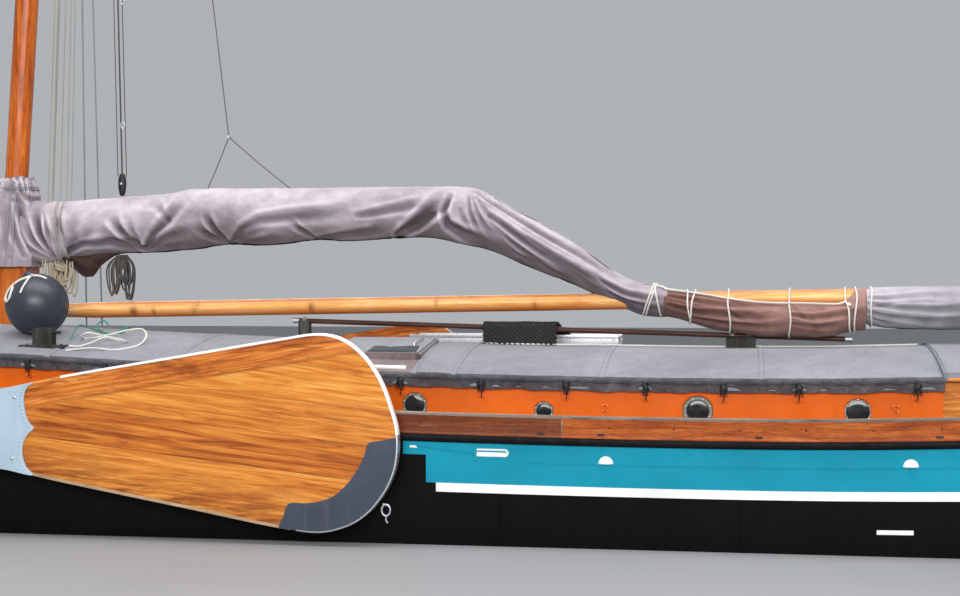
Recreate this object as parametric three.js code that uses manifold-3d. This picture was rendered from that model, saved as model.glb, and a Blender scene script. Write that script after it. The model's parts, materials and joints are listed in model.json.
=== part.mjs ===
// A flat-bottomed sailing barge that is lived on, with its covered boom over a long cabin roof.
// Lengths are in metres here, and the group is scaled to millimetres at the end.
// X runs aft, Y to starboard and Z up; the flat bottom amidships is the origin.
import * as THREE from "three";
import { mergeVertices } from "three/addons/utils/BufferGeometryUtils.js";
import Module from "manifold-3d";

const wasm = await Module();
wasm.setup();

const MM_PER_M = 1000;
const GAP = 0.0004;
const deg = THREE.MathUtils.degToRad;

// Colour, roughness and metalness of each material.
const PAINT = {
  hull: [0x141517, 0.45, 0],
  deck: [0x8f9a9c, 0.7, 0],
  rail: [0x8a4a2a, 0.45, 0],
  strake: [0x141414, 0.5, 0],
  coaming: [0xd9601a, 0.4, 0],
  roof: [0x6d7078, 0.8, 0],
  roef: [0xd9601a, 0.4, 0],
  spar: [0xc46a1e, 0.25, 0],
  darkSpar: [0x4a241c, 0.4, 0],
  cover: [0x8d868c, 0.9, 0],
  brown: [0x5a3328, 0.9, 0],
  board: [0xc9782c, 0.3, 0],
  plate: [0xa9bfc9, 0.5, 0.3],
  steel: [0x4c555c, 0.5, 0.6],
  wire: [0x8b8f93, 0.4, 0.8],
  bronze: [0xb08a45, 0.35, 0.9],
  rubber: [0x24272c, 0.6, 0],
  whiteRope: [0xd8d6cc, 0.95, 0],
  greenRope: [0x2c6b53, 0.95, 0],
  gangway: [0x9aa0a4, 0.4, 0.8],
  engine: [0x4f6b52, 0.4, 0],
};

const boat = new THREE.Group();

// Turns a closed geometry into a solid for cutting and joining.
function solid(geometry) {
  const bare = geometry.clone();
  bare.deleteAttribute("normal");
  bare.deleteAttribute("uv");
  const merged = mergeVertices(bare, 1e-6);
  return new wasm.Manifold(
    new wasm.Mesh({
      numProp: 3,
      vertProperties: new Float32Array(merged.attributes.position.array),
      triVerts: new Uint32Array(merged.index.array),
    }),
  );
}

// Turns a solid back into a geometry.
function shell(made) {
  const mesh = made.getMesh();
  const geometry = new THREE.BufferGeometry();
  geometry.setAttribute("position", new THREE.BufferAttribute(mesh.vertProperties, 3));
  geometry.setIndex(new THREE.BufferAttribute(mesh.triVerts, 1));
  geometry.computeVertexNormals();
  return geometry;
}

// Adds one named piece of the boat.
function piece(name, made, [color, roughness, metalness]) {
  const geometry = made.isBufferGeometry ? made : shell(made);
  const mesh = new THREE.Mesh(geometry, new THREE.MeshStandardMaterial({ color, roughness, metalness }));
  mesh.name = name;
  boat.add(mesh);
}

const join = (...solids) => solids.reduce((sum, next) => sum.add(next));

function box(x0, x1, y0, y1, z0, z1) {
  const geometry = new THREE.BoxGeometry(x1 - x0, y1 - y0, z1 - z0);
  return solid(geometry.translate((x0 + x1) / 2, (y0 + y1) / 2, (z0 + z1) / 2));
}

function outline(points) {
  return new THREE.Shape(points.map(([a, b]) => new THREE.Vector2(a, b)));
}

// A plate whose outline is given as [x, z], from y0 to y1.
function plateXZ(points, y0, y1) {
  const geometry = new THREE.ExtrudeGeometry(outline(points), { depth: y1 - y0, bevelEnabled: false });
  return solid(geometry.rotateX(Math.PI / 2).translate(0, y1, 0));
}

// A plate whose outline is given as [y, z], from x0 to x1.
function plateYZ(points, x0, x1) {
  const geometry = new THREE.ExtrudeGeometry(outline(points), { depth: x1 - x0, bevelEnabled: false });
  const turn = new THREE.Matrix4().makeBasis(
    new THREE.Vector3(0, 1, 0),
    new THREE.Vector3(0, 0, 1),
    new THREE.Vector3(1, 0, 0),
  );
  return solid(geometry.applyMatrix4(turn).translate(x0, 0, 0));
}

// A round bar from a to b, tapering from radius r0 to r1.
function bar(a, b, r0, r1 = r0, sides = 12) {
  const from = new THREE.Vector3(...a);
  const way = new THREE.Vector3(...b).sub(from);
  const geometry = new THREE.CylinderGeometry(r1, r0, way.length(), sides);
  const turn = new THREE.Quaternion().setFromUnitVectors(
    new THREE.Vector3(0, 1, 0),
    way.clone().normalize(),
  );
  geometry.applyQuaternion(turn);
  return solid(geometry.translate(...from.addScaledVector(way, 0.5).toArray()));
}

// A cutter for the hole in which a shaft of radius r turns.
const BORE_SIDES = 24;
const bore = (a, b, r) => bar(a, b, (r + GAP) / Math.cos(Math.PI / BORE_SIDES), undefined, BORE_SIDES);

// A closed skin through rings of equal length, each a list of [x, y, z], with the two caps given as triangles.
function skin(rings, caps) {
  const count = rings[0].length;
  const position = rings.flat(2);
  const index = [];
  for (let level = 0; level + 1 < rings.length; level += 1) {
    for (let i = 0; i < count; i += 1) {
      const next = (i + 1) % count;
      const a = level * count + i;
      const b = level * count + next;
      index.push(a, b, b + count, a, b + count, a + count);
    }
  }
  const top = (rings.length - 1) * count;
  for (const [a, b, c] of caps) {
    index.push(a, c, b, top + a, top + b, top + c);
  }
  const geometry = new THREE.BufferGeometry();
  geometry.setAttribute("position", new THREE.Float32BufferAttribute(position, 3));
  geometry.setIndex(index);
  const made = solid(geometry);
  if (made.volume() > 0) return made;
  geometry.setIndex(index.slice().reverse());
  return solid(geometry);
}

// The triangles that fill an outline, turned the same way round as the outline.
function fill(points) {
  const flat = points.map(([a, b]) => new THREE.Vector2(a, b));
  const triangles = THREE.ShapeUtils.triangulateShape(flat, []);
  const turned = THREE.ShapeUtils.area(triangles[0].map((i) => flat[i]));
  const same = turned * THREE.ShapeUtils.area(flat) > 0;
  return same ? triangles : triangles.map(([a, b, c]) => [a, c, b]);
}

// Sections across the boat, each a list of [y, z], joined along the given x.
function alongX(xs, section) {
  const caps = fill(section(xs[0]));
  const rings = xs.map((x) => section(x).map(([y, z]) => [x, y, z]));
  return skin(rings, caps);
}

// Hull form
const BOW = -9.3;
const STERN = 9.3;
const MID_FORE = -5;
const MID_AFT = 4.7;
const FULLNESS = 2.3;
const HALF_BEAM = 1.925;
const SIDE_TOP = 1.37;
const DECK_TOP = 1.41;
const STATIONS = [
  -9.3, -9.26, -9.14, -8.94, -8.66, -8.3, -7.8, -7.2, -6.5, -5.8, -5, -4, -3, -2, -1, 0, 1, 2, 3, 3.85, 4.7, 5.6,
  6.5, 7.3, 8, 8.55, 8.94, 9.16, 9.26, 9.3,
];
const sheer = (x) => (x < 3 ? 0.00428 : 0.0101) * (x - 3) ** 2;

// The sheer as the straight runs between the stations.
function sheerLine(x) {
  const i = Math.max(1, STATIONS.findIndex((station) => station >= x));
  const [a, b] = [STATIONS[i - 1], STATIONS[i]];
  return THREE.MathUtils.mapLinear(x, a, b, sheer(a), sheer(b));
}

// The outline of the hull at one level as a ring of points, bow first, then port side, stern and starboard side.
function hullRing({ z, half, bow, stern, rise }) {
  const toX = (x) => {
    if (x < MID_FORE) return MID_FORE + ((x - MID_FORE) * (bow - MID_FORE)) / (BOW - MID_FORE);
    if (x > MID_AFT) return MID_AFT + ((x - MID_AFT) * (stern - MID_AFT)) / (STERN - MID_AFT);
    return x;
  };
  const toHalf = (x) => {
    const fore = Math.max(0, (x - MID_FORE) / (BOW - MID_FORE));
    const aft = Math.max(0, (x - MID_AFT) / (STERN - MID_AFT));
    return half * (1 - Math.max(fore, aft) ** FULLNESS) ** (1 / FULLNESS);
  };
  const at = (x, side) => [toX(x), side * toHalf(x), z + rise * sheer(toX(x))];
  const port = STATIONS.map((x) => at(x, -1));
  const starboard = STATIONS.slice(1, -1).map((x) => at(x, 1));
  return [...port, ...starboard.reverse()];
}

// The caps of a hull ring: strips from side to side.
const RING_CAPS = (() => {
  const last = STATIONS.length - 1;
  const other = (i) => (i === 0 || i === last ? i : 2 * last - i);
  const caps = [];
  for (let i = 0; i < last; i += 1) {
    if (i > 0) caps.push([i, i + 1, other(i)]);
    if (i + 1 < last) caps.push([i + 1, other(i + 1), other(i)]);
    if (i + 1 === last && i > 0) continue;
  }
  return caps;
})();

function hullForm(levels) {
  return skin(levels.map(hullRing), RING_CAPS);
}

// A slab within the outline of the deck edge, grown by grow, that follows the sheer.
function deckSlab(z0, z1, grow = 0) {
  const edge = { half: HALF_BEAM + grow, bow: BOW - grow, stern: STERN + grow, rise: 1 };
  return hullForm([
    { z: z0, ...edge },
    { z: z1, ...edge },
  ]);
}

// The skin of the hull, level by level, grown outwards by grow.
const hullLevels = (grow, floor, top) => [
  { z: floor, half: 1.45 + grow, bow: -7.4 - grow, stern: 7.1 + grow, rise: 0 },
  { z: 0.06 + Math.max(0, floor - 0.01), half: 1.62 + grow, bow: -7.9 - grow, stern: 7.35 + grow, rise: 0 },
  { z: 0.18 + Math.max(0, floor - 0.01), half: 1.75 + grow, bow: -8.45 - grow, stern: 7.65 + grow, rise: 0.05 },
  { z: 0.38 + Math.max(0, floor - 0.01), half: 1.84 + grow, bow: -8.85 - grow, stern: 8.0 + grow, rise: 0.15 },
  { z: 0.75 + Math.max(0, floor - 0.01), half: 1.9 + grow, bow: -9.15 - grow, stern: 8.8 + grow, rise: 0.5 },
  { z: top, half: HALF_BEAM + grow, bow: BOW - grow, stern: STERN + grow, rise: 1 },
];

const HULL_WALL = 0.07;
const hullOuter = hullForm(hullLevels(0, 0, SIDE_TOP));
const hullInner = hullForm(hullLevels(-HULL_WALL, HULL_WALL, SIDE_TOP + 0.02));
const aroundHull = hullForm(hullLevels(GAP, -GAP, SIDE_TOP + GAP));
piece("hull", hullOuter.subtract(hullInner), PAINT.hull);

// Foot of the mast well, and the cabin sole around it on four bearers over the bilge
const MAST_X = -3.7;
const COLUMN_X = 0.17;
const COLUMN_Y = 0.155;
const columnHole = box(
  MAST_X - COLUMN_X - GAP, MAST_X + COLUMN_X + GAP, -COLUMN_Y - GAP, COLUMN_Y + GAP, -1, 3,
);
const BILGE = HULL_WALL + GAP;
const SOLE_TOP = 0.25;
const SOLE_FORE = -4.5;
const SOLE_AFT = 4.6;
const bearers = [-0.98, -0.38, 0.3, 0.9].map((y) => box(SOLE_FORE, SOLE_AFT, y, y + 0.08, BILGE, SOLE_TOP - 0.03));
const sole = join(box(SOLE_FORE, SOLE_AFT, -1.25, 1.25, SOLE_TOP - 0.04, SOLE_TOP), ...bearers);
piece("cabin_sole", sole.subtract(columnHole), PAINT.rail);

// Deck, with one long opening under the two cabins
const WALL_OUT = 1.385;
const WALL_IN = 1.335;
const TRUNK_FORE = -4.55;
const TRUNK_AFT = 4.7;
const ROEF_AFT = 7.25;
const deckHole = box(TRUNK_FORE + 0.05, ROEF_AFT - 0.05, -WALL_IN, WALL_IN, 0.5, 3);
piece("deck", deckSlab(SIDE_TOP + GAP, DECK_TOP).subtract(deckHole), PAINT.deck);
const underDeck = deckSlab(-1, DECK_TOP + GAP);

// Rail plank and rubbing strake, port and starboard
const SIDES = [
  { side: "port", y: -1 },
  { side: "starboard", y: 1 },
];
const halfBox = (y, from) => (y < 0 ? box(-12, 12, -4, -from, -1, 5) : box(-12, 12, from, 4, -1, 5));
const RAIL_TOP = 1.58;
const RAIL_THICK = 0.05;
const railRing = deckSlab(DECK_TOP + GAP, RAIL_TOP).subtract(deckSlab(1, 2.2, -RAIL_THICK));
const STRAKE_LOW = 1.355;
const strakeRing = deckSlab(STRAKE_LOW, DECK_TOP - GAP, 0.035).subtract(deckSlab(1, 2.2, GAP));
const POST_HALF = 0.06;
for (const { side, y } of SIDES) {
  piece(`rail_${side}`, railRing.intersect(halfBox(y, POST_HALF + GAP)), PAINT.rail);
  piece(`rubbing_strake_${side}`, strakeRing.intersect(halfBox(y, POST_HALF + GAP)), PAINT.strake);
}

// Stem and stern posts, fitted to the ends of the hull
const clearOfEnds = (made) =>
  made.subtract(aroundHull).subtract(deckSlab(SIDE_TOP - 0.2, DECK_TOP + GAP, GAP));
const stemShape = [
  [-7.3, 0.02],
  [-8.1, 0.1],
  [-8.8, 0.28],
  [-9.25, 0.6],
  [-9.42, 1.0],
  [-9.46, 1.6],
  [-9.46, 2.5],
  [-9.22, 2.5],
  [-9.2, 1.5],
  [-8.6, 1.0],
  [-7.4, 0.3],
];
const stemHead = bar([-9.34, 0, 2.48], [-9.305, 0, 2.565], 0.03, 0.018, 12);
piece("stem_post", join(clearOfEnds(plateXZ(stemShape, -POST_HALF, POST_HALF)), stemHead), PAINT.rail);
const sternShape = [
  [6.9, 0.02],
  [9.4, 0.02],
  [9.4, 2.12],
  [9.2, 2.12],
  [9.2, 1.3],
  [8.6, 1.0],
  [7.2, 0.3],
];
const PROP_X = 8.55;
const PROP_Z = 0.3;
const propellerWell = box(8.33, 8.85, -0.1, 0.1, 0.06, 0.54);
const SHAFT_R = 0.025;
const shaftHole = bore([7, 0, PROP_Z], [8.4, 0, PROP_Z], SHAFT_R);
const RUDDER_X = 9.47;
const PINTLES = [0.3, 1.1, 1.85];
const GUDGEON = 0.05;
const PINTLE_R = 0.016;
const gudgeons = PINTLES.map((z) =>
  join(
    box(9.39, RUDDER_X, -0.05, 0.05, z, z + GUDGEON),
    bar([RUDDER_X, 0, z], [RUDDER_X, 0, z + GUDGEON], 0.05, 0.05, 16),
  ).subtract(bore([RUDDER_X, 0, 0], [RUDDER_X, 0, 3], PINTLE_R)),
);
const sternPlate = clearOfEnds(plateXZ(sternShape, -POST_HALF, POST_HALF));
piece("stern_post", join(sternPlate.subtract(propellerWell).subtract(shaftHole), ...gudgeons), PAINT.hull);

// Long cabin trunk: side walls on the deck under a cambered canvas roof
const WALL_TOP = 1.79;
const EDGE_TOP = 1.837;
const CROWN = 2.055;
const ROOF_HALF = 1.42;
const FLAP_LOW = 1.768;
const ROOF_THICK = 0.045;
const ROOF_FORE = -4.65;
const ROOF_STEPS = 14;
const trunkWall = (y0, y1, x0, x1) => deckSlab(DECK_TOP + GAP, WALL_TOP).intersect(box(x0, x1, y0, y1, 1, 3));
for (const { side, y } of SIDES) {
  const [y0, y1] = y < 0 ? [-WALL_OUT, -WALL_IN] : [WALL_IN, WALL_OUT];
  piece(`trunk_side_${side}`, trunkWall(y0, y1, TRUNK_FORE, TRUNK_AFT - GAP), PAINT.coaming);
}

// Height of a cambered roof above the sheer at y.
const camber = (y, edge, crown, half) => edge + (crown - edge) * (1 - (y / half) ** 2);
function roofSection(edge, crown, half, low, ledge, lift) {
  const over = [];
  const under = [];
  for (let i = 0; i <= ROOF_STEPS; i += 1) {
    const y = half * (-1 + (2 * i) / ROOF_STEPS);
    over.push([y, lift + camber(y, edge, crown, half)]);
    const inner = (y * (WALL_IN - GAP)) / half;
    under.push([inner, lift + camber(inner, edge, crown, half) - ROOF_THICK]);
  }
  const lip = WALL_OUT + 0.004;
  return [
    [-half, lift + low],
    ...over,
    [half, lift + low],
    [lip, lift + low],
    [lip, lift + ledge],
    [WALL_IN - GAP, lift + ledge],
    ...under.reverse(),
    [-WALL_IN + GAP, lift + ledge],
    [-lip, lift + ledge],
    [-lip, lift + low],
  ];
}
const stationsBetween = (x0, x1) => [x0, ...STATIONS.filter((x) => x > x0 + 0.01 && x < x1 - 0.01), x1];
const trunkRoof = (x0, x1) =>
  alongX(stationsBetween(x0, x1), (x) =>
    roofSection(EDGE_TOP, CROWN, ROOF_HALF, FLAP_LOW, WALL_TOP + GAP, sheerLine(x)),
  );

// Everything under the upper face of the trunk roof, used to seat what lies on it.
const underRoof = alongX(stationsBetween(-7, 6.5), (x) => {
  const over = [];
  for (let i = 0; i <= ROOF_STEPS; i += 1) {
    const y = ROOF_HALF * (-1 + (2 * i) / ROOF_STEPS);
    over.push([y, GAP + sheerLine(x) + camber(y, EDGE_TOP, CROWN, ROOF_HALF)]);
  }
  return [[-ROOF_HALF, 1], ...over, [ROOF_HALF, 1]];
});
const onRoof = (made) => made.subtract(underRoof);

// Mast well: a column from the bottom through the roof, with two cheeks that hold the foot of the mast
const PIN_Z = 3.45;
const CHEEK_IN = 0.13;
const GOOSENECK_X = -3.44;
const column = box(MAST_X - COLUMN_X, MAST_X + COLUMN_X, -COLUMN_Y, COLUMN_Y, BILGE, PIN_Z - 0.18);
const cheekShape = [
  [MAST_X - COLUMN_X, PIN_Z - 0.3],
  [MAST_X + COLUMN_X, PIN_Z - 0.3],
  [MAST_X + COLUMN_X, PIN_Z + 0.03],
  [MAST_X + 0.1, PIN_Z + 0.13],
  [MAST_X - 0.1, PIN_Z + 0.13],
  [MAST_X - COLUMN_X, PIN_Z + 0.03],
];
const PIN_R = 0.025;
const pinHole = bore([MAST_X, -0.3, PIN_Z], [MAST_X, 0.3, PIN_Z], PIN_R);
const BOOM_Z0 = 2.371;
const LUG_GAP = 0.06;
const lug = (z0, z1) =>
  join(
    box(MAST_X + COLUMN_X - 0.02, GOOSENECK_X, -0.045, 0.045, z0, z1),
    bar([GOOSENECK_X, 0, z0], [GOOSENECK_X, 0, z1], 0.045, 0.045, 16),
  );
const mastWell = join(
  column,
  plateXZ(cheekShape, -COLUMN_Y, -CHEEK_IN),
  plateXZ(cheekShape, CHEEK_IN, COLUMN_Y),
  lug(BOOM_Z0 - LUG_GAP - 0.04, BOOM_Z0 - LUG_GAP),
  lug(BOOM_Z0 + LUG_GAP, BOOM_Z0 + LUG_GAP + 0.04),
).subtract(pinHole);
piece("mast_well", mastWell, PAINT.spar);

// Hatch over the companionway in the trunk roof
const HATCH = { x0: -0.33, x1: 0.395, y0: -1, y1: -0.25 };
const hatchHole = box(HATCH.x0, HATCH.x1, HATCH.y0, HATCH.y1, 1.5, 3);
const HATCH_TILT = deg(7.2);
const HATCH_MID = { x: 0.04, y: -0.625, z: 2.045 };
const tilted = (made) =>
  made.rotate([THREE.MathUtils.radToDeg(HATCH_TILT), 0, 0]).translate([HATCH_MID.x, HATCH_MID.y, HATCH_MID.z]);
const hatchFrame = tilted(
  box(-0.98, 0.41, -0.413, 0.413, -0.12, 0.035).subtract(box(-0.93, 0.36, -0.363, 0.363, -0.2, 0.1)),
);
const aboveRoof = (x0, x1, y0, y1) => box(x0, x1, y0, y1, 1, 3);
const sunkFrame = hatchFrame.subtract(underRoof.translate([0, 0, -0.01]));
const foreFrame = sunkFrame.intersect(aboveRoof(-2, HATCH.x0 - GAP, -2, 0));
const aftFrame = sunkFrame.intersect(aboveRoof(HATCH.x1 + GAP, 2, -2, 0));
const middle = join(trunkRoof(HATCH.x0, HATCH.x1).subtract(hatchHole), sunkFrame);
piece("trunk_roof", join(trunkRoof(ROOF_FORE, HATCH.x0 - GAP).subtract(columnHole), foreFrame), PAINT.roof);
piece("trunk_roof_aft", join(trunkRoof(HATCH.x1 + GAP, TRUNK_AFT - GAP), aftFrame), PAINT.roof);
piece("hatch_frame_port", middle.intersect(aboveRoof(HATCH.x0, HATCH.x1, -3, HATCH_MID.y)), PAINT.roof);
piece("hatch_frame_starboard", middle.intersect(aboveRoof(HATCH.x0, HATCH.x1, HATCH_MID.y, 3)), PAINT.roof);

// Front and after walls of the trunk, cut to the underside of the roof
function endWall(x0, x1, half, edge, crown, lift, low) {
  const over = [];
  for (let i = 0; i <= ROOF_STEPS; i += 1) {
    const y = (WALL_IN - 2 * GAP) * (-1 + (2 * i) / ROOF_STEPS);
    over.push([y, lift + camber(y, edge, crown, half) - ROOF_THICK - 2 * GAP]);
  }
  return plateYZ([[-WALL_IN + 2 * GAP, low], ...over, [WALL_IN - 2 * GAP, low]], x0, x1);
}
const seatOnDeck = (made) => made.subtract(underDeck);
piece(
  "trunk_front",
  seatOnDeck(endWall(TRUNK_FORE, TRUNK_FORE + 0.05, ROOF_HALF, EDGE_TOP, CROWN, sheer(TRUNK_FORE + 0.05), 1.2)),
  PAINT.coaming,
);
const BULKHEAD_TOP = 1.36;
const bulkhead = box(TRUNK_AFT - 0.06, TRUNK_AFT - 0.02, -1.25, 1.25, BILGE, BULKHEAD_TOP);
const trunkAft = endWall(
  TRUNK_AFT - 0.06, TRUNK_AFT - 0.02, ROOF_HALF, EDGE_TOP, CROWN, sheer(TRUNK_AFT - 0.06), BULKHEAD_TOP - 0.01,
);
const innerDoor = box(4, 5.4, -0.4, 0.4, SOLE_TOP + 0.1, 1.9);
piece("cabin_bulkhead", join(bulkhead, trunkAft).subtract(innerDoor), PAINT.spar);

// Lid of the trunk's hatch, which slides forward on the frame
piece(
  "hatch_lid",
  tilted(join(box(-0.375, 0.385, -0.41, 0.41, 0.035 + GAP, 0.066), box(0.3, 0.33, -0.2, 0.2, 0.06, 0.095))),
  PAINT.roof,
);

// After cabin: side walls with two windows each, a cambered roof, and a door to the stern deck
const ROEF_WALL_TOP = 1.88;
const ROEF_EDGE = 1.925;
const ROEF_CROWN = 2.1;
const ROEF_LOW = 1.86;
const ROEF_WINDOWS = [5.15, 6.15];
const roefWindow = (x) => box(x, x + 0.5, -2, 2, 1.62, 1.79);
for (const { side, y } of SIDES) {
  const [y0, y1] = y < 0 ? [-WALL_OUT, -WALL_IN] : [WALL_IN, WALL_OUT];
  const wall = seatOnDeck(box(TRUNK_AFT, ROEF_AFT, y0, y1, 1.2, ROEF_WALL_TOP));
  piece(
    `roef_side_${side}`,
    ROEF_WINDOWS.reduce((rest, x) => rest.subtract(roefWindow(x)), wall),
    PAINT.roef,
  );
}
const roefRoof = alongX([TRUNK_AFT, ROEF_AFT + 0.06], () =>
  roofSection(ROEF_EDGE, ROEF_CROWN, ROOF_HALF, ROEF_LOW, ROEF_WALL_TOP + GAP, 0),
);
const SLIDE = { x0: 6.55, x1: 7.4, y0: -0.32, y1: 0.32 };
const RUNNER_TOP = 2.122;
const runners = join(
  box(5.75, 7.3, -0.38, -0.33, 2.07, RUNNER_TOP),
  box(5.75, 7.3, 0.33, 0.38, 2.07, RUNNER_TOP),
  box(5.75, 5.79, -0.35, 0.35, 2.07, RUNNER_TOP),
);
const roefOpening = box(SLIDE.x0, SLIDE.x1, SLIDE.y0, SLIDE.y1, 1.5, 3);
piece("roef_roof", join(roefRoof, runners).subtract(roefOpening), PAINT.roof);
const doorHole = box(7, 7.5, -0.3, 0.3, 1.73, 2.5);
piece(
  "roef_end",
  seatOnDeck(endWall(ROEF_AFT - 0.05, ROEF_AFT, ROOF_HALF, ROEF_EDGE, ROEF_CROWN, 0, 1.2)).subtract(doorHole),
  PAINT.roef,
);
const DOOR_X = ROEF_AFT + GAP;
const roefDoor = join(
  box(DOOR_X, DOOR_X + 0.03, -0.33, 0.33, 1.7, 2.02),
  bar([DOOR_X + 0.015, -0.345, 1.71], [DOOR_X + 0.015, -0.345, 2.01], 0.014),
  box(DOOR_X + 0.002, DOOR_X + 0.028, -0.345, -0.32, 1.71, 2.01),
);
piece("roef_door", roefDoor, PAINT.rail);
piece("roef_hatch", box(6.5, 7.32, -0.4, 0.4, RUNNER_TOP + GAP, 2.15), PAINT.roof);

// Engine in the after cabin, on the inside of the bottom
const engine = join(
  box(5.5, 6.35, -0.28, 0.28, BILGE, 0.72),
  box(5.6, 6.2, -0.16, 0.16, 0.7, 0.88),
  box(6.34, 6.6, -0.14, 0.14, 0.15, 0.5),
);
piece("engine", engine, PAINT.engine);

// Propeller on its shaft, in the well of the stern post
const blades = [0, 120, 240].map((turn) =>
  box(-0.018, 0.018, -0.055, 0.055, 0.02, 0.2)
    .rotate([0, 0, 28])
    .rotate([turn, 0, 0]),
);
const propeller = join(
  bar([-0.09, 0, 0], [0.09, 0, 0], 0.045, 0.03, 16),
  bar([-0.5, 0, 0], [-0.05, 0, 0], SHAFT_R),
  ...blades,
).translate([PROP_X, 0, PROP_Z]);
piece("propeller", propeller, PAINT.bronze);

// Rudder hung on the stern post, with its tiller over the stern deck
const rudderShape = [
  [RUDDER_X + 0.02, 0.05],
  [10.55, 0.05],
  [10.62, 0.5],
  [10.45, 0.95],
  [10.05, 1.3],
  [9.78, 1.75],
  [9.74, 2.5],
  [RUDDER_X + 0.02, 2.5],
];
const rudder = join(
  plateXZ(rudderShape, -0.045, 0.045),
  bar([RUDDER_X, 0, 0.05], [RUDDER_X, 0, 2.5], 0.045, 0.045, 16),
);
const rudderCut = PINTLES.map((z) => box(9.3, RUDDER_X + 0.062, -0.1, 0.1, z - 0.008, z + GUDGEON + 0.008));
piece(
  "rudder",
  join(
    rudderCut.reduce((rest, cut) => rest.subtract(cut), rudder),
    bar([RUDDER_X, 0, 0.1], [RUDDER_X, 0, 2.4], PINTLE_R),
  ),
  PAINT.board,
);
const tiller = plateXZ(
  [[9.75, 2.5], [9.75, 2.62], [9.3, 2.64], [7.62, 2.78], [7.62, 2.72], [9.3, 2.53], [9.48, 2.5]],
  -0.035,
  0.035,
);
piece("tiller", tiller, PAINT.spar);

// Leeboards, hung outside the hull on a stout pin and raised aft
const PIVOT = { x: -3.486, z: 1.42 };
const BOARD_IN = 2.02;
const BOARD_OUT = 2.1;
const PLATE_OUT = 2.11;
const boardShape = [
  [-3.3, 1.745], [-2.83, 1.772], [-2.309, 1.875], [-1.25, 2.055], [-0.45, 2.19], [-0.2, 2.228], [-0.06, 2.222],
  [0.067, 2.179], [0.205, 2.075], [0.309, 1.945], [0.39, 1.79], [0.445, 1.634], [0.482, 1.51], [0.493, 1.4],
  [0.489, 1.28], [0.469, 1.165], [0.42, 1.04], [0.349, 0.927], [0.26, 0.825], [0.148, 0.742], [0.012, 0.686],
  [-0.135, 0.657], [-0.38, 0.674], [-1.3, 0.836], [-2.266, 1.008], [-2.828, 1.111], [-3.25, 1.135], [-3.55, 1.12],
  [-3.78, 1.2], [-3.9, 1.36], [-3.9, 1.52], [-3.79, 1.67], [-3.57, 1.745],
];
const headShape = [
  [-3.3, 1.74], [-2.82, 1.768], [-2.6, 1.8], [-2.567, 1.775], [-2.56, 1.71], [-2.619, 1.636], [-2.6, 1.53],
  [-2.533, 1.434], [-2.6, 1.34], [-2.628, 1.229], [-2.57, 1.13], [-2.541, 1.07], [-2.83, 1.116], [-3.25, 1.14],
  [-3.55, 1.125], [-3.775, 1.203], [-3.895, 1.362], [-3.895, 1.518], [-3.787, 1.667], [-3.567, 1.74],
];
const shoeShape = [
  [0.485, 1.423], [0.487, 1.28], [0.465, 1.165], [0.416, 1.042], [0.345, 0.93], [0.256, 0.829], [0.145, 0.747],
  [0.01, 0.691], [-0.135, 0.662], [-0.38, 0.679], [-0.47, 0.695], [-0.45, 0.8], [-0.38, 0.864], [-0.2, 0.87],
  [-0.054, 0.919], [0.06, 1.0], [0.148, 1.119], [0.21, 1.25], [0.245, 1.38], [0.3, 1.42],
];
const PIVOT_R = 0.045;
const pivotHole = bore([PIVOT.x, -3, PIVOT.z], [PIVOT.x, 3, PIVOT.z], PIVOT_R);
const mirrored = (made, y) => (y < 0 ? made : made.mirror([0, 1, 0]));
const pivotProfile = [
  [0, 1.8], [0.11, 1.8], [0.11, 1.955], [PIVOT_R, 1.965], [PIVOT_R, 2.117], [0.1, 2.117], [0.095, 2.14], [0, 2.145],
];
for (const { side, y } of SIDES) {
  const board = plateXZ(boardShape, -BOARD_OUT, -BOARD_IN).subtract(pivotHole);
  const head = plateXZ(headShape, -PLATE_OUT, -BOARD_OUT).subtract(pivotHole);
  const shoe = plateXZ(shoeShape, -PLATE_OUT, -BOARD_OUT);
  piece(`leeboard_${side}`, mirrored(board, y), PAINT.board);
  piece(`leeboard_head_${side}`, mirrored(head, y), PAINT.plate);
  piece(`leeboard_shoe_${side}`, mirrored(shoe, y), PAINT.steel);
  const turned = new THREE.LatheGeometry(
    pivotProfile.map(([r, h]) => new THREE.Vector2(r, h)),
    20,
  );
  const pin = solid(turned.translate(PIVOT.x, 0, PIVOT.z)).mirror([0, 1, 0]);
  piece(`leeboard_pivot_${side}`, mirrored(pin.subtract(aroundHull), y), PAINT.steel);
}

// Mast: a round foot on the pin between the cheeks, raked aft
const RAKE_DEG = 3.6;
const MAST_TOP = 12.45;
const mastProfile = [
  [0, 0.02], [0.108, 0.02], [0.108, 0.4], [0.109, 1.6], [0.1, 6], [0.085, 9], [0.068, 12.2], [0.09, 12.25],
  [0.09, 12.33], [0.04, MAST_TOP], [0, MAST_TOP],
];
const mastTurned = solid(
  new THREE.LatheGeometry(
    mastProfile.map(([r, h]) => new THREE.Vector2(r, h)),
    20,
  ).rotateX(Math.PI / 2),
);
const HOUNDS = 8.6;
const mastUpright = join(
  mastTurned,
  bar([0, -0.108, 0], [0, 0.108, 0], 0.12, 0.12, 24),
  bar([0, -0.18, 0], [0, 0.18, 0], PIN_R, PIN_R, 16),
  bar([0, 0, HOUNDS - 0.04], [0, 0, HOUNDS + 0.04], 0.115, 0.1, 16),
);
const raked = (made) => made.rotate([0, RAKE_DEG, 0]).translate([MAST_X, 0, PIN_Z]);
piece("mast", raked(mastUpright), PAINT.spar);

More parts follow.
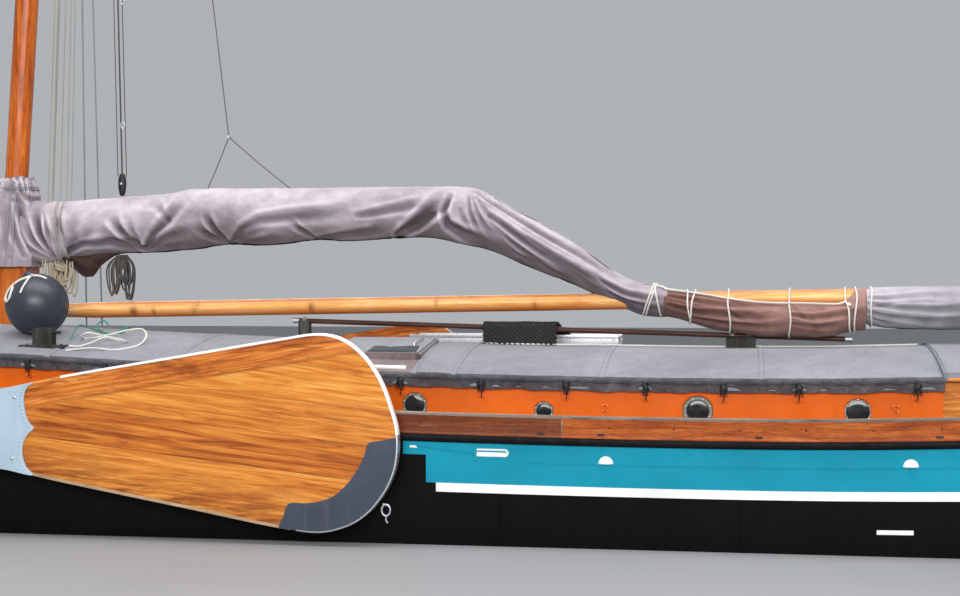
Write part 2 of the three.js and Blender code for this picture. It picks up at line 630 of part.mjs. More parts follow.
// Shrouds and forestay, held at the hounds and ending above their fastenings on the hull
const rake = deg(RAKE_DEG);
const onMast = (h, out = 0, side = 0) => [
  MAST_X + h * Math.sin(rake) + out * Math.cos(rake),
  side,
  PIN_Z + h * Math.cos(rake) - out * Math.sin(rake),
];
const CHAIN_Y = 1.895;
const CHAINS = [MAST_X - 0.1, MAST_X + 0.08];
const SHROUD_LOW = 1.98;
const WIRE = 0.009;
for (const { side, y } of SIDES) {
  const top = onMast(HOUNDS, 0, y * 0.12);
  const wires = CHAINS.map((x) => bar([x, y * CHAIN_Y, SHROUD_LOW], top, WIRE, WIRE, 8));
  const eye = bar(onMast(HOUNDS - 0.05, 0, y * 0.126), onMast(HOUNDS + 0.05, 0, y * 0.126), 0.02, 0.02, 8);
  const clearOfMast = raked(bar([0, 0, HOUNDS - 1], [0, 0, HOUNDS + 1], 0.1154, 0.1154, 32));
  piece(`shrouds_${side}`, join(...wires, eye).subtract(clearOfMast), PAINT.wire);
  const plates = CHAINS.map((x) =>
    join(
      box(x - 0.02, x + 0.02, y < 0 ? -1.99 : 1.9, y < 0 ? -1.9 : 1.99, 1.2, 1.86),
      bar([x, y * CHAIN_Y, 1.79], [x, y * CHAIN_Y, SHROUD_LOW - 0.012], 0.016, 0.016, 10),
    ),
  );
  const strap = y < 0 ? box(CHAINS[0], CHAINS[1], -1.975, -1.9, 1.2, 1.26) : box(CHAINS[0], CHAINS[1], 1.9, 1.975, 1.2, 1.26);
  const clear = join(aroundHull, deckSlab(STRAKE_LOW - 0.001, RAIL_TOP + GAP, 0.0354));
  piece(`chainplates_${side}`, join(...plates, strap).subtract(clear), PAINT.steel);
}
const stayTop = onMast(HOUNDS, -0.13);
const stayFoot = [-9.3, 0, 2.58];
piece(
  "forestay",
  join(
    bar(stayFoot, stayTop, 0.011, 0.011, 8),
    bar(onMast(HOUNDS - 0.05, -0.128), onMast(HOUNDS + 0.05, -0.128), 0.022, 0.022, 8),
  ).subtract(raked(bar([0, 0, HOUNDS - 1], [0, 0, HOUNDS + 1], 0.1154, 0.1154, 32))),
  PAINT.wire,
);

// Boom on its gooseneck, with the furled sails lying along it in their covers
const BOOM_SLOPE = 0.018;
const BOOM_END = 6.25;
const boomZ = (x) => BOOM_Z0 + 0.002 + BOOM_SLOPE * (x - GOOSENECK_X);
const BOOM_R = 0.075;
const boom = join(
  bar([GOOSENECK_X, 0, BOOM_Z0 - LUG_GAP + GAP], [GOOSENECK_X, 0, BOOM_Z0 + LUG_GAP - GAP], 0.045, 0.045, 16),
  bar([GOOSENECK_X, 0, BOOM_Z0], [-3.28, 0, boomZ(-3.28)], 0.03),
  bar([-3.3, 0, boomZ(-3.3)], [-2.9, 0, boomZ(-2.9)], 0.06, BOOM_R, 20),
  bar([-2.9, 0, boomZ(-2.9)], [4.5, 0, boomZ(4.5)], BOOM_R, BOOM_R, 20),
  bar([4.5, 0, boomZ(4.5)], [BOOM_END, 0, boomZ(BOOM_END)], BOOM_R, 0.055, 20),
);
piece("boom", boom, PAINT.spar);

// A cover whose cross-section at each x is an oval between low and high.
const OVAL_SIDES = 18;
function oval(rows) {
  const xs = rows.map(([x]) => x);
  const section = (x) => {
    const [, y, low, high, half] = rows[xs.indexOf(x)];
    const middle = (low + high) / 2;
    const tall = (high - low) / 2;
    return Array.from({ length: OVAL_SIDES }, (_, i) => {
      const turn = (2 * Math.PI * i) / OVAL_SIDES;
      return [y + half * Math.sin(turn), middle - tall * Math.cos(turn)];
    });
  };
  return alongX(xs, section);
}
const aroundBoom = join(
  bar([-3.4, 0, boomZ(-3.4)], [4.5, 0, boomZ(4.5)], BOOM_R + GAP, BOOM_R + GAP, 20),
  bar([4.5, 0, boomZ(4.5)], [BOOM_END + 1, 0, boomZ(BOOM_END + 1)], BOOM_R + GAP, 0.0438, 20),
);
// x, y of the middle, low, high, half width
const foreRows = [
  [-3.2, 0, 2.85, 3.4, 0.13], [-3.0, 0, 2.86, 3.41, 0.17], [-2.59, 0, 2.92, 3.45, 0.2], [-2.09, 0, 2.94, 3.47, 0.22],
  [-1.6, 0, 2.99, 3.515, 0.23], [-0.73, 0, 3.02, 3.512, 0.24], [0.07, 0, 3.05, 3.51, 0.24], [0.69, 0, 2.99, 3.5, 0.23],
  [0.83, 0, 2.95, 3.465, 0.22], [1.1, 0, 2.84, 3.297, 0.2], [1.57, 0, 2.655, 3.045, 0.18], [1.81, 0, 2.545, 2.876, 0.16],
  [2.04, 0, 2.45, 2.714, 0.14], [2.24, 0, 2.37, 2.63, 0.13], [2.49, 0, 2.345, 2.6, 0.12],
];
piece("sail_cover_fore", oval(foreRows).subtract(aroundBoom), PAINT.cover);
const BROWN_Y = -0.02;
const brownRows = [
  [2.5, BROWN_Y, 2.35, 2.585, 0.11], [2.6, BROWN_Y, 2.315, 2.575, 0.12], [2.8, BROWN_Y, 2.255, 2.56, 0.14],
  [3.02, BROWN_Y, 2.215, 2.56, 0.155], [3.34, BROWN_Y, 2.19, 2.565, 0.16], [3.7, BROWN_Y, 2.19, 2.57, 0.16],
  [3.98, BROWN_Y, 2.19, 2.58, 0.15], [4.2, BROWN_Y, 2.225, 2.585, 0.14],
];
piece("sail_furled", oval(brownRows).subtract(aroundBoom), PAINT.brown);
const aftRows = [
  [4.21, 0, 2.265, 2.585, 0.15], [4.37, 0, 2.245, 2.6, 0.16], [5.0, 0, 2.24, 2.605, 0.17],
  [5.7, 0, 2.26, 2.61, 0.16], [6.1, 0, 2.3, 2.62, 0.13],
];
piece("sail_cover_aft", oval(aftRows).subtract(aroundBoom), PAINT.cover);

// Collar of the sail cover, wrapped round the mast well
const collarRows = [
  [2.82, 0.215, 0.19], [2.95, 0.225, 0.2], [3.15, 0.225, 0.2], [3.26, 0.215, 0.19], [3.31, 0.2, 0.175],
];
const collarRings = collarRows.map(([z, halfX, halfY]) =>
  Array.from({ length: 20 }, (_, i) => {
    const turn = (2 * Math.PI * i) / 20;
    const square = (v) => Math.sign(v) * Math.abs(v) ** 0.6;
    return [MAST_X + halfX * square(Math.cos(turn)), halfY * square(Math.sin(turn)), z];
  }),
);
const collar = skin(collarRings, fill(collarRings[0])).subtract(
  box(MAST_X - COLUMN_X - GAP, MAST_X + COLUMN_X + GAP, -COLUMN_Y - GAP, COLUMN_Y + GAP, 1, 4),
);
piece("cover_collar", collar, PAINT.cover);

// Things that lie on the trunk roof
const poleLine = (x) => 2.29 - 0.0298 * (x + 0.955);
const pole = join(
  bar([-0.955, 0, poleLine(-0.955)], [4.09, 0, poleLine(4.09)], 0.024, 0.024, 12),
  box(3.0, 3.26, -0.09, 0.09, 1.95, 2.16),
  box(-0.9, -0.8, -0.05, 0.05, 1.95, 2.275),
);
piece("pole", onRoof(pole), PAINT.darkSpar);
const FENDER = { x: -3.14, y: -0.74, z: 2.439, r: 0.28 };
piece(
  "fender",
  onRoof(solid(new THREE.SphereGeometry(FENDER.r, 24, 16).rotateX(Math.PI / 2).translate(FENDER.x, FENDER.y, FENDER.z))),
  PAINT.rubber,
);
const post = join(box(-3.0, -2.82, -1.16, -1.02, 1.9, 2.24), box(-3.12, -2.7, -1.17, -1.01, 1.9, 2.09));
piece("mooring_post", onRoof(post), PAINT.darkSpar);

// Two loose mooring lines that lie in bights on the roof beside the post
const roofTop = (x, y) => sheerLine(x) + camber(y, EDGE_TOP, CROWN, ROOF_HALF);
const lineOnRoof = (points, lift) =>
  points.map(([x, y]) => new THREE.Vector3(x, y, roofTop(x, y) + lift));
const LINES = [
  {
    name: "line_white",
    r: 0.008,
    lift: 0.0088,
    steps: 88,
    paint: PAINT.whiteRope,
    points: [
      [-2.69, -1.06], [-2.6, -1.06], [-2.5, -1.04], [-2.38, -1.0], [-2.27, -0.94], [-2.24, -0.86], [-2.3, -0.8],
      [-2.42, -0.8], [-2.5, -0.86], [-2.58, -0.92], [-2.66, -0.88], [-2.66, -0.78], [-2.58, -0.7], [-2.46, -0.67],
      [-2.32, -0.67], [-2.16, -0.7], [-2.08, -0.8], [-2.09, -0.92], [-2.16, -1.03], [-2.27, -1.11], [-2.42, -1.17],
      [-2.58, -1.19], [-2.66, -1.2],
    ],
  },
  {
    name: "line_green",
    r: 0.007,
    lift: 0.0069,
    steps: 88,
    paint: PAINT.greenRope,
    points: [
      [-2.75, -0.93], [-2.76, -0.82], [-2.76, -0.68], [-2.72, -0.56], [-2.62, -0.47], [-2.49, -0.45], [-2.38, -0.49],
      [-2.34, -0.57], [-2.4, -0.62], [-2.5, -0.6], [-2.6, -0.6], [-2.65, -0.54], [-2.6, -0.5], [-2.54, -0.53],
    ],
  },
];
for (const { name, r, lift, steps, paint, points } of LINES) {
  const ring = Array.from({ length: 6 }, (_, i) => [r * Math.cos((i * Math.PI) / 3), r * Math.sin((i * Math.PI) / 3)]);
  const path = new THREE.CatmullRomCurve3(lineOnRoof(points, lift));
  piece(
    name,
    solid(new THREE.ExtrudeGeometry(outline(ring), { steps, extrudePath: path, bevelEnabled: false })),
    paint,
  );
}
const gangway = join(
  box(0.0, 2.0, 0.62, 0.66, 1.9, 2.15),
  box(0.0, 2.0, 1.1, 1.14, 1.85, 2.15),
  box(0.01, 1.99, 0.65, 1.11, 2.1, 2.135),
  box(0.64, 1.39, 0.68, 1.08, 2.12, 2.2),
);
piece("gangway", onRoof(gangway), PAINT.gangway);

// Windlass and mooring bollards on the foredeck and the stern deck
const WINDLASS = { x: -7.9, z: 2.3 };
const AXLE_R = 0.028;
const cheek = (y0, y1) =>
  plateXZ([[-8.12, 1.5], [-7.68, 1.5], [-7.78, 2.4], [-8.02, 2.4]], y0, y1);
const windlassFrame = seatOnDeck(
  join(cheek(-0.42, -0.37), cheek(0.37, 0.42), box(-8.06, -8.0, -0.4, 0.4, 1.7, 2.1)),
).subtract(bore([WINDLASS.x, -1, WINDLASS.z], [WINDLASS.x, 1, WINDLASS.z], AXLE_R));
piece("windlass_frame", windlassFrame, PAINT.steel);
const windlassDrum = join(
  bar([WINDLASS.x, -0.56, WINDLASS.z], [WINDLASS.x, 0.56, WINDLASS.z], AXLE_R, AXLE_R, 16),
  bar([WINDLASS.x, -0.355, WINDLASS.z], [WINDLASS.x, 0.355, WINDLASS.z], 0.1, 0.1, 20),
  bar([WINDLASS.x, -0.56, WINDLASS.z], [WINDLASS.x, -0.43, WINDLASS.z], 0.08, 0.06, 16),
  bar([WINDLASS.x, 0.43, WINDLASS.z], [WINDLASS.x, 0.56, WINDLASS.z], 0.06, 0.08, 16),
);
piece("windlass_drum", windlassDrum, PAINT.strake);
const bollard = (x, y) =>
  seatOnDeck(
    join(
      box(x - 0.25, x + 0.25, y - 0.09, y + 0.09, 1.3, DECK_TOP + sheer(x) + 0.04),
      bar([x - 0.14, y, 1.3], [x - 0.14, y, DECK_TOP + sheer(x) + 0.27], 0.06, 0.065, 14),
      bar([x + 0.14, y, 1.3], [x + 0.14, y, DECK_TOP + sheer(x) + 0.27], 0.06, 0.065, 14),
    ),
  );
for (const { side, y } of SIDES) {
  piece(`bollard_fore_${side}`, bollard(-7.0, y * 1.05), PAINT.strake);
  piece(`bollard_aft_${side}`, bollard(8.0, y * 0.85), PAINT.strake);
}

boat.scale.setScalar(MM_PER_M);
export default boat;
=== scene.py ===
import json
import math

import bmesh
import bpy
from mathutils import Matrix, Vector, noise

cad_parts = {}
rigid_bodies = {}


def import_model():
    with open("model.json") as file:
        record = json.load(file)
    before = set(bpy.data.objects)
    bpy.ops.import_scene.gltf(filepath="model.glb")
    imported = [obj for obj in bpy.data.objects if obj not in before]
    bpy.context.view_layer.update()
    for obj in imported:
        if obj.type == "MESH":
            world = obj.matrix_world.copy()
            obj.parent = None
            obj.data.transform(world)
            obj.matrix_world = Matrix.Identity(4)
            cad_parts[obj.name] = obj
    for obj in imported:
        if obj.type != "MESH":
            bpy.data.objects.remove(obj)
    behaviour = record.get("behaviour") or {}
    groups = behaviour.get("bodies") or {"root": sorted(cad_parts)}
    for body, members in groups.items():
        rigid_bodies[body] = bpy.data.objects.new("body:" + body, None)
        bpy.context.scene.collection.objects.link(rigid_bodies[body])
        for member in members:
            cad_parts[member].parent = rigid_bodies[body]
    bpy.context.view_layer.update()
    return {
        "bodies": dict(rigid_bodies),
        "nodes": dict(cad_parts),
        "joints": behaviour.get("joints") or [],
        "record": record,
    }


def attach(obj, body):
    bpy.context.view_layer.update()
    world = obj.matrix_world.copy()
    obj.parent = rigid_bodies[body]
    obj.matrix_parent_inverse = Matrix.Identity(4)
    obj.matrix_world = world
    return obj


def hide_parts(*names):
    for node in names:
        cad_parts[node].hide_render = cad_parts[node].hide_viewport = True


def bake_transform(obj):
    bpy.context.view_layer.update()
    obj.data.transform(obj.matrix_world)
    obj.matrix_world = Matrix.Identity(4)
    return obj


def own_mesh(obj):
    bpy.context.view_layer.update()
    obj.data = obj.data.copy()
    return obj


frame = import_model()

NODES = frame["nodes"]
SIDES = {"port": -1, "starboard": 1}

# Values shared with the CAD source, in metres
WATER_Z = 0.55
BOW, STERN = -9.3, 9.3
MID_FORE, MID_AFT = -5.0, 4.7
FULLNESS = 2.3
SIDE_TOP = 1.37
DECK_TOP = 1.41
HULL_WALL = 0.07
STATIONS = [
    -9.3, -9.26, -9.14, -8.94, -8.66, -8.3, -7.8, -7.2, -6.5, -5.8, -5, -4, -3, -2, -1, 0, 1, 2, 3, 3.85,
    4.7, 5.6,
    6.5, 7.3, 8, 8.55, 8.94, 9.16, 9.26, 9.3,
]
# z, half width, bow, stern, rise with the sheer
LEVELS = [
    (0.0, 1.45, -7.4, 7.1, 0.0),
    (0.06, 1.62, -7.9, 7.35, 0.0),
    (0.18, 1.75, -8.45, 7.65, 0.05),
    (0.38, 1.84, -8.85, 8.0, 0.15),
    (0.75, 1.9, -9.15, 8.8, 0.5),
    (1.37, 1.925, -9.3, 9.3, 1.0),
]
TRUNK_FORE, TRUNK_AFT = -4.55, 4.7
ROOF_FORE = -4.65
EDGE_TOP, CROWN, ROOF_HALF = 1.837, 2.055, 1.42
ROEF_EDGE, ROEF_CROWN, ROEF_LOW = 1.925, 2.1, 1.86
MAST_X, PIN_Z, RAKE = -3.7, 3.45, math.radians(3.6)
HOUNDS = 8.6
GOOSENECK_X, BOOM_Z0, BOOM_SLOPE = -3.44, 2.371, 0.018
CHAIN_Y, SHROUD_LOW = 1.895, 1.98
CHAINS = [MAST_X - 0.1, MAST_X + 0.08]
STAY_FOOT = (-9.3, 0, 2.58)

EYE, LENS_MM, DOWN_DEG, TURN_DEG = (3.19, -14.33, 2.58), 60, 0.32, 9.5
FLOOR_REACH = 70
LAMP_AIM = (0.5, 0, 1.8)
# x, y, z, width, height, watts, warmth
LAMPS = [
    (1.5, -4, 20, 26, 12, 4300, 1.0),
    (4, -22, 9, 20, 8, 4200, 1.02),
    (-6, 13, 12, 16, 8, 900, 0.98),
]


def sheer(x):
    return (0.00428 if x < 3 else 0.0101) * (x - 3) ** 2


def sheer_line(x):
    """The sheer as straight runs between the stations, as the trunk roof follows it."""
    for a, b in zip(STATIONS, STATIONS[1:]):
        if x <= b or b == STERN:
            return sheer(a) + (sheer(b) - sheer(a)) * (x - a) / (b - a)


def camber(y, edge=EDGE_TOP, crown=CROWN):
    return edge + (crown - edge) * (1 - (y / ROOF_HALF) ** 2)


def roof_top(x, y):
    return sheer_line(x) + camber(y)


def boom_z(x):
    return BOOM_Z0 + 0.002 + BOOM_SLOPE * (x - GOOSENECK_X)


def on_mast(h, out=0.0, side=0.0):
    """Point at height h above the mast pin, out aft of the mast's axis."""
    return Vector((
        MAST_X + h * math.sin(RAKE) + out * math.cos(RAKE),
        side,
        PIN_Z + h * math.cos(RAKE) - out * math.sin(RAKE),
    ))


def catmull(points, per=8, closed=False):
    """Centripetal spline through the points, with per steps in each span."""
    pts = [Vector(p) for p in points]
    if closed:
        pts = [pts[-1], *pts, pts[0], pts[1]]
    else:
        pts = [pts[0] * 2 - pts[1], *pts, pts[-1] * 2 - pts[-2]]
    out = []
    for i in range(len(pts) - 3):
        p = pts[i:i + 4]
        t = [0.0]
        for a, b in zip(p, p[1:]):
            t.append(t[-1] + max((b - a).length ** 0.5, 1e-6))
        for k in range(per):
            s = t[1] + (t[2] - t[1]) * k / per
            a1 = p[0] * ((t[1] - s) / (t[1] - t[0])) + p[1] * ((s - t[0]) / (t[1] - t[0]))
            a2 = p[1] * ((t[2] - s) / (t[2] - t[1])) + p[2] * ((s - t[1]) / (t[2] - t[1]))
            a3 = p[2] * ((t[3] - s) / (t[3] - t[2])) + p[3] * ((s - t[2]) / (t[3] - t[2]))
            b1 = a1 * ((t[2] - s) / (t[2] - t[0])) + a2 * ((s - t[0]) / (t[2] - t[0]))
            b2 = a2 * ((t[3] - s) / (t[3] - t[1])) + a3 * ((s - t[1]) / (t[3] - t[1]))
            out.append(b1 * ((t[2] - s) / (t[2] - t[1])) + b2 * ((s - t[1]) / (t[2] - t[1])))
    if not closed:
        out.append(pts[-2].copy())
    return out


def angles(count):
    """Angles of count even steps once round."""
    return [2 * math.pi * k / count for k in range(count)]


def rounded(value, power):
    """Sine or cosine bent so that a circle turns into a rounded box."""
    return math.copysign(abs(value) ** power, value)


def wobble(x, y, z):
    return noise.noise(Vector((x, y, z)))


def smooth_step(a, b, x):
    t = min(max((x - a) / (b - a), 0.0), 1.0)
    return t * t * (3 - 2 * t)


def table_at(rows, x):
    """Rows of (x, values...) joined smoothly, read at x."""
    if x <= rows[0][0]:
        return list(rows[0][1:])
    if x >= rows[-1][0]:
        return list(rows[-1][1:])
    i = next(k for k in range(len(rows) - 1) if x <= rows[k + 1][0])
    a, b = rows[i], rows[i + 1]
    before, after = rows[max(i - 1, 0)], rows[min(i + 2, len(rows) - 1)]
    h = b[0] - a[0]
    t = (x - a[0]) / h
    out = []
    for k in range(1, len(a)):
        slope = (b[k] - a[k]) / h
        left = (b[k] - before[k]) / (b[0] - before[0])
        right = (after[k] - a[k]) / (after[0] - a[0])
        limit = 3 * abs(slope)
        left = max(-limit, min(limit, left)) if left * slope > 0 else 0.0
        right = max(-limit, min(limit, right)) if right * slope > 0 else 0.0
        out.append(
            a[k] * (2 * t ** 3 - 3 * t ** 2 + 1) + h * left * (t ** 3 - 2 * t ** 2 + t)
            + b[k] * (3 * t ** 2 - 2 * t ** 3) + h * right * (t ** 3 - t ** 2)
        )
    return out


def hull_at(s, z):
    """Half of the hull at station s and level z: x, half width, height."""
    half, bow, stern, rise = table_at(LEVELS, z)
    x = s
    if s < MID_FORE:
        x = MID_FORE + (s - MID_FORE) * (bow - MID_FORE) / (BOW - MID_FORE)
    if s > MID_AFT:
        x = MID_AFT + (s - MID_AFT) * (stern - MID_AFT) / (STERN - MID_AFT)
    u = min(max(0.0, (s - MID_FORE) / (BOW - MID_FORE), (s - MID_AFT) / (STERN - MID_AFT)), 1.0)
    y = half * max(1 - u ** FULLNESS, 0.0) ** (1 / FULLNESS)
    return x, y, z + rise * sheer(x)


def hull_out(s, z, out, side):
    """Point out metres outside the hull's skin on one side."""
    step = 0.01
    s = min(max(s, BOW + 0.004), STERN - 0.004)
    here = Vector(hull_at(s, z))
    along = Vector(hull_at(min(s + step, STERN), z)) - Vector(hull_at(max(s - step, BOW), z))
    up = Vector(hull_at(s, min(z + step, SIDE_TOP))) - Vector(hull_at(s, max(z - step, 0)))
    normal = up.cross(along).normalized()
    if normal.y < 0:
        normal.negate()
    p = here + normal * out
    return Vector((p.x, side * p.y, p.z))


def ends_spaced(steps):
    """Stations from bow to stern, close together where the hull turns in."""
    out = []
    for i in range(steps + 1):
        t = i / steps
        if t < 0.3:
            out.append(MID_FORE + (BOW - MID_FORE) * math.sin((1 - t / 0.3) * math.pi / 2))
        elif t > 0.7:
            out.append(MID_AFT + (STERN - MID_AFT) * math.sin((t - 0.7) / 0.3 * math.pi / 2))
        else:
            out.append(MID_FORE + (MID_AFT - MID_FORE) * (t - 0.3) / 0.4)
    return out


# Camera, floor and light
def make_stage():
    camera = bpy.data.cameras.new("camera")
    camera.sensor_width = 36
    camera.lens = LENS_MM
    camera.clip_end = 400
    eye = bpy.data.objects.new("camera", camera)
    eye.location = EYE
    eye.rotation_euler = (math.radians(90 - DOWN_DEG), 0, math.radians(TURN_DEG))
    bpy.context.scene.collection.objects.link(eye)
    bpy.context.scene.camera = eye

    floor_mesh = bpy.data.meshes.new("floor")
    signs = ((-1, -1), (1, -1), (1, 1), (-1, 1))
    corners = [(FLOOR_REACH * a, FLOOR_REACH * b, WATER_Z) for a, b in signs]
    floor_mesh.from_pydata(corners, [], [(0, 1, 2, 3)])
    floor = bpy.data.objects.new("floor", floor_mesh)
    bpy.context.scene.collection.objects.link(floor)
    look = Look("floor", rough=0.6)
    look.color(look.mix(look.noise(look.place(), 0.4, 3), (0.26, 0.265, 0.27), (0.31, 0.315, 0.32)))
    floor_mesh.materials.append(look.material)

    world = bpy.data.worlds.new("studio")
    world.use_nodes = True
    background = world.node_tree.nodes["Background"]
    background.inputs["Color"].default_value = (0.86, 0.89, 0.93, 1)
    background.inputs["Strength"].default_value = 0.5
    bpy.context.scene.world = world
    bpy.context.scene.view_settings.view_transform = "Standard"
    for i, (x, y, z, wide, tall, watts, warm) in enumerate(LAMPS):
        light = bpy.data.lights.new(f"softbox_{i}", "AREA")
        light.shape = "RECTANGLE"
        light.size, light.size_y = wide, tall
        light.energy = watts
        light.color = (min(1, warm), 0.98, min(1, 2 - warm))
        lamp = bpy.data.objects.new(f"softbox_{i}", light)
        lamp.location = (x, y, z)
        lamp.rotation_euler = (Vector(LAMP_AIM) - Vector((x, y, z))).to_track_quat("-Z", "Y").to_euler()
        bpy.context.scene.collection.objects.link(lamp)


class Look:
    """A procedural material, built up step by step."""

    def __init__(self, name, rough=0.5, metal=0.0, **fixed):
        self.material = bpy.data.materials.new(name)
        self.material.use_nodes = True
        self.tree = self.material.node_tree
        self.bsdf = self.tree.nodes["Principled BSDF"]
        self.bsdf.inputs["Roughness"].default_value = rough
        self.bsdf.inputs["Metallic"].default_value = metal
        fixed.setdefault("Specular_IOR_Level", 0.5 if metal > 0.3 else 0.14)
        for key, value in fixed.items():
            self.bsdf.inputs[key.replace("_", " ")].default_value = value * (0.3 if key == "Coat_Weight"
                else 1)
        self.height = None

    def node(self, kind, **inputs):
        made = self.tree.nodes.new(kind)
        for key, value in inputs.items():
            self.put(made.inputs[key.replace("_", " ")], value)
        return made

    def put(self, socket, value):
        if isinstance(value, bpy.types.NodeSocket):
            self.tree.links.new(value, socket)
        elif hasattr(value, "__len__") and len(value) == 3 and len(socket.default_value) == 4:
            socket.default_value = (*value, 1)
        else:
            socket.default_value = value

    def place(self, scale=(1, 1, 1), turn=(0, 0, 0), source="Object"):
        where = self.node("ShaderNodeTexCoord").outputs[source]
        mapping = self.node("ShaderNodeMapping", Vector=where)
        mapping.inputs["Scale"].default_value = scale
        mapping.inputs["Rotation"].default_value = [math.radians(a) for a in turn]
        return mapping.outputs["Vector"]

    def noise(self, where, scale, detail=3, rough=0.5, warp=0.0):
        made = self.node("ShaderNodeTexNoise", Vector=where, Scale=scale, Detail=detail, Roughness=rough)
        made.inputs["Distortion"].default_value = warp
        return made.outputs["Fac"]

    def cells(self, where, scale):
        made = self.node("ShaderNodeTexVoronoi", Vector=where, Scale=scale)
        return made.outputs["Distance"]

    def math(self, operation, a, b=0.0, c=0.0):
        made = self.tree.nodes.new("ShaderNodeMath")
        made.operation = operation
        for socket, value in zip(made.inputs, (a, b, c)):
            self.put(socket, value)
        return made.outputs[0]

    def times(self, a, b):
        return self.math("MULTIPLY", a, b)

    def plus(self, a, b):
        return self.math("ADD", a, b)

    def minus(self, a, b):
        return self.math("SUBTRACT", a, b)

    def join(self, *parts):
        made = self.tree.nodes.new("ShaderNodeCombineXYZ")
        for socket, part in zip(made.inputs, parts):
            self.put(socket, part)
        return made.outputs[0]

    def fold(self):
        """Reads the per-corner fold attribute: painted shade in the cloth's creases and shaded parts,
        painted highlight where negative, and the boom's dark knots.
        """
        made = self.node("ShaderNodeAttribute")
        made.attribute_name = "fold"
        return made.outputs["Fac"]

    def weave(self, count, strength, source="Object"):
        """Relief of a plain weave."""
        x, y, z = self.split(self.place([count] * 3, source=source))
        self.bump(self.times(self.math("SINE", x), self.math("SINE", self.plus(y, z))), 0.0004, strength)

    def spread(self, fac, low, high, out_low=0.0, out_high=1.0):
        made = self.node("ShaderNodeMapRange", Value=fac)
        for key, value in (("From Min", low), ("From Max", high), ("To Min", out_low),
                           ("To Max", out_high)):
            made.inputs[key].default_value = value
        return made.outputs["Result"]

    def ramp(self, fac, *stops):
        made = self.node("ShaderNodeValToRGB", Fac=fac)
        points = made.color_ramp.elements
        while len(points) < len(stops):
            points.new(0.5)
        for point, (at, color) in zip(points, stops):
            point.position = at
            point.color = (*color, 1)
        return made.outputs["Color"]

    def mix(self, fac, a, b, how="MIX"):
        made = self.tree.nodes.new("ShaderNodeMix")
        made.data_type = "RGBA"
        made.blend_type = how
        self.put(made.inputs["Factor"], fac)
        self.put(made.inputs[6], a)
        self.put(made.inputs[7], b)
        return made.outputs[2]

    def split(self, where):
        made = self.node("ShaderNodeSeparateXYZ", Vector=where)
        return made.outputs

    def color(self, value):
        self.put(self.bsdf.inputs["Base Color"], value)

    def rough(self, value):
        self.put(self.bsdf.inputs["Roughness"], value)

    def bump(self, height, distance, strength=1.0):
        made = self.node("ShaderNodeBump", Height=height, Strength=strength, Distance=distance)
        if self.height is not None:
            self.put(made.inputs["Normal"], self.height)
        self.height = made.outputs["Normal"]
        self.put(self.bsdf.inputs["Normal"], self.height)


def wood(name, light, mid, dark, along="x", coat=0.5, rough=0.3, source="Object", turn=(0, 0, 0), wear=0.0):
    """Varnished timber with its grain along one axis; wear lightens it in weathered patches."""
    look = Look(name, rough=rough, Coat_Weight=coat, Coat_Roughness=0.12)
    stretch = {"x": (0.7, 9, 9), "z": (9, 9, 0.7), "u": (0.7, 9, 1)}[along]
    where = look.place(stretch, turn, source)
    figure = look.noise(where, 1.6, 6, 0.62, 1.4)
    tone = look.noise(look.place([v * 0.16 for v in stretch], turn, source), 2.4, 2)
    base = look.ramp(look.plus(look.times(figure, 0.75), look.times(tone, 0.3)),
                     (0.32, dark), (0.5, mid), (0.68, light))
    fibres = look.noise(look.place([v * 7 for v in stretch], turn, source), 3.0, 4, 0.7)
    shade = look.mix(look.spread(fibres, 0.35, 0.62, 0.75, 1.0), (0, 0, 0), base)
    pores = look.spread(look.noise(look.place([v * 3 for v in stretch], turn, source), 5.0, 2, 0.5, 0.6),
                        0.6, 0.72)
    shade = look.mix(look.times(pores, 0.45), shade, [c * 0.35 for c in dark])
    if wear:
        patch = look.spread(look.noise(look.place((0.8, 2, 6), turn, source), 2.2, 5, 0.7), 0.56, 0.7, 0,
                            wear)
        shade = look.mix(patch, shade, (0.36, 0.3, 0.25))
    look.color(shade)
    look.rough(look.spread(look.noise(look.place((1, 1, 1), turn, source), 4, 3), 0.3, 0.7, rough * 0.7,
                           rough * 1.5))
    look.bump(fibres, 0.0012, 0.5)
    return look.material


def paint(name, color, rough=0.35, coat=0.2, dirt=0.35, dirt_color=(0.05, 0.045, 0.04), rust=0.0,
          dents=0.004,
          shine=0.14):
    """Brushed yacht enamel on plate, with plate waves, mottling and faint vertical streaks."""
    look = Look(name, rough=rough, Coat_Weight=coat, Coat_Roughness=0.2, Specular_IOR_Level=shine)
    mottle = look.noise(look.place(), 1.3, 4, 0.6)
    shade = look.mix(look.spread(mottle, 0.3, 0.7), [c * 0.86 for c in color],
                     [min(1, c * 1.1) for c in color])
    streak = look.noise(look.place((5, 5, 0.35)), 2.2, 5, 0.65)
    shade = look.mix(look.spread(streak, 0.55, 0.8, 0, dirt), shade, dirt_color)
    speck = look.cells(look.place(), 22)
    shade = look.mix(look.spread(speck, 0.02, 0.07, dirt * 0.6, 0), shade, dirt_color)
    if rust:
        spots = look.noise(look.place((3, 3, 1.2)), 3.1, 6, 0.75)
        shade = look.mix(look.spread(spots, 0.64, 0.75, 0, rust), shade, (0.2, 0.07, 0.02))
    look.color(shade)
    look.rough(look.spread(look.noise(look.place(), 6, 4), 0.3, 0.7, rough * 0.7, rough * 1.45))
    look.bump(look.noise(look.place((1, 1, 2.2)), 1.1, 1), dents, 0.6)
    look.bump(look.noise(look.place((14, 14, 2)), 8, 3), 0.0006, 0.35)
    return look.material


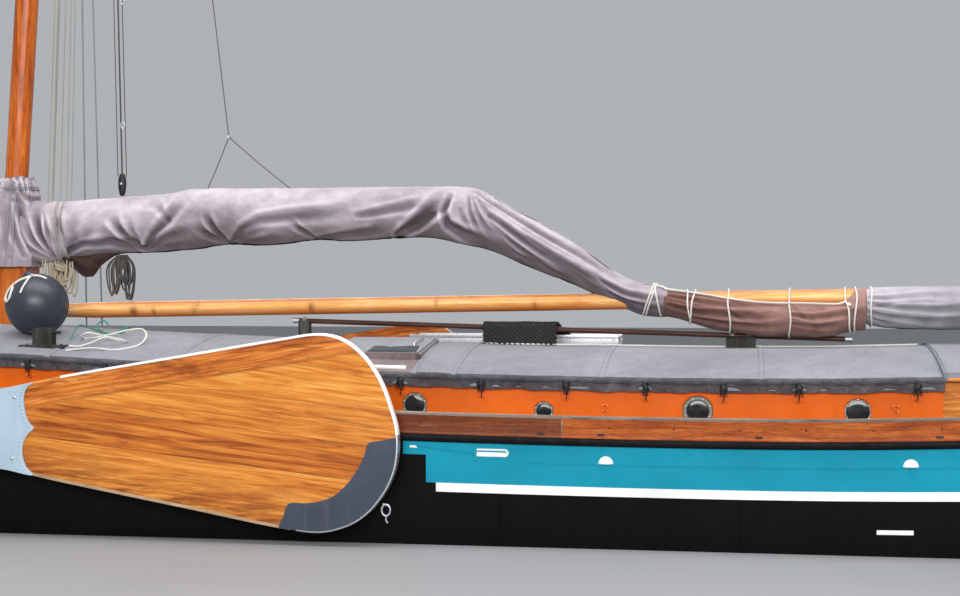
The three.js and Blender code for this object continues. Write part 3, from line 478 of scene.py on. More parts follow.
def cloth(name, light, mid, dark, stain=0.35, weave=220, source="Object", sheen=0.25):
    """Weathered canvas with a fine plain weave, faded areas and water stains."""
    look = Look(name, rough=0.88, Sheen_Weight=sheen, Sheen_Roughness=0.5)
    fade = look.noise(look.place((1, 1, 1), source=source), 0.9, 5, 0.62, 0.4)
    shade = look.ramp(fade, (0.3, dark), (0.5, mid), (0.72, light))
    tide = look.noise(look.place((1, 1, 1), source=source), 2.6, 7, 0.72, 1.1)
    edge = look.math("ABSOLUTE", look.minus(tide, 0.5))
    shade = look.mix(look.spread(edge, 0.0, 0.05, stain, 0), shade, [c * 0.55 for c in dark])
    grime = look.noise(look.place((1, 1, 1), source=source), 14, 5, 0.7)
    shade = look.mix(look.spread(grime, 0.5, 0.75, 0, stain * 0.8), shade, [c * 0.7 for c in mid])
    look.color(shade)
    look.weave(weave, 0.5, source)
    look.bump(look.noise(look.place(source=source), 9, 5, 0.6), 0.006, 0.35)
    look.rough(look.spread(grime, 0.3, 0.7, 0.82, 0.95))
    return look.material


def boom_look():
    """Bright spar: pale wood along the middle that also stands in for a painted highlight, redder on top,
    and darker below as painted shade, with the knots that its fold values mark."""
    look = Look("boom_timber", rough=0.22, Coat_Weight=0.7, Coat_Roughness=0.1)
    figure = look.noise(look.place((0.7, 9, 9)), 1.6, 6, 0.62, 1.4)
    shade = look.ramp(figure, (0.3, (0.66, 0.25, 0.05)), (0.5, (0.88, 0.47, 0.15)),
                      (0.68, (0.95, 0.62, 0.27)))
    x, y, z = look.split(look.place())
    rise = look.minus(z, look.plus(look.times(x, boom_z(1) - boom_z(0)), boom_z(0)))
    # Painted shade: darker towards the underside of the spar
    shade = look.mix(look.spread(rise, 0.005, -0.06, 0, 0.9), shade, (0.52, 0.12, 0.014))
    peel = look.noise(look.place((1.2, 6, 6)), 2.0, 5, 0.7)
    red = look.times(look.spread(rise, 0.025, 0.06, 0, 1), look.spread(peel, 0.35, 0.6, 0.35, 0.9))
    shade = look.mix(red, shade, (0.55, 0.17, 0.08))
    shade = look.mix(look.fold(), shade, (0.13, 0.028, 0.006))
    fibres = look.noise(look.place((5, 60, 60)), 3.0, 4, 0.7)
    shade = look.mix(look.spread(fibres, 0.35, 0.6, 0.3, 0), shade, (0.40, 0.12, 0.02))
    look.color(shade)
    look.rough(look.spread(look.noise(look.place(), 4, 3), 0.3, 0.7, 0.15, 0.32))
    look.bump(fibres, 0.0010, 0.4)
    return look.material


def draped(name, light, mid, dark, deep):
    """Weathered cover cloth: soft cloudy fading; the fold values paint shade in the deep colour into
    creases and shaded parts, and a paler painted highlight on the lips and tops.
    """
    look = Look(name, rough=0.85, Sheen_Weight=0.12, Sheen_Roughness=0.5)
    cloud = look.noise(look.place((0.8, 1, 1.2)), 1.6, 3, 0.5)
    blotch = look.noise(look.place((1, 1, 1.6), (0, 12, 0)), 6.5, 6, 0.66)
    shade = look.ramp(look.plus(look.times(cloud, 0.62), look.times(blotch, 0.38)), (0.40, dark),
                      (0.5, mid), (0.60, light))
    depth = look.fold()
    # Painted shade: positive fold values mix in the deep colour
    shade = look.mix(look.spread(depth, 0.08, 1.0, 0, 0.82), shade, deep)
    # Painted highlight: negative fold values mix in a paler colour
    shade = look.mix(look.spread(depth, -0.04, -0.5, 0, 0.55), shade, [min(1, c * 1.35) for c in light])
    grime = look.noise(look.place((1, 1, 1)), 22, 4, 0.7)
    shade = look.mix(look.spread(grime, 0.56, 0.78, 0, 0.35), shade, dark)
    look.color(shade)
    look.weave(240, 0.4)
    look.bump(look.noise(look.place((1, 1, 1)), 6, 4, 0.55), 0.008, 0.3)
    look.rough(look.spread(grime, 0.3, 0.7, 0.8, 0.93))
    return look.material


def rope(name, color, dark, lay=0.03):
    """Three-strand rope: u runs along it in metres and v once round it."""
    look = Look(name, rough=0.9, Sheen_Weight=0.2)
    u, v, _ = look.split(look.place(source="UV"))
    turn = look.plus(look.times(v, 3.0), look.math("DIVIDE", u, lay))
    strand = look.math("ABSOLUTE", look.math("SINE", look.times(turn, math.pi)))
    fuzz = look.noise(look.place(), 160, 3, 0.7)
    # Painted shade: the dark colour fills the grooves between the strands
    shade = look.mix(look.spread(strand, 0.0, 0.6), dark, color)
    shade = look.mix(look.spread(fuzz, 0.45, 0.7, 0, 0.35), shade, [c * 0.55 for c in color])
    grey = look.noise(look.place(), 3, 3)
    look.color(look.mix(look.spread(grey, 0.45, 0.7, 0, 0.3), shade, [c * 0.6 + 0.04 for c in dark]))
    look.bump(strand, 0.0025, 0.8)
    look.bump(fuzz, 0.0008, 0.5)
    return look.material


def steel(name, color, rough=0.4, metal=1.0, rust=0.25, scale=1.0):
    """Galvanised or bare metal with spangle, scratches and a little rust in the corners."""
    look = Look(name, rough=rough, metal=metal)
    spangle = look.cells(look.place([scale] * 3), 60)
    shade = look.mix(look.spread(spangle, 0.0, 0.6), [c * 0.8 for c in color],
                     [min(1, c * 1.12) for c in color])
    blotch = look.noise(look.place([scale] * 3), 5, 6, 0.7)
    shade = look.mix(look.spread(blotch, 0.58, 0.78, 0, rust), shade, (0.16, 0.07, 0.03))
    look.color(shade)
    scratch = look.noise(look.place([scale, scale * 12, scale * 12]), 12, 4, 0.7)
    look.rough(look.spread(scratch, 0.3, 0.7, rough * 0.75, rough * 1.4))
    look.bump(scratch, 0.0006, 0.4)
    look.bump(blotch, 0.0015, 0.3)
    return look.material


def rubber(name, color, rough=0.5, scuff=(0.18, 0.18, 0.19)):
    """Scuffed rubber with pale rub marks."""
    look = Look(name, rough=rough, Specular_IOR_Level=0.45)
    rub = look.noise(look.place((1, 1, 1)), 5.5, 7, 0.75, 0.8)
    shade = look.mix(look.spread(rub, 0.5, 0.78, 0, 0.4), color, scuff)
    look.color(shade)
    look.rough(look.spread(rub, 0.3, 0.7, rough * 0.8, rough * 1.4))
    look.bump(look.noise(look.place(), 180, 2), 0.0005, 0.5)
    look.bump(rub, 0.002, 0.25)
    return look.material


def glass(name, color):
    """Dark window glass with a film of dust."""
    look = Look(name, rough=0.06, Specular_IOR_Level=0.7)
    dust = look.noise(look.place(), 12, 5, 0.7)
    look.color(look.mix(look.spread(dust, 0.45, 0.75, 0, 0.3), color, [c * 2.5 + 0.03 for c in color]))
    look.rough(look.spread(dust, 0.35, 0.75, 0.04, 0.2))
    look.bump(look.noise(look.place(), 3, 1), 0.002, 0.2)
    return look.material


class Shape:
    """Gathers faces of several materials into one piece."""

    def __init__(self):
        self.verts = []
        self.faces = []
        self.marks = []
        self.uvs = []

    def put(self, verts, faces, mark=0, uvs=None):
        base = len(self.verts)
        self.verts += [tuple(v) for v in verts]
        for i, face in enumerate(faces):
            self.faces.append([base + k for k in face])
            self.marks.append(mark)
            self.uvs.append(uvs[i] if uvs else None)

    def rings(self, rings, mark=0, closed=True, caps=False, loop=False, uv_from=None):
        """Faces between rings of equal length; closed joins each ring's ends, loop the last ring
        to the first."""
        n = len(rings[0])
        verts = [p for ring in rings for p in ring]
        run = [0.0]
        for a, b in zip(rings, rings[1:]):
            run.append(run[-1] + (Vector(a[0]) - Vector(b[0])).length)
        faces, uvs = [], []
        rows = len(rings) if loop else len(rings) - 1
        for i in range(rows):
            for j in range(n if closed else n - 1):
                k = (j + 1) % n
                i2 = (i + 1) % len(rings)
                faces.append((i * n + j, i2 * n + j, i2 * n + k, i * n + k))
                u0, u1 = run[i], run[i + 1] if i + 1 < len(run) else run[i] + 0.01
                v0, v1 = j / n, (j + 1) / n
                uvs.append(((u0, v0), (u1, v0), (u1, v1), (u0, v1)))
        if caps:
            faces.append(tuple(range(n))[::-1])
            faces.append(tuple((len(rings) - 1) * n + j for j in range(n)))
            uvs += [None, None]
        self.put(verts, faces, mark, uvs)

    def tube(self, points, radius, sides=8, mark=0, closed=False, caps=True):
        """Round bar or rope along points; radius is one number or one for each point."""
        pts = [Vector(p) for p in points]
        radii = radius if hasattr(radius, "__len__") else [radius] * len(pts)
        normal = None
        rings = []
        for i, p in enumerate(pts):
            ahead = pts[(i + 1) % len(pts)] if closed or i + 1 < len(pts) else p
            behind = pts[i - 1] if closed or i > 0 else p
            tangent = (ahead - behind).normalized()
            if normal is None:
                normal = tangent.orthogonal().normalized()
            normal = (normal - tangent * normal.dot(tangent)).normalized()
            other = tangent.cross(normal)
            rings.append([
                p + (normal * math.cos(a) + other * math.sin(a)) * radii[i]
                for a in angles(sides)
            ])
        self.rings(rings, mark, caps=caps and not closed, loop=closed)

    def lathe(self, profile, at, axis=(0, 0, 1), sides=24, mark=0):
        """Profile of (radius, height) turned about an axis through at."""
        axis = Vector(axis).normalized()
        side = axis.orthogonal().normalized()
        other = axis.cross(side)
        at = Vector(at)
        rings = []
        for radius, height in profile:
            radius = max(radius, 1e-5)
            rings.append([
                at + axis * height + (side * math.cos(a) + other * math.sin(a)) * radius
                for a in angles(sides)
            ])
        self.rings(rings, mark, caps=True)

    def block(self, low, high, bevel=0.004, mark=0, matrix=None):
        """Box with rounded edges."""
        made = bmesh.new()
        bmesh.ops.create_cube(made, size=1)
        size = [b - a for a, b in zip(low, high)]
        mid = [(a + b) / 2 for a, b in zip(low, high)]
        bmesh.ops.scale(made, vec=size, verts=made.verts)
        bmesh.ops.translate(made, vec=mid, verts=made.verts)
        if bevel:
            bevel = min(bevel, min(size) * 0.45)
            bmesh.ops.bevel(made, geom=made.edges[:], offset=bevel, segments=2, profile=0.7, affect="EDGES")
        self.take(made, mark, matrix)

    def slab(self, outline, frame, depth, bevel=0.003, mark=0):
        """Flat plate: outline of (a, b) points placed by frame (origin, a axis, b axis),
        thickened along a × b."""
        origin, axis_a, axis_b = (Vector(v) for v in frame)
        deep = axis_a.cross(axis_b).normalized() * depth
        made = bmesh.new()
        ring = [made.verts.new(origin + axis_a * a + axis_b * b) for a, b in outline]
        face = made.faces.new(ring)
        extruded = bmesh.ops.extrude_face_region(made, geom=[face])
        moved = [g for g in extruded["geom"] if isinstance(g, bmesh.types.BMVert)]
        bmesh.ops.translate(made, vec=deep, verts=moved)
        bmesh.ops.recalc_face_normals(made, faces=made.faces[:])
        if bevel:
            rims = [e for e in made.edges if len(e.link_faces) == 2
                    and e.calc_face_angle() > math.radians(60)]
            rims = [e for e in rims if any(len(f.verts) > 4 for f in e.link_faces)]
            bmesh.ops.bevel(made, geom=rims, offset=bevel, segments=2, profile=0.7, affect="EDGES")
        self.take(made, mark)

    def take(self, made, mark=0, matrix=None):
        if matrix is not None:
            bmesh.ops.transform(made, matrix=matrix, verts=made.verts)
        made.verts.index_update()
        self.put([v.co for v in made.verts], [[v.index for v in f.verts] for f in made.faces], mark)
        made.free()

    def piece(self, name, body, looks, stands_for=(), sharp=35):
        looks = looks if isinstance(looks, (list, tuple)) else [looks]
        mesh = bpy.data.meshes.new(name)
        mesh.from_pydata(self.verts, [], self.faces)
        layer = mesh.uv_layers.new(name="along")
        for polygon, mark, uv in zip(mesh.polygons, self.marks, self.uvs):
            polygon.material_index = mark
            for k, corner in enumerate(polygon.loop_indices):
                layer.data[corner].uv = uv[k] if uv else (self.verts[self.faces[polygon.index][k]][0], 0.5)
        for look in looks:
            mesh.materials.append(look)
        made = bmesh.new()
        made.from_mesh(mesh)
        bmesh.ops.recalc_face_normals(made, faces=made.faces[:])
        made.to_mesh(mesh)
        made.free()
        mesh.shade_smooth()
        mesh.set_sharp_from_angle(angle=math.radians(sharp))
        thing = bpy.data.objects.new(name, mesh)
        bpy.context.scene.collection.objects.link(thing)
        if body:
            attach(thing, body)
        if stands_for:
            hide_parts(*stands_for)
        return thing


make_stage()

# Materials
ORANGE = paint("orange_enamel", (0.72, 0.125, 0.008), rough=0.34, coat=0.35, dirt=0.2,
               dirt_color=(0.2, 0.05, 0.01))
BLACK = paint("black_tar", (0.0035, 0.0035, 0.004), rough=0.45, coat=0.1, dirt=0.1,
              dirt_color=(0.03, 0.03, 0.034), shine=0.06)
STRAKE = paint("black_strake", (0.005, 0.005, 0.006), rough=0.5, coat=0.05, dirt=0.15,
               dirt_color=(0.06, 0.05, 0.045), shine=0.08)
TURQUOISE = paint("turquoise_enamel", (0.004, 0.27, 0.385), rough=0.36, coat=0.3, dirt=0.16,
                  dirt_color=(0.01, 0.13, 0.19))
WHITE = paint("white_enamel", (0.86, 0.87, 0.87), rough=0.35, coat=0.2, dirt=0.2,
              dirt_color=(0.4, 0.4, 0.38))
DECK = paint("deck_paint", (0.20, 0.23, 0.24), rough=0.72, coat=0.0, dirt=0.4, rust=0.25, dents=0.002)
PLATE = paint("pale_plate", (0.383, 0.51, 0.595), rough=0.4, coat=0.1, dirt=0.25,
              dirt_color=(0.17, 0.212, 0.238))
SHOE = paint("shoe_plate", (0.055, 0.066, 0.092), rough=0.42, coat=0.1, dirt=0.4,
             dirt_color=(0.14, 0.15, 0.17))
ENGINE = paint("engine_green", (0.04, 0.13, 0.06), rough=0.4, coat=0.2, dirt=0.6)
SPAR = wood("spar_timber", (0.82, 0.36, 0.09), (0.62, 0.2, 0.035), (0.36, 0.09, 0.02), coat=0.7, rough=0.22)
BOOM = boom_look()
MAST = wood("mast_timber", (0.78, 0.24, 0.035), (0.52, 0.11, 0.014), (0.16, 0.03, 0.008), along="z",
            coat=0.7, rough=0.22)
DARK_WOOD = wood("dark_timber", (0.128, 0.056, 0.04), (0.072, 0.028, 0.02), (0.024, 0.0096, 0.008),
                 coat=0.3, rough=0.4)
PLAIN_WOOD = wood("plain_timber", (0.55, 0.4, 0.25), (0.42, 0.29, 0.17), (0.25, 0.16, 0.09), coat=0.1,
                  rough=0.55)
POST_WOOD = wood("post_timber", (0.085, 0.082, 0.068), (0.045, 0.043, 0.036), (0.015, 0.015, 0.013),
                 along="z", coat=0.0, rough=0.7)
WORN_WOOD = wood("worn_timber", (0.33, 0.28, 0.24), (0.21, 0.17, 0.14), (0.10, 0.08, 0.065), coat=0.0,
                 rough=0.7)
CANVAS = cloth("roof_tarpaulin", (0.285, 0.291, 0.322), (0.236, 0.242, 0.267), (0.18, 0.186, 0.208),
               stain=0.22, sheen=0.1)
CANVAS_PINK = cloth("hatch_tarpaulin", (0.28, 0.217, 0.217), (0.217, 0.168, 0.168), (0.14, 0.108, 0.112),
                    stain=0.3, sheen=0.1)
CANVAS_EDGE = cloth("rolled_edge", (0.11, 0.113, 0.124), (0.0715, 0.0743, 0.0825), (0.033, 0.0341, 0.0385),
                    stain=0.5, sheen=0.1)
CANVAS_FLAP = cloth("hanging_flap", (0.15, 0.13, 0.14), (0.085, 0.075, 0.08), (0.04, 0.034, 0.038),
                    stain=0.5, sheen=0.05)
# The last colour of each draped cloth is painted shade for its creases and shaded parts
COVER = draped("sail_cover_cloth", (0.515, 0.469, 0.505), (0.397, 0.35, 0.381), (0.288, 0.247, 0.27),
               (0.0566, 0.0433, 0.0515))
COVER_AFT = draped("aft_cover_cloth", (0.42, 0.403, 0.437), (0.336, 0.319, 0.353), (0.244, 0.231, 0.252),
                   (0.0672, 0.0588, 0.0672))
SAIL = draped("brown_sailcloth", (0.317, 0.182, 0.155), (0.223, 0.121, 0.101), (0.142, 0.0702, 0.0567),
              (0.027, 0.0135, 0.0108))
# Darker copy of the brown sail: painted shade on the sail under the fore cover's mouth
SAIL_PAINTED_SHADE = draped("brown_sail_painted_shade", (0.10, 0.06, 0.05), (0.06, 0.034, 0.028), (0.03, 0.016, 0.013),
                   (0.008, 0.005, 0.004))
# Dark cloth: painted shade on the covers' undersides, and the dark seam along the fore cover's crest
SEAM_AND_UNDERSIDE_SHADE = cloth("cover_seam_and_underside_shade", (0.06, 0.05, 0.05), (0.035, 0.028, 0.028), (0.015, 0.012, 0.012), stain=0.3,
               sheen=0.0)
# Each rope's second colour is painted shade in the grooves between its strands
WHITE_ROPE = rope("white_rope", (0.78, 0.76, 0.70), (0.40, 0.37, 0.32))
TAN_ROPE = rope("tan_rope", (0.50, 0.42, 0.30), (0.22, 0.17, 0.11))
GREEN_ROPE = rope("green_rope", (0.03, 0.26, 0.17), (0.01, 0.10, 0.07))
BROWN_ROPE = rope("brown_rope", (0.13, 0.105, 0.08), (0.045, 0.036, 0.028))
HALYARD = rope("grey_halyard", (0.36, 0.355, 0.30), (0.16, 0.155, 0.13))
DARK_LINE = rope("dark_line", (0.085, 0.078, 0.07), (0.035, 0.032, 0.028))
WIRE = rope("wire_rope", (0.34, 0.35, 0.36), (0.12, 0.12, 0.125), lay=0.06)
GALVANISED = steel("galvanised", (0.50, 0.52, 0.54), rough=0.45, rust=0.35)
BRONZE = steel("bronze", (0.55, 0.36, 0.14), rough=0.35, rust=0.2)
ALUMINIUM = steel("aluminium", (0.62, 0.63, 0.65), rough=0.38, rust=0.0)
IRON = steel("black_iron", (0.025, 0.025, 0.028), rough=0.5, metal=0.6, rust=0.4)
RING = steel("porthole_ring", (0.19, 0.185, 0.16), rough=0.5, metal=0.4, rust=0.15)
BRASS = steel("window_brass", (0.62, 0.43, 0.17), rough=0.32, rust=0.1)
RUBBER = rubber("fender_rubber", (0.0304, 0.037, 0.0515), rough=0.34, scuff=(0.066, 0.0759, 0.099))
MAT_RUBBER = rubber("mat_rubber", (0.008, 0.008, 0.01), rough=0.7, scuff=(0.05, 0.05, 0.055))
LID_PAD = rubber("hatch_pad", (0.035, 0.042, 0.042), rough=0.75, scuff=(0.09, 0.1, 0.1))
GLASS = glass("porthole_glass", (0.012, 0.016, 0.018))


def repaint(name, look):
    """Gives a CAD node its material."""
    mesh = NODES[name].data
    mesh.materials.clear()
    mesh.materials.append(look)


# Mooring lines in bights on the roof
LINES = [
    {
        "name": "line_white", "r": 0.008, "lift": 0.0088, "look": WHITE_ROPE, "slot": "white_rope",
        "points": [
            (-2.69, -1.06, 0), (-2.6, -1.06, 0), (-2.5, -1.04, 0.03), (-2.38, -1.0, 0.075),
            (-2.27, -0.94, 0.05), (-2.24, -0.86, 0.01),
            (-2.3, -0.8, 0), (-2.42, -0.8, 0.02), (-2.5, -0.86, 0.06), (-2.58, -0.92, 0.085),
            (-2.66, -0.88, 0.04), (-2.66, -0.78, 0),
            (-2.58, -0.7, 0), (-2.46, -0.67, 0.03), (-2.32, -0.67, 0.07), (-2.16, -0.7, 0.095),
            (-2.08, -0.8, 0.06), (-2.09, -0.92, 0.01),
            (-2.16, -1.03, 0), (-2.27, -1.11, 0), (-2.42, -1.17, 0.025), (-2.58, -1.19, 0.01),
            (-2.66, -1.2, 0),
        ],
    },
    {
        "name": "line_green", "r": 0.007, "lift": 0.0069, "look": GREEN_ROPE, "slot": "green_rope",
        "points": [
            (-2.75, -0.93, 0), (-2.76, -0.82, 0.05), (-2.76, -0.68, 0.10), (-2.72, -0.56, 0.06),
            (-2.62, -0.47, 0.01), (-2.49, -0.45, 0),
            (-2.38, -0.49, 0.05), (-2.34, -0.57, 0.09), (-2.4, -0.62, 0.06), (-2.5, -0.6, 0.02),
            (-2.6, -0.6, 0.05), (-2.65, -0.54, 0.09),
            (-2.6, -0.5, 0.12), (-2.54, -0.53, 0.08),
        ],
    },
]


def make_lines():
    for line in LINES:
        route = catmull([(x, y, roof_top(x, y) + line["lift"] + rise) for x, y, rise in line["points"]], 10)
        shape = Shape()
        shape.tube(route, line["r"], 10)
        made = shape.piece(f"{line['name']}_rope", "barge", line["look"], [line["name"]])


make_lines()


# Hull shell, painted bands and rails
def make_hull():
    shape = Shape()
    stations = ends_spaced(150)
    levels = [0.0, 0.03, 0.06, 0.12, 0.18, 0.28, 0.38, 0.5, 0.62, 0.75, 0.88, 1.0, 1.12, 1.25, SIDE_TOP]
    for side in SIDES.values():
        outer = [[hull_at(s, z) for z in levels] for s in stations]
        outer = [[(x, side * y, z) for x, y, z in row] for row in outer]
        shape.rings(outer, 0, closed=False)
        inner = []
        for row in outer:
            inner.append([(x * 0.995, side * max(abs(y) - HULL_WALL, 0.0), max(z, HULL_WALL)) for x, y,
                          z in row])
        shape.rings(inner, 1, closed=False)
        shape.rings([[a[-1], b[-1]] for a, b in zip(outer, inner)], 0, closed=False)
        shape.rings([[a[0], (a[0][0], 0, 0)] for a in outer], 0, closed=False)
    # Upright laps of the plating
    for side in SIDES.values():
        for s in (-7.6, -5.9, -4.2, -2.4, -0.55, 1.28, 3.15, 5.0, 6.9, 8.2):
            lap = []
            for z in [0.3 + 0.02 * k for k in range(33)]:
                lap.append([hull_out(s + ds, z, out, side) for ds,
                            out in ((-0.03, -0.001), (-0.026, 0.003), (0.03, 0.003), (0.032, -0.001))])
            shape.rings(lap, 0, closed=False)
    shape.piece("hull_shell", "barge", [BLACK, DECK], ["hull"], sharp=50)


# Painted bands, from and to along the hull: low and high edge under the sheer, how far it stands out
BANDS = [
    ("turquoise_band", TURQUOISE, "hull_paint", 1.035, 1.352, 0.0030, 0.68, 8.96),
    ("white_line", WHITE, "pale_paint", 0.965, 1.035, 0.0034, 0.76, 8.9),
    ("turquoise_bow", TURQUOISE, "hull_paint", 1.035, 1.352, 0.0030, -8.98, -4.1),
    ("white_bow_line", WHITE, "pale_paint", 0.965, 1.035, 0.0034, -8.94, -4.2),
]


def make_bands():
    for name, look, slot, low, high, out, start, end in BANDS:
        shape = Shape()
        for side in SIDES.values():
            count = max(8, int((end - start) / 0.06))
            ring = []
            for i in range(count + 1):
                s = start + (end - start) * i / count
                row = []
                steps = 10 if high - low > 0.2 else 3
                levels = [low + (high - low) * k / steps for k in range(steps + 1)]
                row.append(hull_out(s, low, -0.002, side))
                row += [hull_out(s, z, out, side) for z in levels]
                row.append(hull_out(s, high, -0.002, side))
                ring.append(row)
            shape.rings(ring, 0, closed=False)
            for edge in (ring[0], ring[-1]):
                back = [Vector((p.x, p.y - side * 0.006, p.z)) for p in edge]
                shape.rings([edge, back], 0, closed=False)
            # The upper strake of the band starts a little further forward
            if start > 0 and high - low > 0.2:
                step = []
                for i in range(5):
                    s = start - 0.185 + 0.19 * i / 4
                    step.append([hull_out(s, z, out * 0.9, side) for z in (1.25, 1.27, 1.3, 1.33, 1.352)])
                shape.rings(step, 0, closed=False)
        shape.piece(name, "barge", look, ())


def make_ridges():
    """Plate seam along the after band, and the bar and hinge forward of it."""
    shape = Shape()
    for side in SIDES.values():
        rows = []
        for i in range(125):
            s = 1.5 + 7.4 * i / 124
            rows.append([hull_out(s, z, out, side) for z,
                         out in ((1.208, 0.002), (1.2095, 0.0075), (1.2155, 0.0075), (1.217, 0.002))])
        shape.rings(rows, 0, closed=False)
        bar = [hull_out(s, 1.318 - 0.10 * (s - 0.6), 0.006, side) for s in (0.6, 0.7, 0.8, 0.9, 1.0, 1.06)]
        shape.tube(bar, 0.0055, 8, 0)
        y = hull_at(1.075, 1.3)[1]
        lift = sheer_line(1.075)
        y0, y1 = sorted((side * (y - 0.002), side * (y + 0.012)))
        shape.block((1.063, y0, 1.215 + lift), (1.089, y1, 1.345 + lift), 0.003, 0)
    shape.piece("band_ridges", "barge", [TURQUOISE], (), sharp=40)


def make_hull_fittings():
    """Fairleads, half-round vents and painted marks along both sides."""
    shape = Shape()
    for side in SIDES.values():
        for x0, x1, z in ((1.075, 1.335, 1.28), (-5.2, -4.94, 1.28)):
            oval = []
            for k in range(28):
                a = 2 * math.pi * k / 28
                cx = (x1 - x0) / 2 - 0.024
                oval.append(((x0 + x1) / 2 + math.copysign(cx, math.cos(a)) + 0.024 * math.cos(a),
                             z + 0.024 * math.sin(a)))
            ring = [Vector((x, side * (hull_at(x, 1.25)[1] + 0.004), zz + sheer_line(x) * 0.95)) for x,
                    zz in oval]
            shape.tube(ring, 0.0085, 8, 0, closed=True)
            inner = [Vector((x + ((x0 + x1) / 2 - x) * 0.04, p.y,
                             z + (p.z - sheer_line(x) * 0.95 - z) * 0.9 + sheer_line(x) * 0.95))
                     for (x, _), p in zip(oval, ring)]
            shape.put(inner, [tuple(range(28))], 0)
        for x, z in ((2.104, 1.24), (4.403, 1.24), (-5.9, 1.24), (6.7, 1.24)):
            y = hull_at(x, 1.25)[1] + 0.003
            lift = sheer_line(x) * 0.95
            rings = []
            for k in range(9):
                t = k / 8 * math.pi / 2
                rings.append([
                    Vector((x + 0.052 * math.cos(t) * math.cos(a), side * (y + 0.035 * math.sin(t)),
                            z - 0.02 + lift + 0.052 * math.cos(t) * math.sin(a)))
                    for a in (math.pi * j / 14 for j in range(15))
                ])
            shape.rings(rings, 0, closed=False)
            shape.tube(rings[0], 0.006, 6, 0)
            shape.tube([rings[0][0], (x, side * (y + 0.012), z - 0.02 + lift), rings[0][-1]], 0.006, 6, 0)
        for x0, x1, z, tall in ((4.154, 4.425, 0.73, 0.035), (0.55, 0.61, 1.31, 0.02),
                                (-6.6, -6.35, 0.78, 0.035)):
            row = []
            for i in range(7):
                x = x0 + (x1 - x0) * i / 6
                row.append([hull_out(x, z - tall / 2, 0.002, side),
                            hull_out(x, z - tall / 2 + 0.004, 0.006, side),
                            hull_out(x, z + tall / 2 - 0.004, 0.006, side),
                            hull_out(x, z + tall / 2, 0.002, side)])
            shape.rings(row, 0, closed=False)
    shape.piece("hull_fittings", "barge", [WHITE, BLACK], (), sharp=40)


# The rail's timber changes colour at this joint
COLOUR_JOINT = 1.76
RAIL_JOINTS = [-7.4, -4.6, -1.9, COLOUR_JOINT, 5.42, 8.1]
SCUPPERS = (-6.2, -3.6, 1.594, 2.068, 3.273, 4.612, 6.2)
# Sections along the deck's edge: how far out, height
RAIL_SECTION = [
    (-0.052, 1.411), (-0.052, 1.576), (-0.045, 1.583), (-0.006, 1.586), (0.004, 1.582), (0.008, 1.57),
    (0.006, 1.55), (0.0045, 1.5), (0.0045, 1.45), (0.007, 1.43), (0.011, 1.425), (0.012, 1.415),
    (0.008, 1.411),
]
WORN_SECTION = [(0.004, 1.562), (0.0095, 1.5635), (0.0095, 1.581), (-0.002, 1.5885)]
STRAKE_SECTION = [
    (-0.004, 1.357), (0.026, 1.357), (0.033, 1.362), (0.036, 1.37), (0.036, 1.394), (0.033, 1.402),
    (0.026, 1.408), (-0.004, 1.409),
]


def rail_look(side):
    """Rail timber: darker forward of the joint, redder aft, with a worn grey top edge and a pale
    lower line."""
    look = Look(f"rail_boards_{side}", rough=0.42, Coat_Weight=0.3, Coat_Roughness=0.2)
    where = look.place((0.6, 9, 9))
    figure = look.noise(where, 1.7, 7, 0.65, 1.2)
    fore = look.ramp(figure, (0.3, (0.09, 0.024, 0.010)), (0.5, (0.19, 0.045, 0.013)),
                     (0.68, (0.30, 0.085, 0.022)))
    aft = look.ramp(figure, (0.3, (0.21, 0.036, 0.006)), (0.5, (0.42, 0.085, 0.011)),
                    (0.68, (0.60, 0.17, 0.03)))
    x, y, z = look.split(look.place())
    shade = look.mix(look.spread(x, 1.755, 1.765), fore, aft)
    fibres = look.noise(look.place((5, 70, 70)), 3.0, 4, 0.7)
    shade = look.mix(look.spread(fibres, 0.4, 0.62, 0.45, 0), shade, (0.03, 0.01, 0.006))
    worn = look.noise(look.place((1.3, 6, 14)), 2.6, 6, 0.75)
    shade = look.mix(look.spread(worn, 0.61, 0.7, 0, 0.45), shade, (0.30, 0.24, 0.20))
    scuff = look.noise(look.place((4, 4, 60)), 1.1, 5, 0.8)
    shade = look.mix(look.spread(scuff, 0.66, 0.74, 0, 0.3), shade, (0.50, 0.36, 0.24))
    look.color(shade)
    look.rough(look.spread(worn, 0.4, 0.65, 0.3, 0.75))
    look.bump(fibres, 0.0015, 0.6)
    look.bump(worn, 0.003, 0.3)
    return look.material


def deck_edge(s):
    """The hull's upper edge at station s: x, half width and the level direction outwards."""
    x, y, _ = hull_at(s, SIDE_TOP)
    a, b = hull_at(s - 0.02, SIDE_TOP), hull_at(s + 0.02, SIDE_TOP)
    along = Vector((b[0] - a[0], b[1] - a[1], 0)).normalized()
    out = Vector((-along.y, along.x, 0))
    if out.y < 0:
        out.negate()
    return x, y, out


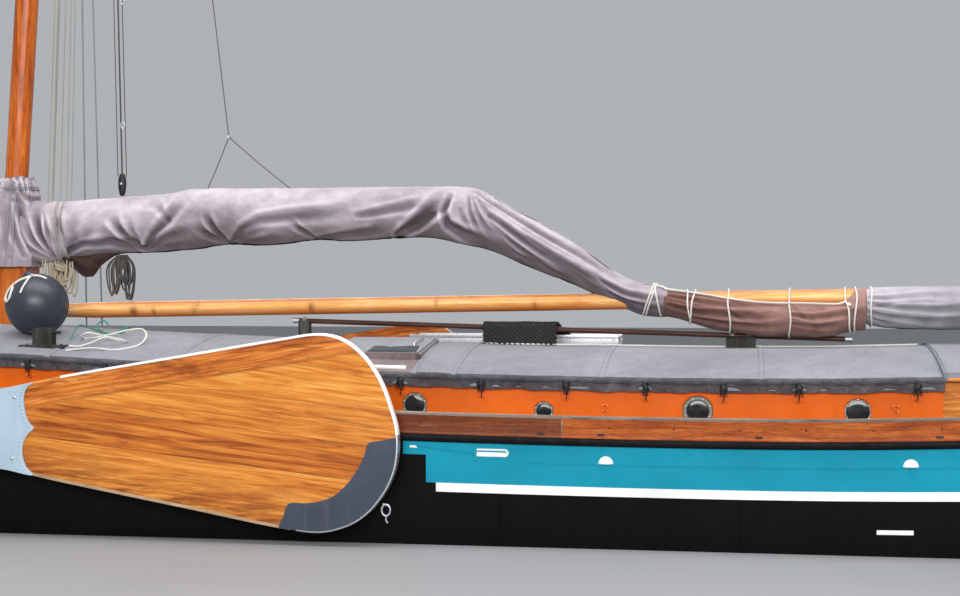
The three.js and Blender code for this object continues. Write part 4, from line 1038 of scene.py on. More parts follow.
def make_rails():
    for name, side in SIDES.items():
        board = Shape()
        stations = ends_spaced(220)
        stations = [s for s in stations if -8.9 < s < 8.9]
        rings = []
        for s in stations:
            x, y, out = deck_edge(s)
            rise = sheer(x)
            wave = 0.0012 * wobble(s * 1.7, 3.1, side)
            cut = min((abs(s - j) for j in RAIL_JOINTS), default=9)
            sink = 0.004 * (1 - smooth_step(0.004, 0.012, cut))
            ring = []
            for o, z in RAIL_SECTION:
                p = Vector((x, y, z + rise)) + out * (o - (sink if o > -0.04 else 0) + (wave if o > -0.04
                    else 0))
                ring.append((p.x, side * p.y, p.z - (sink if z > 1.56 else 0)))
            rings.append(ring)
        board.rings(rings, 0, caps=True)
        # Worn grey upper edge of the rail
        strip = []
        for s in stations:
            x, y, out = deck_edge(s)
            ring = []
            for o, z in WORN_SECTION:
                p = Vector((x, y, z + sheer(x))) + out * o
                ring.append((p.x, side * p.y, p.z))
            strip.append(ring)
        board.rings(strip, 1, caps=True)
        # Strip over the joint where the colour changes, scuppers and bolt heads
        y, base = hull_at(COLOUR_JOINT, SIDE_TOP)[1], sheer(COLOUR_JOINT)
        y0, y1 = (y - 0.012, y + 0.0065) if side > 0 else (-y - 0.0065, -y + 0.012)
        board.block((COLOUR_JOINT - 0.004, y0, 1.425 + base), (COLOUR_JOINT + 0.006, y1, 1.575 + base),
                    0.002, 2)
        for x in SCUPPERS:
            y = hull_at(x, SIDE_TOP)[1] + 0.007
            base = sheer(x)
            board.block((x - 0.028, side * y - 0.005, 1.436 + base),
                        (x + 0.028, side * y + 0.004, 1.452 + base), 0.003, 3)
        for k in range(-16, 17):
            x = k * 0.5 + 0.13
            y = hull_at(x, SIDE_TOP)[1] + 0.004
            board.lathe([(0.0, 0.004), (0.006, 0.0035), (0.0085, 0.001), (0.0085, -0.002)],
                        (x, side * y, 1.5 + sheer(x)),
                        (0, side, 0), 10, 4)
        board.piece(f"rail_boards_{name}", "barge",
                    [rail_look(name), WORN_WOOD, WORN_WOOD, IRON, DARK_WOOD],
                    [f"rail_{name}"], sharp=30)

        strake = Shape()
        rings = []
        for s in ends_spaced(200):
            if not -9.25 < s < 9.25:
                continue
            x, y, out = deck_edge(s)
            knock = 0.003 * wobble(s * 2.3, 0.4, side * 5)
            ring = []
            for o, z in STRAKE_SECTION:
                p = Vector((x, y, z + sheer(x))) + out * (o - (max(knock, 0) if o > 0.02 else 0))
                ring.append((p.x, side * p.y, p.z))
            rings.append(ring)
        strake.rings(rings, 0, caps=True)
        strake.piece(f"strake_{name}", "barge", STRAKE, [f"rubbing_strake_{name}"], sharp=40)


make_hull()
make_bands()
make_ridges()
make_hull_fittings()
make_rails()
for node, look in (
    ("deck", DECK), ("stem_post", BLACK), ("stern_post", BLACK), ("cabin_sole", PLAIN_WOOD),
    ("engine", ENGINE),
    ("propeller", BRONZE),
):
    repaint(node, look)


# Trunk walls: portholes, lugs and the hooks that hold the cover
# x, z, outer radius, glass radius, kind of ring
PORTHOLES = [
    (-4.02, 1.66, 0.100, 0.078, "grey"),
    (-2.9, 1.645, 0.100, 0.078, "grey"),
    (-1.75, 1.635, 0.085, 0.066, "grey"),
    (-0.62, 1.628, 0.100, 0.078, "grey"),
    (0.478, 1.622, 0.103, 0.082, "grey"),
    (1.552, 1.585, 0.079, 0.060, "grey"),
    (2.796, 1.601, 0.123, 0.088, "thick"),
    (4.048, 1.609, 0.105, 0.092, "thin"),
]
HOOKS = [-4.3, -3.6, -2.9, -2.2, -1.5, -0.8, 0.365, 1.04, 1.74, 2.38, 3.0, 3.59, 4.5]
LUGS = [(-3.4, 1.66), (-0.1, 1.63), (2.05, 1.616), (4.34, 1.636)]
WALL_Y = 1.386


def make_trunk_sides():
    for name, side in SIDES.items():
        out = (0, side, 0)
        shape = Shape()
        for x, z, r, glass_r, kind in PORTHOLES:
            thick = 0.022 if kind == "thick" else 0.013
            inner = glass_r
            profile = [(inner, 0.001), (inner, thick * 0.7), (inner + 0.004, thick), (r - 0.008, thick),
                       (r - 0.002, thick * 0.6), (r, 0.0)]
            ring = []
            for rad, high in profile:
                ring.append([Vector((x + rad * math.cos(a), side * (WALL_Y + high), z + rad * math.sin(a)))
                             for a in angles(40)])
            shape.rings(ring, 1 if kind == "thin" else 0)
            shape.lathe([(glass_r + 0.002, 0.0), (glass_r + 0.002, 0.002), (glass_r * 0.96, 0.0045),
                         (glass_r * 0.5, 0.0065),
                         (0.0, 0.007)], (x, side * WALL_Y, z), out, 32, 2)
            bolts = 8 if kind != "thin" else 6
            for k in range(bolts):
                a = 2 * math.pi * (k + 0.5) / bolts
                mid = (r + glass_r) / 2
                shape.lathe([(0.0055, -0.001), (0.0055, 0.0025), (0.003, 0.004), (0.0, 0.004)],
                            (x + mid * math.cos(a), side * (WALL_Y + thick), z + mid * math.sin(a)), out,
                            8, 1)
            # Drip rim over the port
            arc = [Vector((x + (r + 0.007) * math.cos(a), side * (WALL_Y + 0.006),
                           z + (r + 0.007) * math.sin(a)))
                   for a in (math.pi * (0.12 + 0.76 * k / 16) for k in range(17))]
            shape.tube(arc, 0.0048, 6, 3)
        for x, z in LUGS:
            shape.block((x - 0.028, side * WALL_Y - 0.004, z - 0.03),
                        (x + 0.028, side * WALL_Y + 0.004, z + 0.03), 0.003, 3)
            eye = [Vector((x + 0.021 * math.cos(a), side * (WALL_Y + 0.012),
                           z + 0.004 + 0.021 * math.sin(a)))
                   for a in angles(18)]
            shape.tube(eye, 0.006, 8, 3, closed=True)
            for dx, dz in ((-0.019, -0.021), (0.019, -0.021), (-0.019, 0.021), (0.019, 0.021)):
                shape.lathe([(0.004, -0.001), (0.004, 0.002), (0.0, 0.003)],
                            (x + dx, side * (WALL_Y + 0.004), z + dz), out, 8, 1)
        # Moulding under the cover and quarter round at the deck
        for z0, r in ((1.757, 0.010), (1.432, 0.016)):
            run = [Vector((x, side * (WALL_Y + (0.002 if z0 > 1.6 else 0.004)), z0 + sheer_line(x)))
                   for x in [TRUNK_FORE + 0.02 + (TRUNK_AFT - TRUNK_FORE - 0.04) * k / 60
                             for k in range(61)]]
            shape.tube(run, r, 8, 3)
        shape.piece(f"trunk_fittings_{name}", "barge", [RING, ALUMINIUM, GLASS, ORANGE], (),
                    sharp=40)

        hooks = Shape()
        for i, x in enumerate(HOOKS):
            top = sheer_line(x)
            z = 1.79 + top
            y = side * (ROOF_HALF + 0.018)
            # Knotted black strap over the rolled edge
            lump = []
            for k in range(11):
                t = k / 10
                wide = 0.028 * (1 - 0.35 * abs(t - 0.45) * 2) * (1 + 0.12 * math.sin(7 * t + i))
                lump.append([Vector((x + wide * math.cos(a) + 0.006 * math.sin(9 * t + i),
                                     y + side * (0.017 * math.sin(a) * (1 + 0.2 * math.sin(5 * t)) + 0.004),
                                     z + 0.034 - 0.085 * t)) for a in angles(14)])
            hooks.rings(lump, 0, caps=True)
            for dx in (-0.021, 0.021):
                hooks.tube([Vector((x + dx * (1 + 0.4 * math.sin(3 * t + i)),
                                    y + side * 0.012 * math.sin(2.6 * t),
                                    z + 0.03 - 0.1 * t)) for t in (k / 8 for k in range(9))], 0.0045, 6, 0)
            hooks.block((x - 0.012, y + side * 0.02 - 0.004, z - 0.012),
                        (x + 0.018, y + side * 0.02 + 0.004, z + 0.012), 0.003, 0)
            # Bracket on the wall with its dark eye
            zb = 1.694 + top
            yb = side * WALL_Y
            hooks.block((x - 0.045, yb - 0.006, zb - 0.018), (x + 0.045, yb + 0.006, zb + 0.02), 0.005, 2)
            hooks.block((x - 0.012, min(yb, yb + side * 0.03), zb - 0.02),
                        (x + 0.012, max(yb, yb + side * 0.03), zb + 0.008), 0.004, 2)
            hooks.lathe([(0.008, -0.002), (0.008, 0.002), (0.0, 0.002)], (x, yb + side * 0.03, zb - 0.007),
                        out, 10, 0)
            hooks.tube([Vector((x, yb + side * 0.03, zb)),
                        Vector((x + 0.004, yb + side * 0.045, zb + 0.02)),
                        Vector((x, y + side * 0.004, z - 0.045))], 0.005, 6, 0)
        hooks.piece(f"cover_hooks_{name}", "barge", [IRON, ALUMINIUM, ORANGE], (), sharp=45)


# Tarpaulins over the trunk roof. Seams run across the boat; the sheet is left out round the hatch frame
SEAMS = [-3.9, -2.75, -1.62, 0.462, 0.80, 2.02, 3.3]
HATCH_GAP = (-0.955, 0.455, -1.045, -0.205)


def over_hatch(x, y):
    x0, x1, y0, y1 = HATCH_GAP
    return x0 < x < x1 and y0 < y < y1


def canvas_point(x, t, side, lift=0.0):
    """t runs from 0 at the centreline over the roof's edge and down the flap to 1."""
    edge, flap = 0.90, 0.955
    base = sheer_line(x)
    seam = min((abs(x - s) for s in SEAMS), default=9)
    ridge = 0.0045 * math.exp(-(seam / 0.022) ** 2)
    crease = 0.0028 * wobble(x * 1.3, t * 5.0, side * 2.0)
    pull = 0.0
    for hook in HOOKS:
        gap = abs(x - hook)
        if gap < 0.5:
            pull += math.exp(-(gap / 0.1) ** 2)
    if t <= edge:
        y = 1.408 * (t / edge)
        fall = max(0.0, (t - 0.6) / 0.3)
        z = camber(y) + 0.0085 + ridge + crease + 0.004 * wobble(x * 4.5, y * 1.5, 7.0) * fall
        return Vector((x, side * y, z + base + lift))
    if t <= flap:
        # Rolled edge, bunched between the hooks
        a = (t - edge) / (flap - edge)
        ruffle = 0.5 + 0.5 * math.sin(x * 41 + 2.2 * math.sin(x * 7.3) + side)
        swell = 0.020 + 0.006 * ruffle - 0.006 * min(pull, 1)
        angle = math.pi * 0.62 - a * math.pi * 1.12
        y = 1.413 + swell * math.cos(angle) + 0.004 * wobble(x * 12, a * 3, 2)
        z = 1.832 + swell * math.sin(angle) * 1.15 + 0.003 * wobble(x * 17, a * 4, 5)
        return Vector((x, side * y, z + base + lift))
    a = (t - flap) / (1 - flap)
    wave = 0.008 * math.sin(x * 26 + 1.7 * math.sin(x * 5.1)) + 0.006 * wobble(x * 8, a * 2, 9)
    y = 1.418 + (wave - 0.012 * min(pull, 1)) * a + 0.007
    hem = 0.006 * wobble(x * 5.0, 1, 3) + 0.004 * math.sin(x * 13)
    z = 1.812 - a * (0.062 + hem)
    return Vector((x, side * y, z + base + lift))


def make_canvas():
    # name, from, to
    sheets = [
        ("tarpaulin_fore", ROOF_FORE - 0.02, 0.462),
        ("tarpaulin_hatch", 0.45, 0.81),
        ("tarpaulin_aft", 0.79, TRUNK_AFT + 0.01),
    ]
    across = [0.0]
    while across[-1] < 0.899:
        across.append(min(across[-1] + 0.03, 0.9))
    across += [0.9 + 0.055 * k / 9 for k in range(1, 10)]
    across += [0.955 + 0.045 * k / 5 for k in range(1, 6)]
    for name, start, end in sheets:
        shape = Shape()
        count = int((end - start) / 0.022)
        xs = [start + (end - start) * k / count for k in range(count + 1)]
        ts = [(-1, t) for t in across[:0:-1]] + [(1, t) for t in across]
        rows = []
        for k, x in enumerate(xs):
            rim = min(k, count - k)
            lift = 0.0035 if name == "tarpaulin_hatch" else 0.0
            lift -= 0.006 * max(0, 1 - rim / 1.5)
            rows.append([canvas_point(x, t, side, lift) for side, t in ts])
        n = len(ts)
        faces, marks = [], []
        for a in range(count):
            for b in range(n - 1):
                mid = (rows[a][b] + rows[a + 1][b + 1]) / 2
                well = abs(mid.x - MAST_X) < 0.24 and abs(mid.y) < 0.22
                if well or over_hatch(mid.x, mid.y):
                    continue
                faces.append((a * n + b, (a + 1) * n + b, (a + 1) * n + b + 1, a * n + b + 1))
                t = ts[b][1]
                pink = -0.93 < mid.x < 0.455 and mid.y < -1.0 and t < 0.899
                marks.append(3 if pink else 0 if t < 0.899 else 1 if t < 0.954 else 2)
        verts = [p for row in rows for p in row]
        for mark in (0, 1, 2, 3):
            chosen = [f for f, m in zip(faces, marks) if m == mark]
            used = sorted({v for f in chosen for v in f})
            index = {v: k for k, v in enumerate(used)}
            shape.put([verts[v] for v in used], [[index[v] for v in f] for f in chosen], mark)
        made = shape.piece(name, "barge", [CANVAS, CANVAS_EDGE, CANVAS_FLAP, CANVAS_PINK], (),
                           sharp=50)
        weld(made)


def weld(thing, distance=0.0004):
    """Joins the corners that the materials' separate faces share."""
    made = bmesh.new()
    made.from_mesh(thing.data)
    bmesh.ops.remove_doubles(made, verts=made.verts[:], dist=distance)
    made.to_mesh(thing.data)
    made.free()
    thing.data.shade_smooth()


def make_seams():
    """Doubled strips over the cover's cross seams with two rows of stitches, and the white line
    along the crown."""
    shape = Shape()
    for s in SEAMS:
        rows = []
        for side, t in [(-1, 0.9 - 0.02 * k) for k in range(45)] + [(1, 0.02 * k) for k in range(46)]:
            row = []
            for dx, lift in ((-0.026, 0.0005), (-0.024, 0.0032), (0.0, 0.0042), (0.024, 0.0032),
                             (0.026, 0.0005)):
                p = canvas_point(s + dx, t, side)
                row.append((p.x, p.y, p.z + lift + 0.001))
            rows.append(row)
        runs, run = [], []
        for row in rows:
            if over_hatch(s, row[0][1]):
                if len(run) > 1:
                    runs.append(run)
                run = []
            else:
                run.append(row)
        if len(run) > 1:
            runs.append(run)
        for run in runs:
            shape.rings(run, 0, closed=False)
    # Stitch rows
    for s in SEAMS:
        for side in (-1, 1):
            for dx in (-0.018, 0.018):
                for k in range(2, 60):
                    t = k * 0.015
                    a = canvas_point(s + dx, t, side)
                    b = canvas_point(s + dx, t + 0.008, side)
                    if over_hatch(s, a.y):
                        continue
                    up = Vector((0, 0, 0.0048))
                    shape.tube([a + up * 0.6, (a + b) / 2 + up * 1.15, b + up * 0.6], 0.0016, 4, 1,
                               caps=False)
    shape.piece("tarpaulin_seams", "barge", [CANVAS, CANVAS_EDGE], (), sharp=40)
    line = Shape()
    points = []
    for k in range(60):
        x = 0.84 + 3.8 * k / 59
        points.append(canvas_point(x, 0.03 + 0.008 * math.sin(x * 2.1) + 0.01 * wobble(x, 0, 4),
                                   -1) + Vector((0, 0, 0.0085)))
    line.tube(points, 0.0085, 8)
    line.piece("crown_line", "barge", WHITE_ROPE, ())


def make_hatch():
    """Canvas panel over the hatch's fore end, coaming, padded lid, pale tube along the coaming."""
    tilt = Matrix.Translation((0.04, -0.625, 2.045)) @ Matrix.Rotation(math.radians(7.2), 4, "X")
    frame_shape = Shape()
    for low, high in (
        ((-0.982, -0.415, -0.06), (0.412, -0.369, 0.0345)),
        ((-0.982, 0.369, -0.06), (0.412, 0.415, 0.0345)),
        ((-0.982, -0.415, -0.06), (-0.936, 0.415, 0.0345)),
        ((0.366, -0.415, -0.06), (0.412, 0.415, 0.0345)),
    ):
        frame_shape.block(low, high, 0.006, 0, tilt)
    pipe = [Vector((x, -1.3, roof_top(x, -1.3) + 0.021)) for x in [0.03 + 0.0085 * k for k in range(42)]]
    frame_shape.tube(pipe, 0.019, 14, 1)
    for end in (pipe[0], pipe[-1]):
        frame_shape.lathe([(0.0, -0.006), (0.016, -0.006), (0.021, 0.0), (0.016, 0.006), (0.0, 0.006)],
                          end, (1, 0, 0), 14, 1)
    frame_shape.piece("hatch_coaming", "barge", [CANVAS_PINK, WHITE], ())

    lid = Shape()
    rows = []
    for i in range(31):
        row = []
        for j in range(31):
            x = -0.377 + 0.767 * i / 30
            y = -0.412 + 0.824 * j / 30
            edge = min(i, 30 - i, j, 30 - j) / 3
            crown = 0.012 * (1 - (2 * j / 30 - 1) ** 2) * (1 - (2 * i / 30 - 1) ** 4)
            z = 0.058 + crown - 0.010 * max(0, 1 - edge) ** 2 + 0.002 * wobble(x * 9, y * 9, 3)
            row.append(tilt @ Vector((x, y, z)))
        rows.append(row)
    lid.rings(rows, 0, closed=False)
    rim = [tilt @ Vector(p)
           for p in ((-0.377, -0.412, 0.048), (0.39, -0.412, 0.048), (0.39, 0.412, 0.048),
                     (-0.377, 0.412, 0.048))]
    low = [tilt @ Vector(p)
           for p in ((-0.377, -0.412, 0.036), (0.39, -0.412, 0.036), (0.39, 0.412, 0.036),
                     (-0.377, 0.412, 0.036))]
    # Dark pad on its port side
    pad = []
    for i in range(21):
        row = []
        for j in range(15):
            x, y = -0.06 + 0.43 * i / 20, -0.402 + 0.25 * j / 14
            edge = min(i, 20 - i, j, 14 - j) / 2
            wave = 0.006 * wobble(x * 7, y * 7, 5)
            row.append(tilt @ Vector((x + 0.012 * math.sin(9 * y), y,
                                      0.068 + wave - 0.012 * max(0, 1 - edge) ** 2)))
        pad.append(row)
    lid.rings(pad, 3, closed=False)
    lid.rings([rim, low], 1)
    lid.put(low, [(0, 1, 2, 3)], 1)
    lid.tube([tilt @ Vector(p)
              for p in catmull([(0.315, -0.2, 0.06), (0.315, -0.195, 0.084), (0.315, -0.17, 0.09),
                                (0.315, 0.17, 0.09),
                                                 (0.315, 0.195, 0.084), (0.315, 0.2, 0.06)], 5)], 0.008, 8,
                                                 2)
    lid.piece("hatch_lid_padded", "hatch_lid", [CANVAS, CANVAS_PINK, ALUMINIUM, LID_PAD], ["hatch_lid"])


def make_roef():
    """After cabin: glazed windows, handrails, hatch and door."""
    for name, side in SIDES.items():
        shape = Shape()
        for x0 in (5.15, 6.15):
            x1, z0, z1 = x0 + 0.5, 1.62, 1.79
            y = side * (WALL_Y - 0.001)
            outline = []
            for k in range(48):
                a = 2 * math.pi * k / 48
                cx, cz = (x0 + x1) / 2, (z0 + z1) / 2
                px = cx + 0.25 * rounded(math.cos(a), 0.22)
                pz = cz + 0.085 * rounded(math.sin(a), 0.22)
                outline.append((px, pz))
            rings = []
            for grow, high in ((-0.016, 0.0), (-0.016, 0.009), (-0.010, 0.014), (0.014, 0.014),
                               (0.02, 0.009), (0.02, 0.0)):
                rings.append([Vector((px + grow * (1 if px > (x0 + x1) / 2 else -1), y + side * high,
                                      pz + grow * (1 if pz > (z0 + z1) / 2 else -1))) for px,
                                      pz in outline])
            shape.rings(rings, 0)
            shape.put([Vector((px, y - side * 0.012, pz)) for px, pz in outline], [tuple(range(48))], 1)
            for k in range(12):
                px, pz = outline[k * 4 + 2]
                shape.lathe([(0.005, -0.001), (0.005, 0.0025), (0.0, 0.004)], (px, y + side * 0.014, pz),
                            (0, side, 0), 8, 0)
        shape.piece(f"roef_windows_{name}", "barge", [BRASS, GLASS], (), sharp=40)

        rail = Shape()
        y = side * 1.08
        top = camber(y, ROEF_EDGE, ROEF_CROWN)
        for k in range(7):
            x = 4.95 + k * 0.35
            rail.lathe([(0.02, -0.006), (0.018, 0.012), (0.011, 0.03), (0.013, 0.05)], (x, y, top),
                       (0, 0, 1), 12, 0)
        rail.tube([(4.88 + 0.0563 * k, y, top + 0.055) for k in range(40)], 0.016, 10, 0)
        rail.piece(f"roof_handrail_{name}", "barge", SPAR, ())

    canvas = Shape()
    rows = []
    ys = [ROOF_HALF * (-1 + 2 * k / 60) for k in range(61)]
    for i in range(70):
        x = 4.72 + (7.3 - 4.72) * i / 69
        row = []
        for y in ys:
            z = camber(y, ROEF_EDGE, ROEF_CROWN)
            z += 0.006 + 0.0015 * wobble(x * 3, y * 3, 1)
            row.append((x, y * 1.003, z))
        row = [(x, -ROOF_HALF * 1.004, ROEF_LOW + 0.01), *row, (x, ROOF_HALF * 1.004, ROEF_LOW + 0.01)]
        rows.append(row)
    n = len(rows[0])
    verts = [p for row in rows for p in row]
    faces = []
    for a in range(len(rows) - 1):
        for b in range(n - 1):
            x = (rows[a][b][0] + rows[a + 1][b][0]) / 2
            y = (rows[a][b][1] + rows[a][b + 1][1]) / 2
            if x > 5.74 and abs(y) < 0.4:
                continue
            faces.append((a * n + b, (a + 1) * n + b, (a + 1) * n + b + 1, a * n + b + 1))
    canvas.put(verts, faces)
    made = canvas.piece("roef_roof_canvas", "barge", CANVAS, (), sharp=50)

    trim = Shape()
    for side in (-1, 1):
        trim.tube([Vector((x, side * (ROOF_HALF + 0.008), ROEF_LOW + 0.012))
                   for x in [4.73 + 0.0367 * k for k in range(71)]], 0.014, 8)
    trim.tube([Vector((7.303, ROOF_HALF * t, ROEF_EDGE - 0.02 + (ROEF_CROWN - ROEF_EDGE) * (1 - t * t)))
               for t in [-1 + k / 20 for k in range(41)]], 0.014, 8)
    trim.piece("roef_trim", "barge", SPAR, ())

    door = Shape()
    door.block((7.2506, -0.33, 1.7), (7.2804, 0.33, 2.02), 0.005, 0)
    for y0 in (-0.29, 0.03):
        door.block((7.276, y0, 1.74), (7.2835, y0 + 0.26, 1.98), 0.006, 1)
    door.tube([Vector(p)
               for p in catmull([(7.28, 0.27, 1.88), (7.31, 0.27, 1.885), (7.318, 0.25, 1.885),
                                 (7.318, 0.17, 1.885)], 5)], 0.007, 8, 2)
    for z in (1.77, 1.95):
        door.lathe([(0.009, -0.03), (0.009, 0.03)], (7.284, -0.338, z), (0, 0, 1), 10, 2)
    door.piece("roef_door_panelled", "roef_door", [SPAR, DARK_WOOD, BRASS], ["roef_door"])

    hatch = Shape()
    rows = []
    for i in range(25):
        row = []
        for j in range(25):
            x, y = 6.5 + 0.82 * i / 24, -0.4 + 0.8 * j / 24
            edge = min(i, 24 - i, j, 24 - j) / 2
            row.append((x, y, 2.142 + 0.012 * (1 - (2 * j / 24 - 1) ** 2) - 0.008 * max(0, 1 - edge) ** 2))
        rows.append(row)
    hatch.rings(rows, 0, closed=False)
    top = [(6.5, -0.4, 2.134), (7.32, -0.4, 2.134), (7.32, 0.4, 2.134), (6.5, 0.4, 2.134)]
    low = [(x, y, 2.1226) for x, y, z in top]
    hatch.rings([top, low], 1)
    hatch.put(low, [(0, 1, 2, 3)], 1)
    for k in range(6):
        y = -0.33 + 0.132 * k
        hatch.block((6.505, y - 0.008, 2.146), (7.315, y + 0.008, 2.158), 0.003, 1)
    hatch.piece("roef_hatch_slatted", "roef_hatch", [DECK, SPAR], ["roef_hatch"])


make_trunk_sides()
make_canvas()
make_seams()
make_hatch()
make_roef()
for node, look in (
    ("trunk_side_port", ORANGE), ("trunk_side_starboard", ORANGE), ("trunk_front", ORANGE),
    ("cabin_bulkhead", SPAR),
    ("trunk_roof", DECK), ("trunk_roof_aft", DECK), ("hatch_frame_port", DECK),
    ("hatch_frame_starboard", DECK), ("roef_side_port", SPAR),
    ("roef_side_starboard", SPAR), ("roef_roof", DECK), ("roef_end", SPAR),
):
    repaint(node, look)


# Mast and boom
def make_mast():
    shape = Shape()
    profile = [
        (0.108, -0.16), (0.118, -0.1), (0.108, 0.02), (0.108, 0.4), (0.109, 1.6), (0.107, 3.0),
        (0.104, 4.5), (0.1, 6),
        (0.094, 7.5), (0.085, 9), (0.077, 10.6), (0.068, 12.2),
    ]
    fine = []
    for (r0, h0), (r1, h1) in zip(profile, profile[1:]):
        steps = max(1, int((h1 - h0) / 0.25))
        fine += [(r0 + (r1 - r0) * k / steps, h0 + (h1 - h0) * k / steps) for k in range(steps)]
    fine.append(profile[-1])
    axis = (on_mast(1) - on_mast(0)).normalized()
    shape.lathe(fine, on_mast(0), axis, 32, 0)
    shape.lathe([(0.066, 12.19), (0.088, 12.22), (0.092, 12.25), (0.092, 12.33), (0.08, 12.37),
                 (0.05, 12.43), (0.0, 12.45)],
                on_mast(0), axis, 24, 1)
    shape.lathe([(0.0, -0.108), (0.116, -0.108), (0.12, -0.1), (0.12, 0.1), (0.116, 0.108), (0.0, 0.108)],
                on_mast(0), (0, 1, 0), 32, 0)
    shape.lathe([(0.0, -0.18), (0.022, -0.18), (0.025, -0.176), (0.025, 0.176), (0.022, 0.18),
                 (0.0, 0.18)], on_mast(0), (0, 1, 0), 16, 1)
    # Iron bands: at the hounds and two above for the blocks
    for h, r in ((HOUNDS, 0.093), (9.6, 0.083), (11.2, 0.074)):
        shape.lathe([(r - 0.004, h - 0.035), (r + 0.005, h - 0.035), (r + 0.008, h - 0.03),
                     (r + 0.008, h + 0.03),
                     (r + 0.005, h + 0.035), (r - 0.004, h + 0.035)], on_mast(0), axis, 32, 1)
    shape.lathe([(0.088, HOUNDS - 0.05), (0.116, HOUNDS - 0.042), (0.119, HOUNDS - 0.02),
                 (0.104, HOUNDS + 0.04), (0.086, HOUNDS + 0.06)],
                on_mast(0), axis, 32, 1)
    # Cheek blocks for the halyards, port and starboard, under the masthead
    for h, out, side in ((9.6, 0.1, -0.06), (9.6, 0.1, 0.06), (11.2, 0.1, 0.0)):
        at = on_mast(h, out, side)
        shape.lathe([(0.0, -0.03), (0.05, -0.03), (0.056, -0.022), (0.056, -0.008), (0.045, 0.0),
                     (0.056, 0.008), (0.056, 0.022),
                     (0.05, 0.03), (0.0, 0.03)], at, (0, 1, 0), 20, 2)
        shape.tube([on_mast(h, 0.075, side * 0.6), at], 0.01, 8, 1)
    shape.piece("mast_spar", "mast", [MAST, GALVANISED, DARK_WOOD], ["mast"], sharp=45)


# Dark knots on the boom: x, height off its middle, half length, strength
KNOTS = [
    (-2.49, -0.02, 0.035, 1.0), (-2.29, -0.03, 0.018, 0.7), (-1.9, -0.02, 0.02, 0.5),
    (-1.86, 0.03, 0.014, 0.4), (-0.77, -0.01, 0.026, 0.9),
    (0.4, 0.02, 0.018, 0.5), (1.3, -0.02, 0.02, 0.6), (3.1, -0.01, 0.02, 0.5), (4.6, 0.0, 0.02, 0.6),
]


def make_boom():
    shape = Shape()
    profile = [(-3.3, 0.055), (-3.27, 0.06), (-2.9, 0.0745), (-1.5, 0.0752), (1.0, 0.0755), (3.0, 0.0752),
               (4.5, 0.074), (5.5, 0.064), (6.24, 0.055)]
    rings, spots = [], []
    for (x0, r0), (x1, r1) in zip(profile, profile[1:]):
        steps = max(1, int((x1 - x0) / 0.03))
        for k in range(steps + (1 if x1 == 6.24 else 0)):
            x = x0 + (x1 - x0) * k / steps
            r = r0 + (r1 - r0) * k / steps
            r *= 1 + 0.006 * wobble(x * 1.5, 0, 0)
            ring = []
            for j in range(32):
                a = 2 * math.pi * j / 32
                knot = 1 + 0.012 * max(0, wobble(x * 3.1, math.cos(a) * 1.2, math.sin(a) * 1.2) - 0.35)
                ring.append((x, r * knot * math.cos(a), boom_z(x) + r * knot * math.sin(a)))
                up = r * math.sin(a)
                front = 1 if math.cos(a) < 0 else 0.2
                spots.append(front * sum(dark
                                         * math.exp(-((x - at) / wide) ** 2 - ((up - low) / 0.045) ** 2)
                                         for at, low, wide, dark in KNOTS))
            rings.append(ring)
    shape.rings(rings, 0, caps=True)
    for x, r in ((-3.22, 0.0655), (6.0, 0.059)):
        band = [[(x + dx, (r + dr) * math.cos(a), boom_z(x + dx) + (r + dr) * math.sin(a))
                 for a in angles(28)]
                for dx, dr in ((-0.028, -0.002), (-0.025, 0.003), (0.025, 0.003), (0.028, -0.002))]
        shape.rings(band, 1)
    # Gooseneck
    shape.lathe([(0.0, -0.0596), (0.04, -0.0596), (0.045, -0.055), (0.045, 0.055), (0.04, 0.0596),
                 (0.0, 0.0596)],
                (GOOSENECK_X, 0, BOOM_Z0), (0, 0, 1), 24, 1)
    shape.tube([(GOOSENECK_X, 0, BOOM_Z0), (-3.36, 0, boom_z(-3.36)), (-3.25, 0, boom_z(-3.25))], 0.029,
               14, 1)
    for side in (-1, 1):
        shape.block((-3.31, side * 0.05 - 0.007, boom_z(-3.2) - 0.03),
                    (-3.05, side * 0.066 + 0.004, boom_z(-3.2) + 0.03), 0.004, 1)
    made = shape.piece("boom_spar", "boom", [BOOM, GALVANISED], ["boom"], sharp=45)
    set_painted_shade_and_knots(made, spots + [0.0] * (len(made.data.vertices) - len(spots)))


# Covered sails. Rows of x, middle y, low, high, half width
FORE_ROWS = [
    (-3.25, 0, 2.84, 3.41, 0.165), (-3.0, 0, 2.86, 3.418, 0.185), (-2.59, 0, 2.925, 3.45, 0.2),
    (-2.3, 0, 2.925, 3.462, 0.21),
    (-2.09, 0, 2.945, 3.485, 0.22), (-1.93, 0, 2.955, 3.515, 0.225), (-1.6, 0, 2.995, 3.518, 0.23),
    (-1.2, 0, 2.995, 3.515, 0.235),
    (-0.73, 0, 3.03, 3.512, 0.24), (-0.3, 0, 3.035, 3.515, 0.24), (0.07, 0, 3.055, 3.515, 0.24),
    (0.4, 0, 3.04, 3.515, 0.24),
    (0.6, 0, 3.005, 3.51, 0.235), (0.76, 0, 2.97, 3.492, 0.225), (0.9, 0, 2.925, 3.43, 0.215),
    (1.1, 0, 2.84, 3.31, 0.2),
    (1.35, 0, 2.745, 3.18, 0.19), (1.57, 0, 2.655, 3.045, 0.18), (1.81, 0, 2.545, 2.885, 0.165),
    (2.04, 0, 2.45, 2.724, 0.145),
    (2.24, 0, 2.365, 2.64, 0.13), (2.40, 0, 2.345, 2.615, 0.122), (2.49, 0, 2.345, 2.60, 0.12),
]
# Where lines under the bundle pull its lower edge up
FORE_TIES = [-3.22, -2.39, -1.56, -0.73, 0.26, 1.02, 1.72]
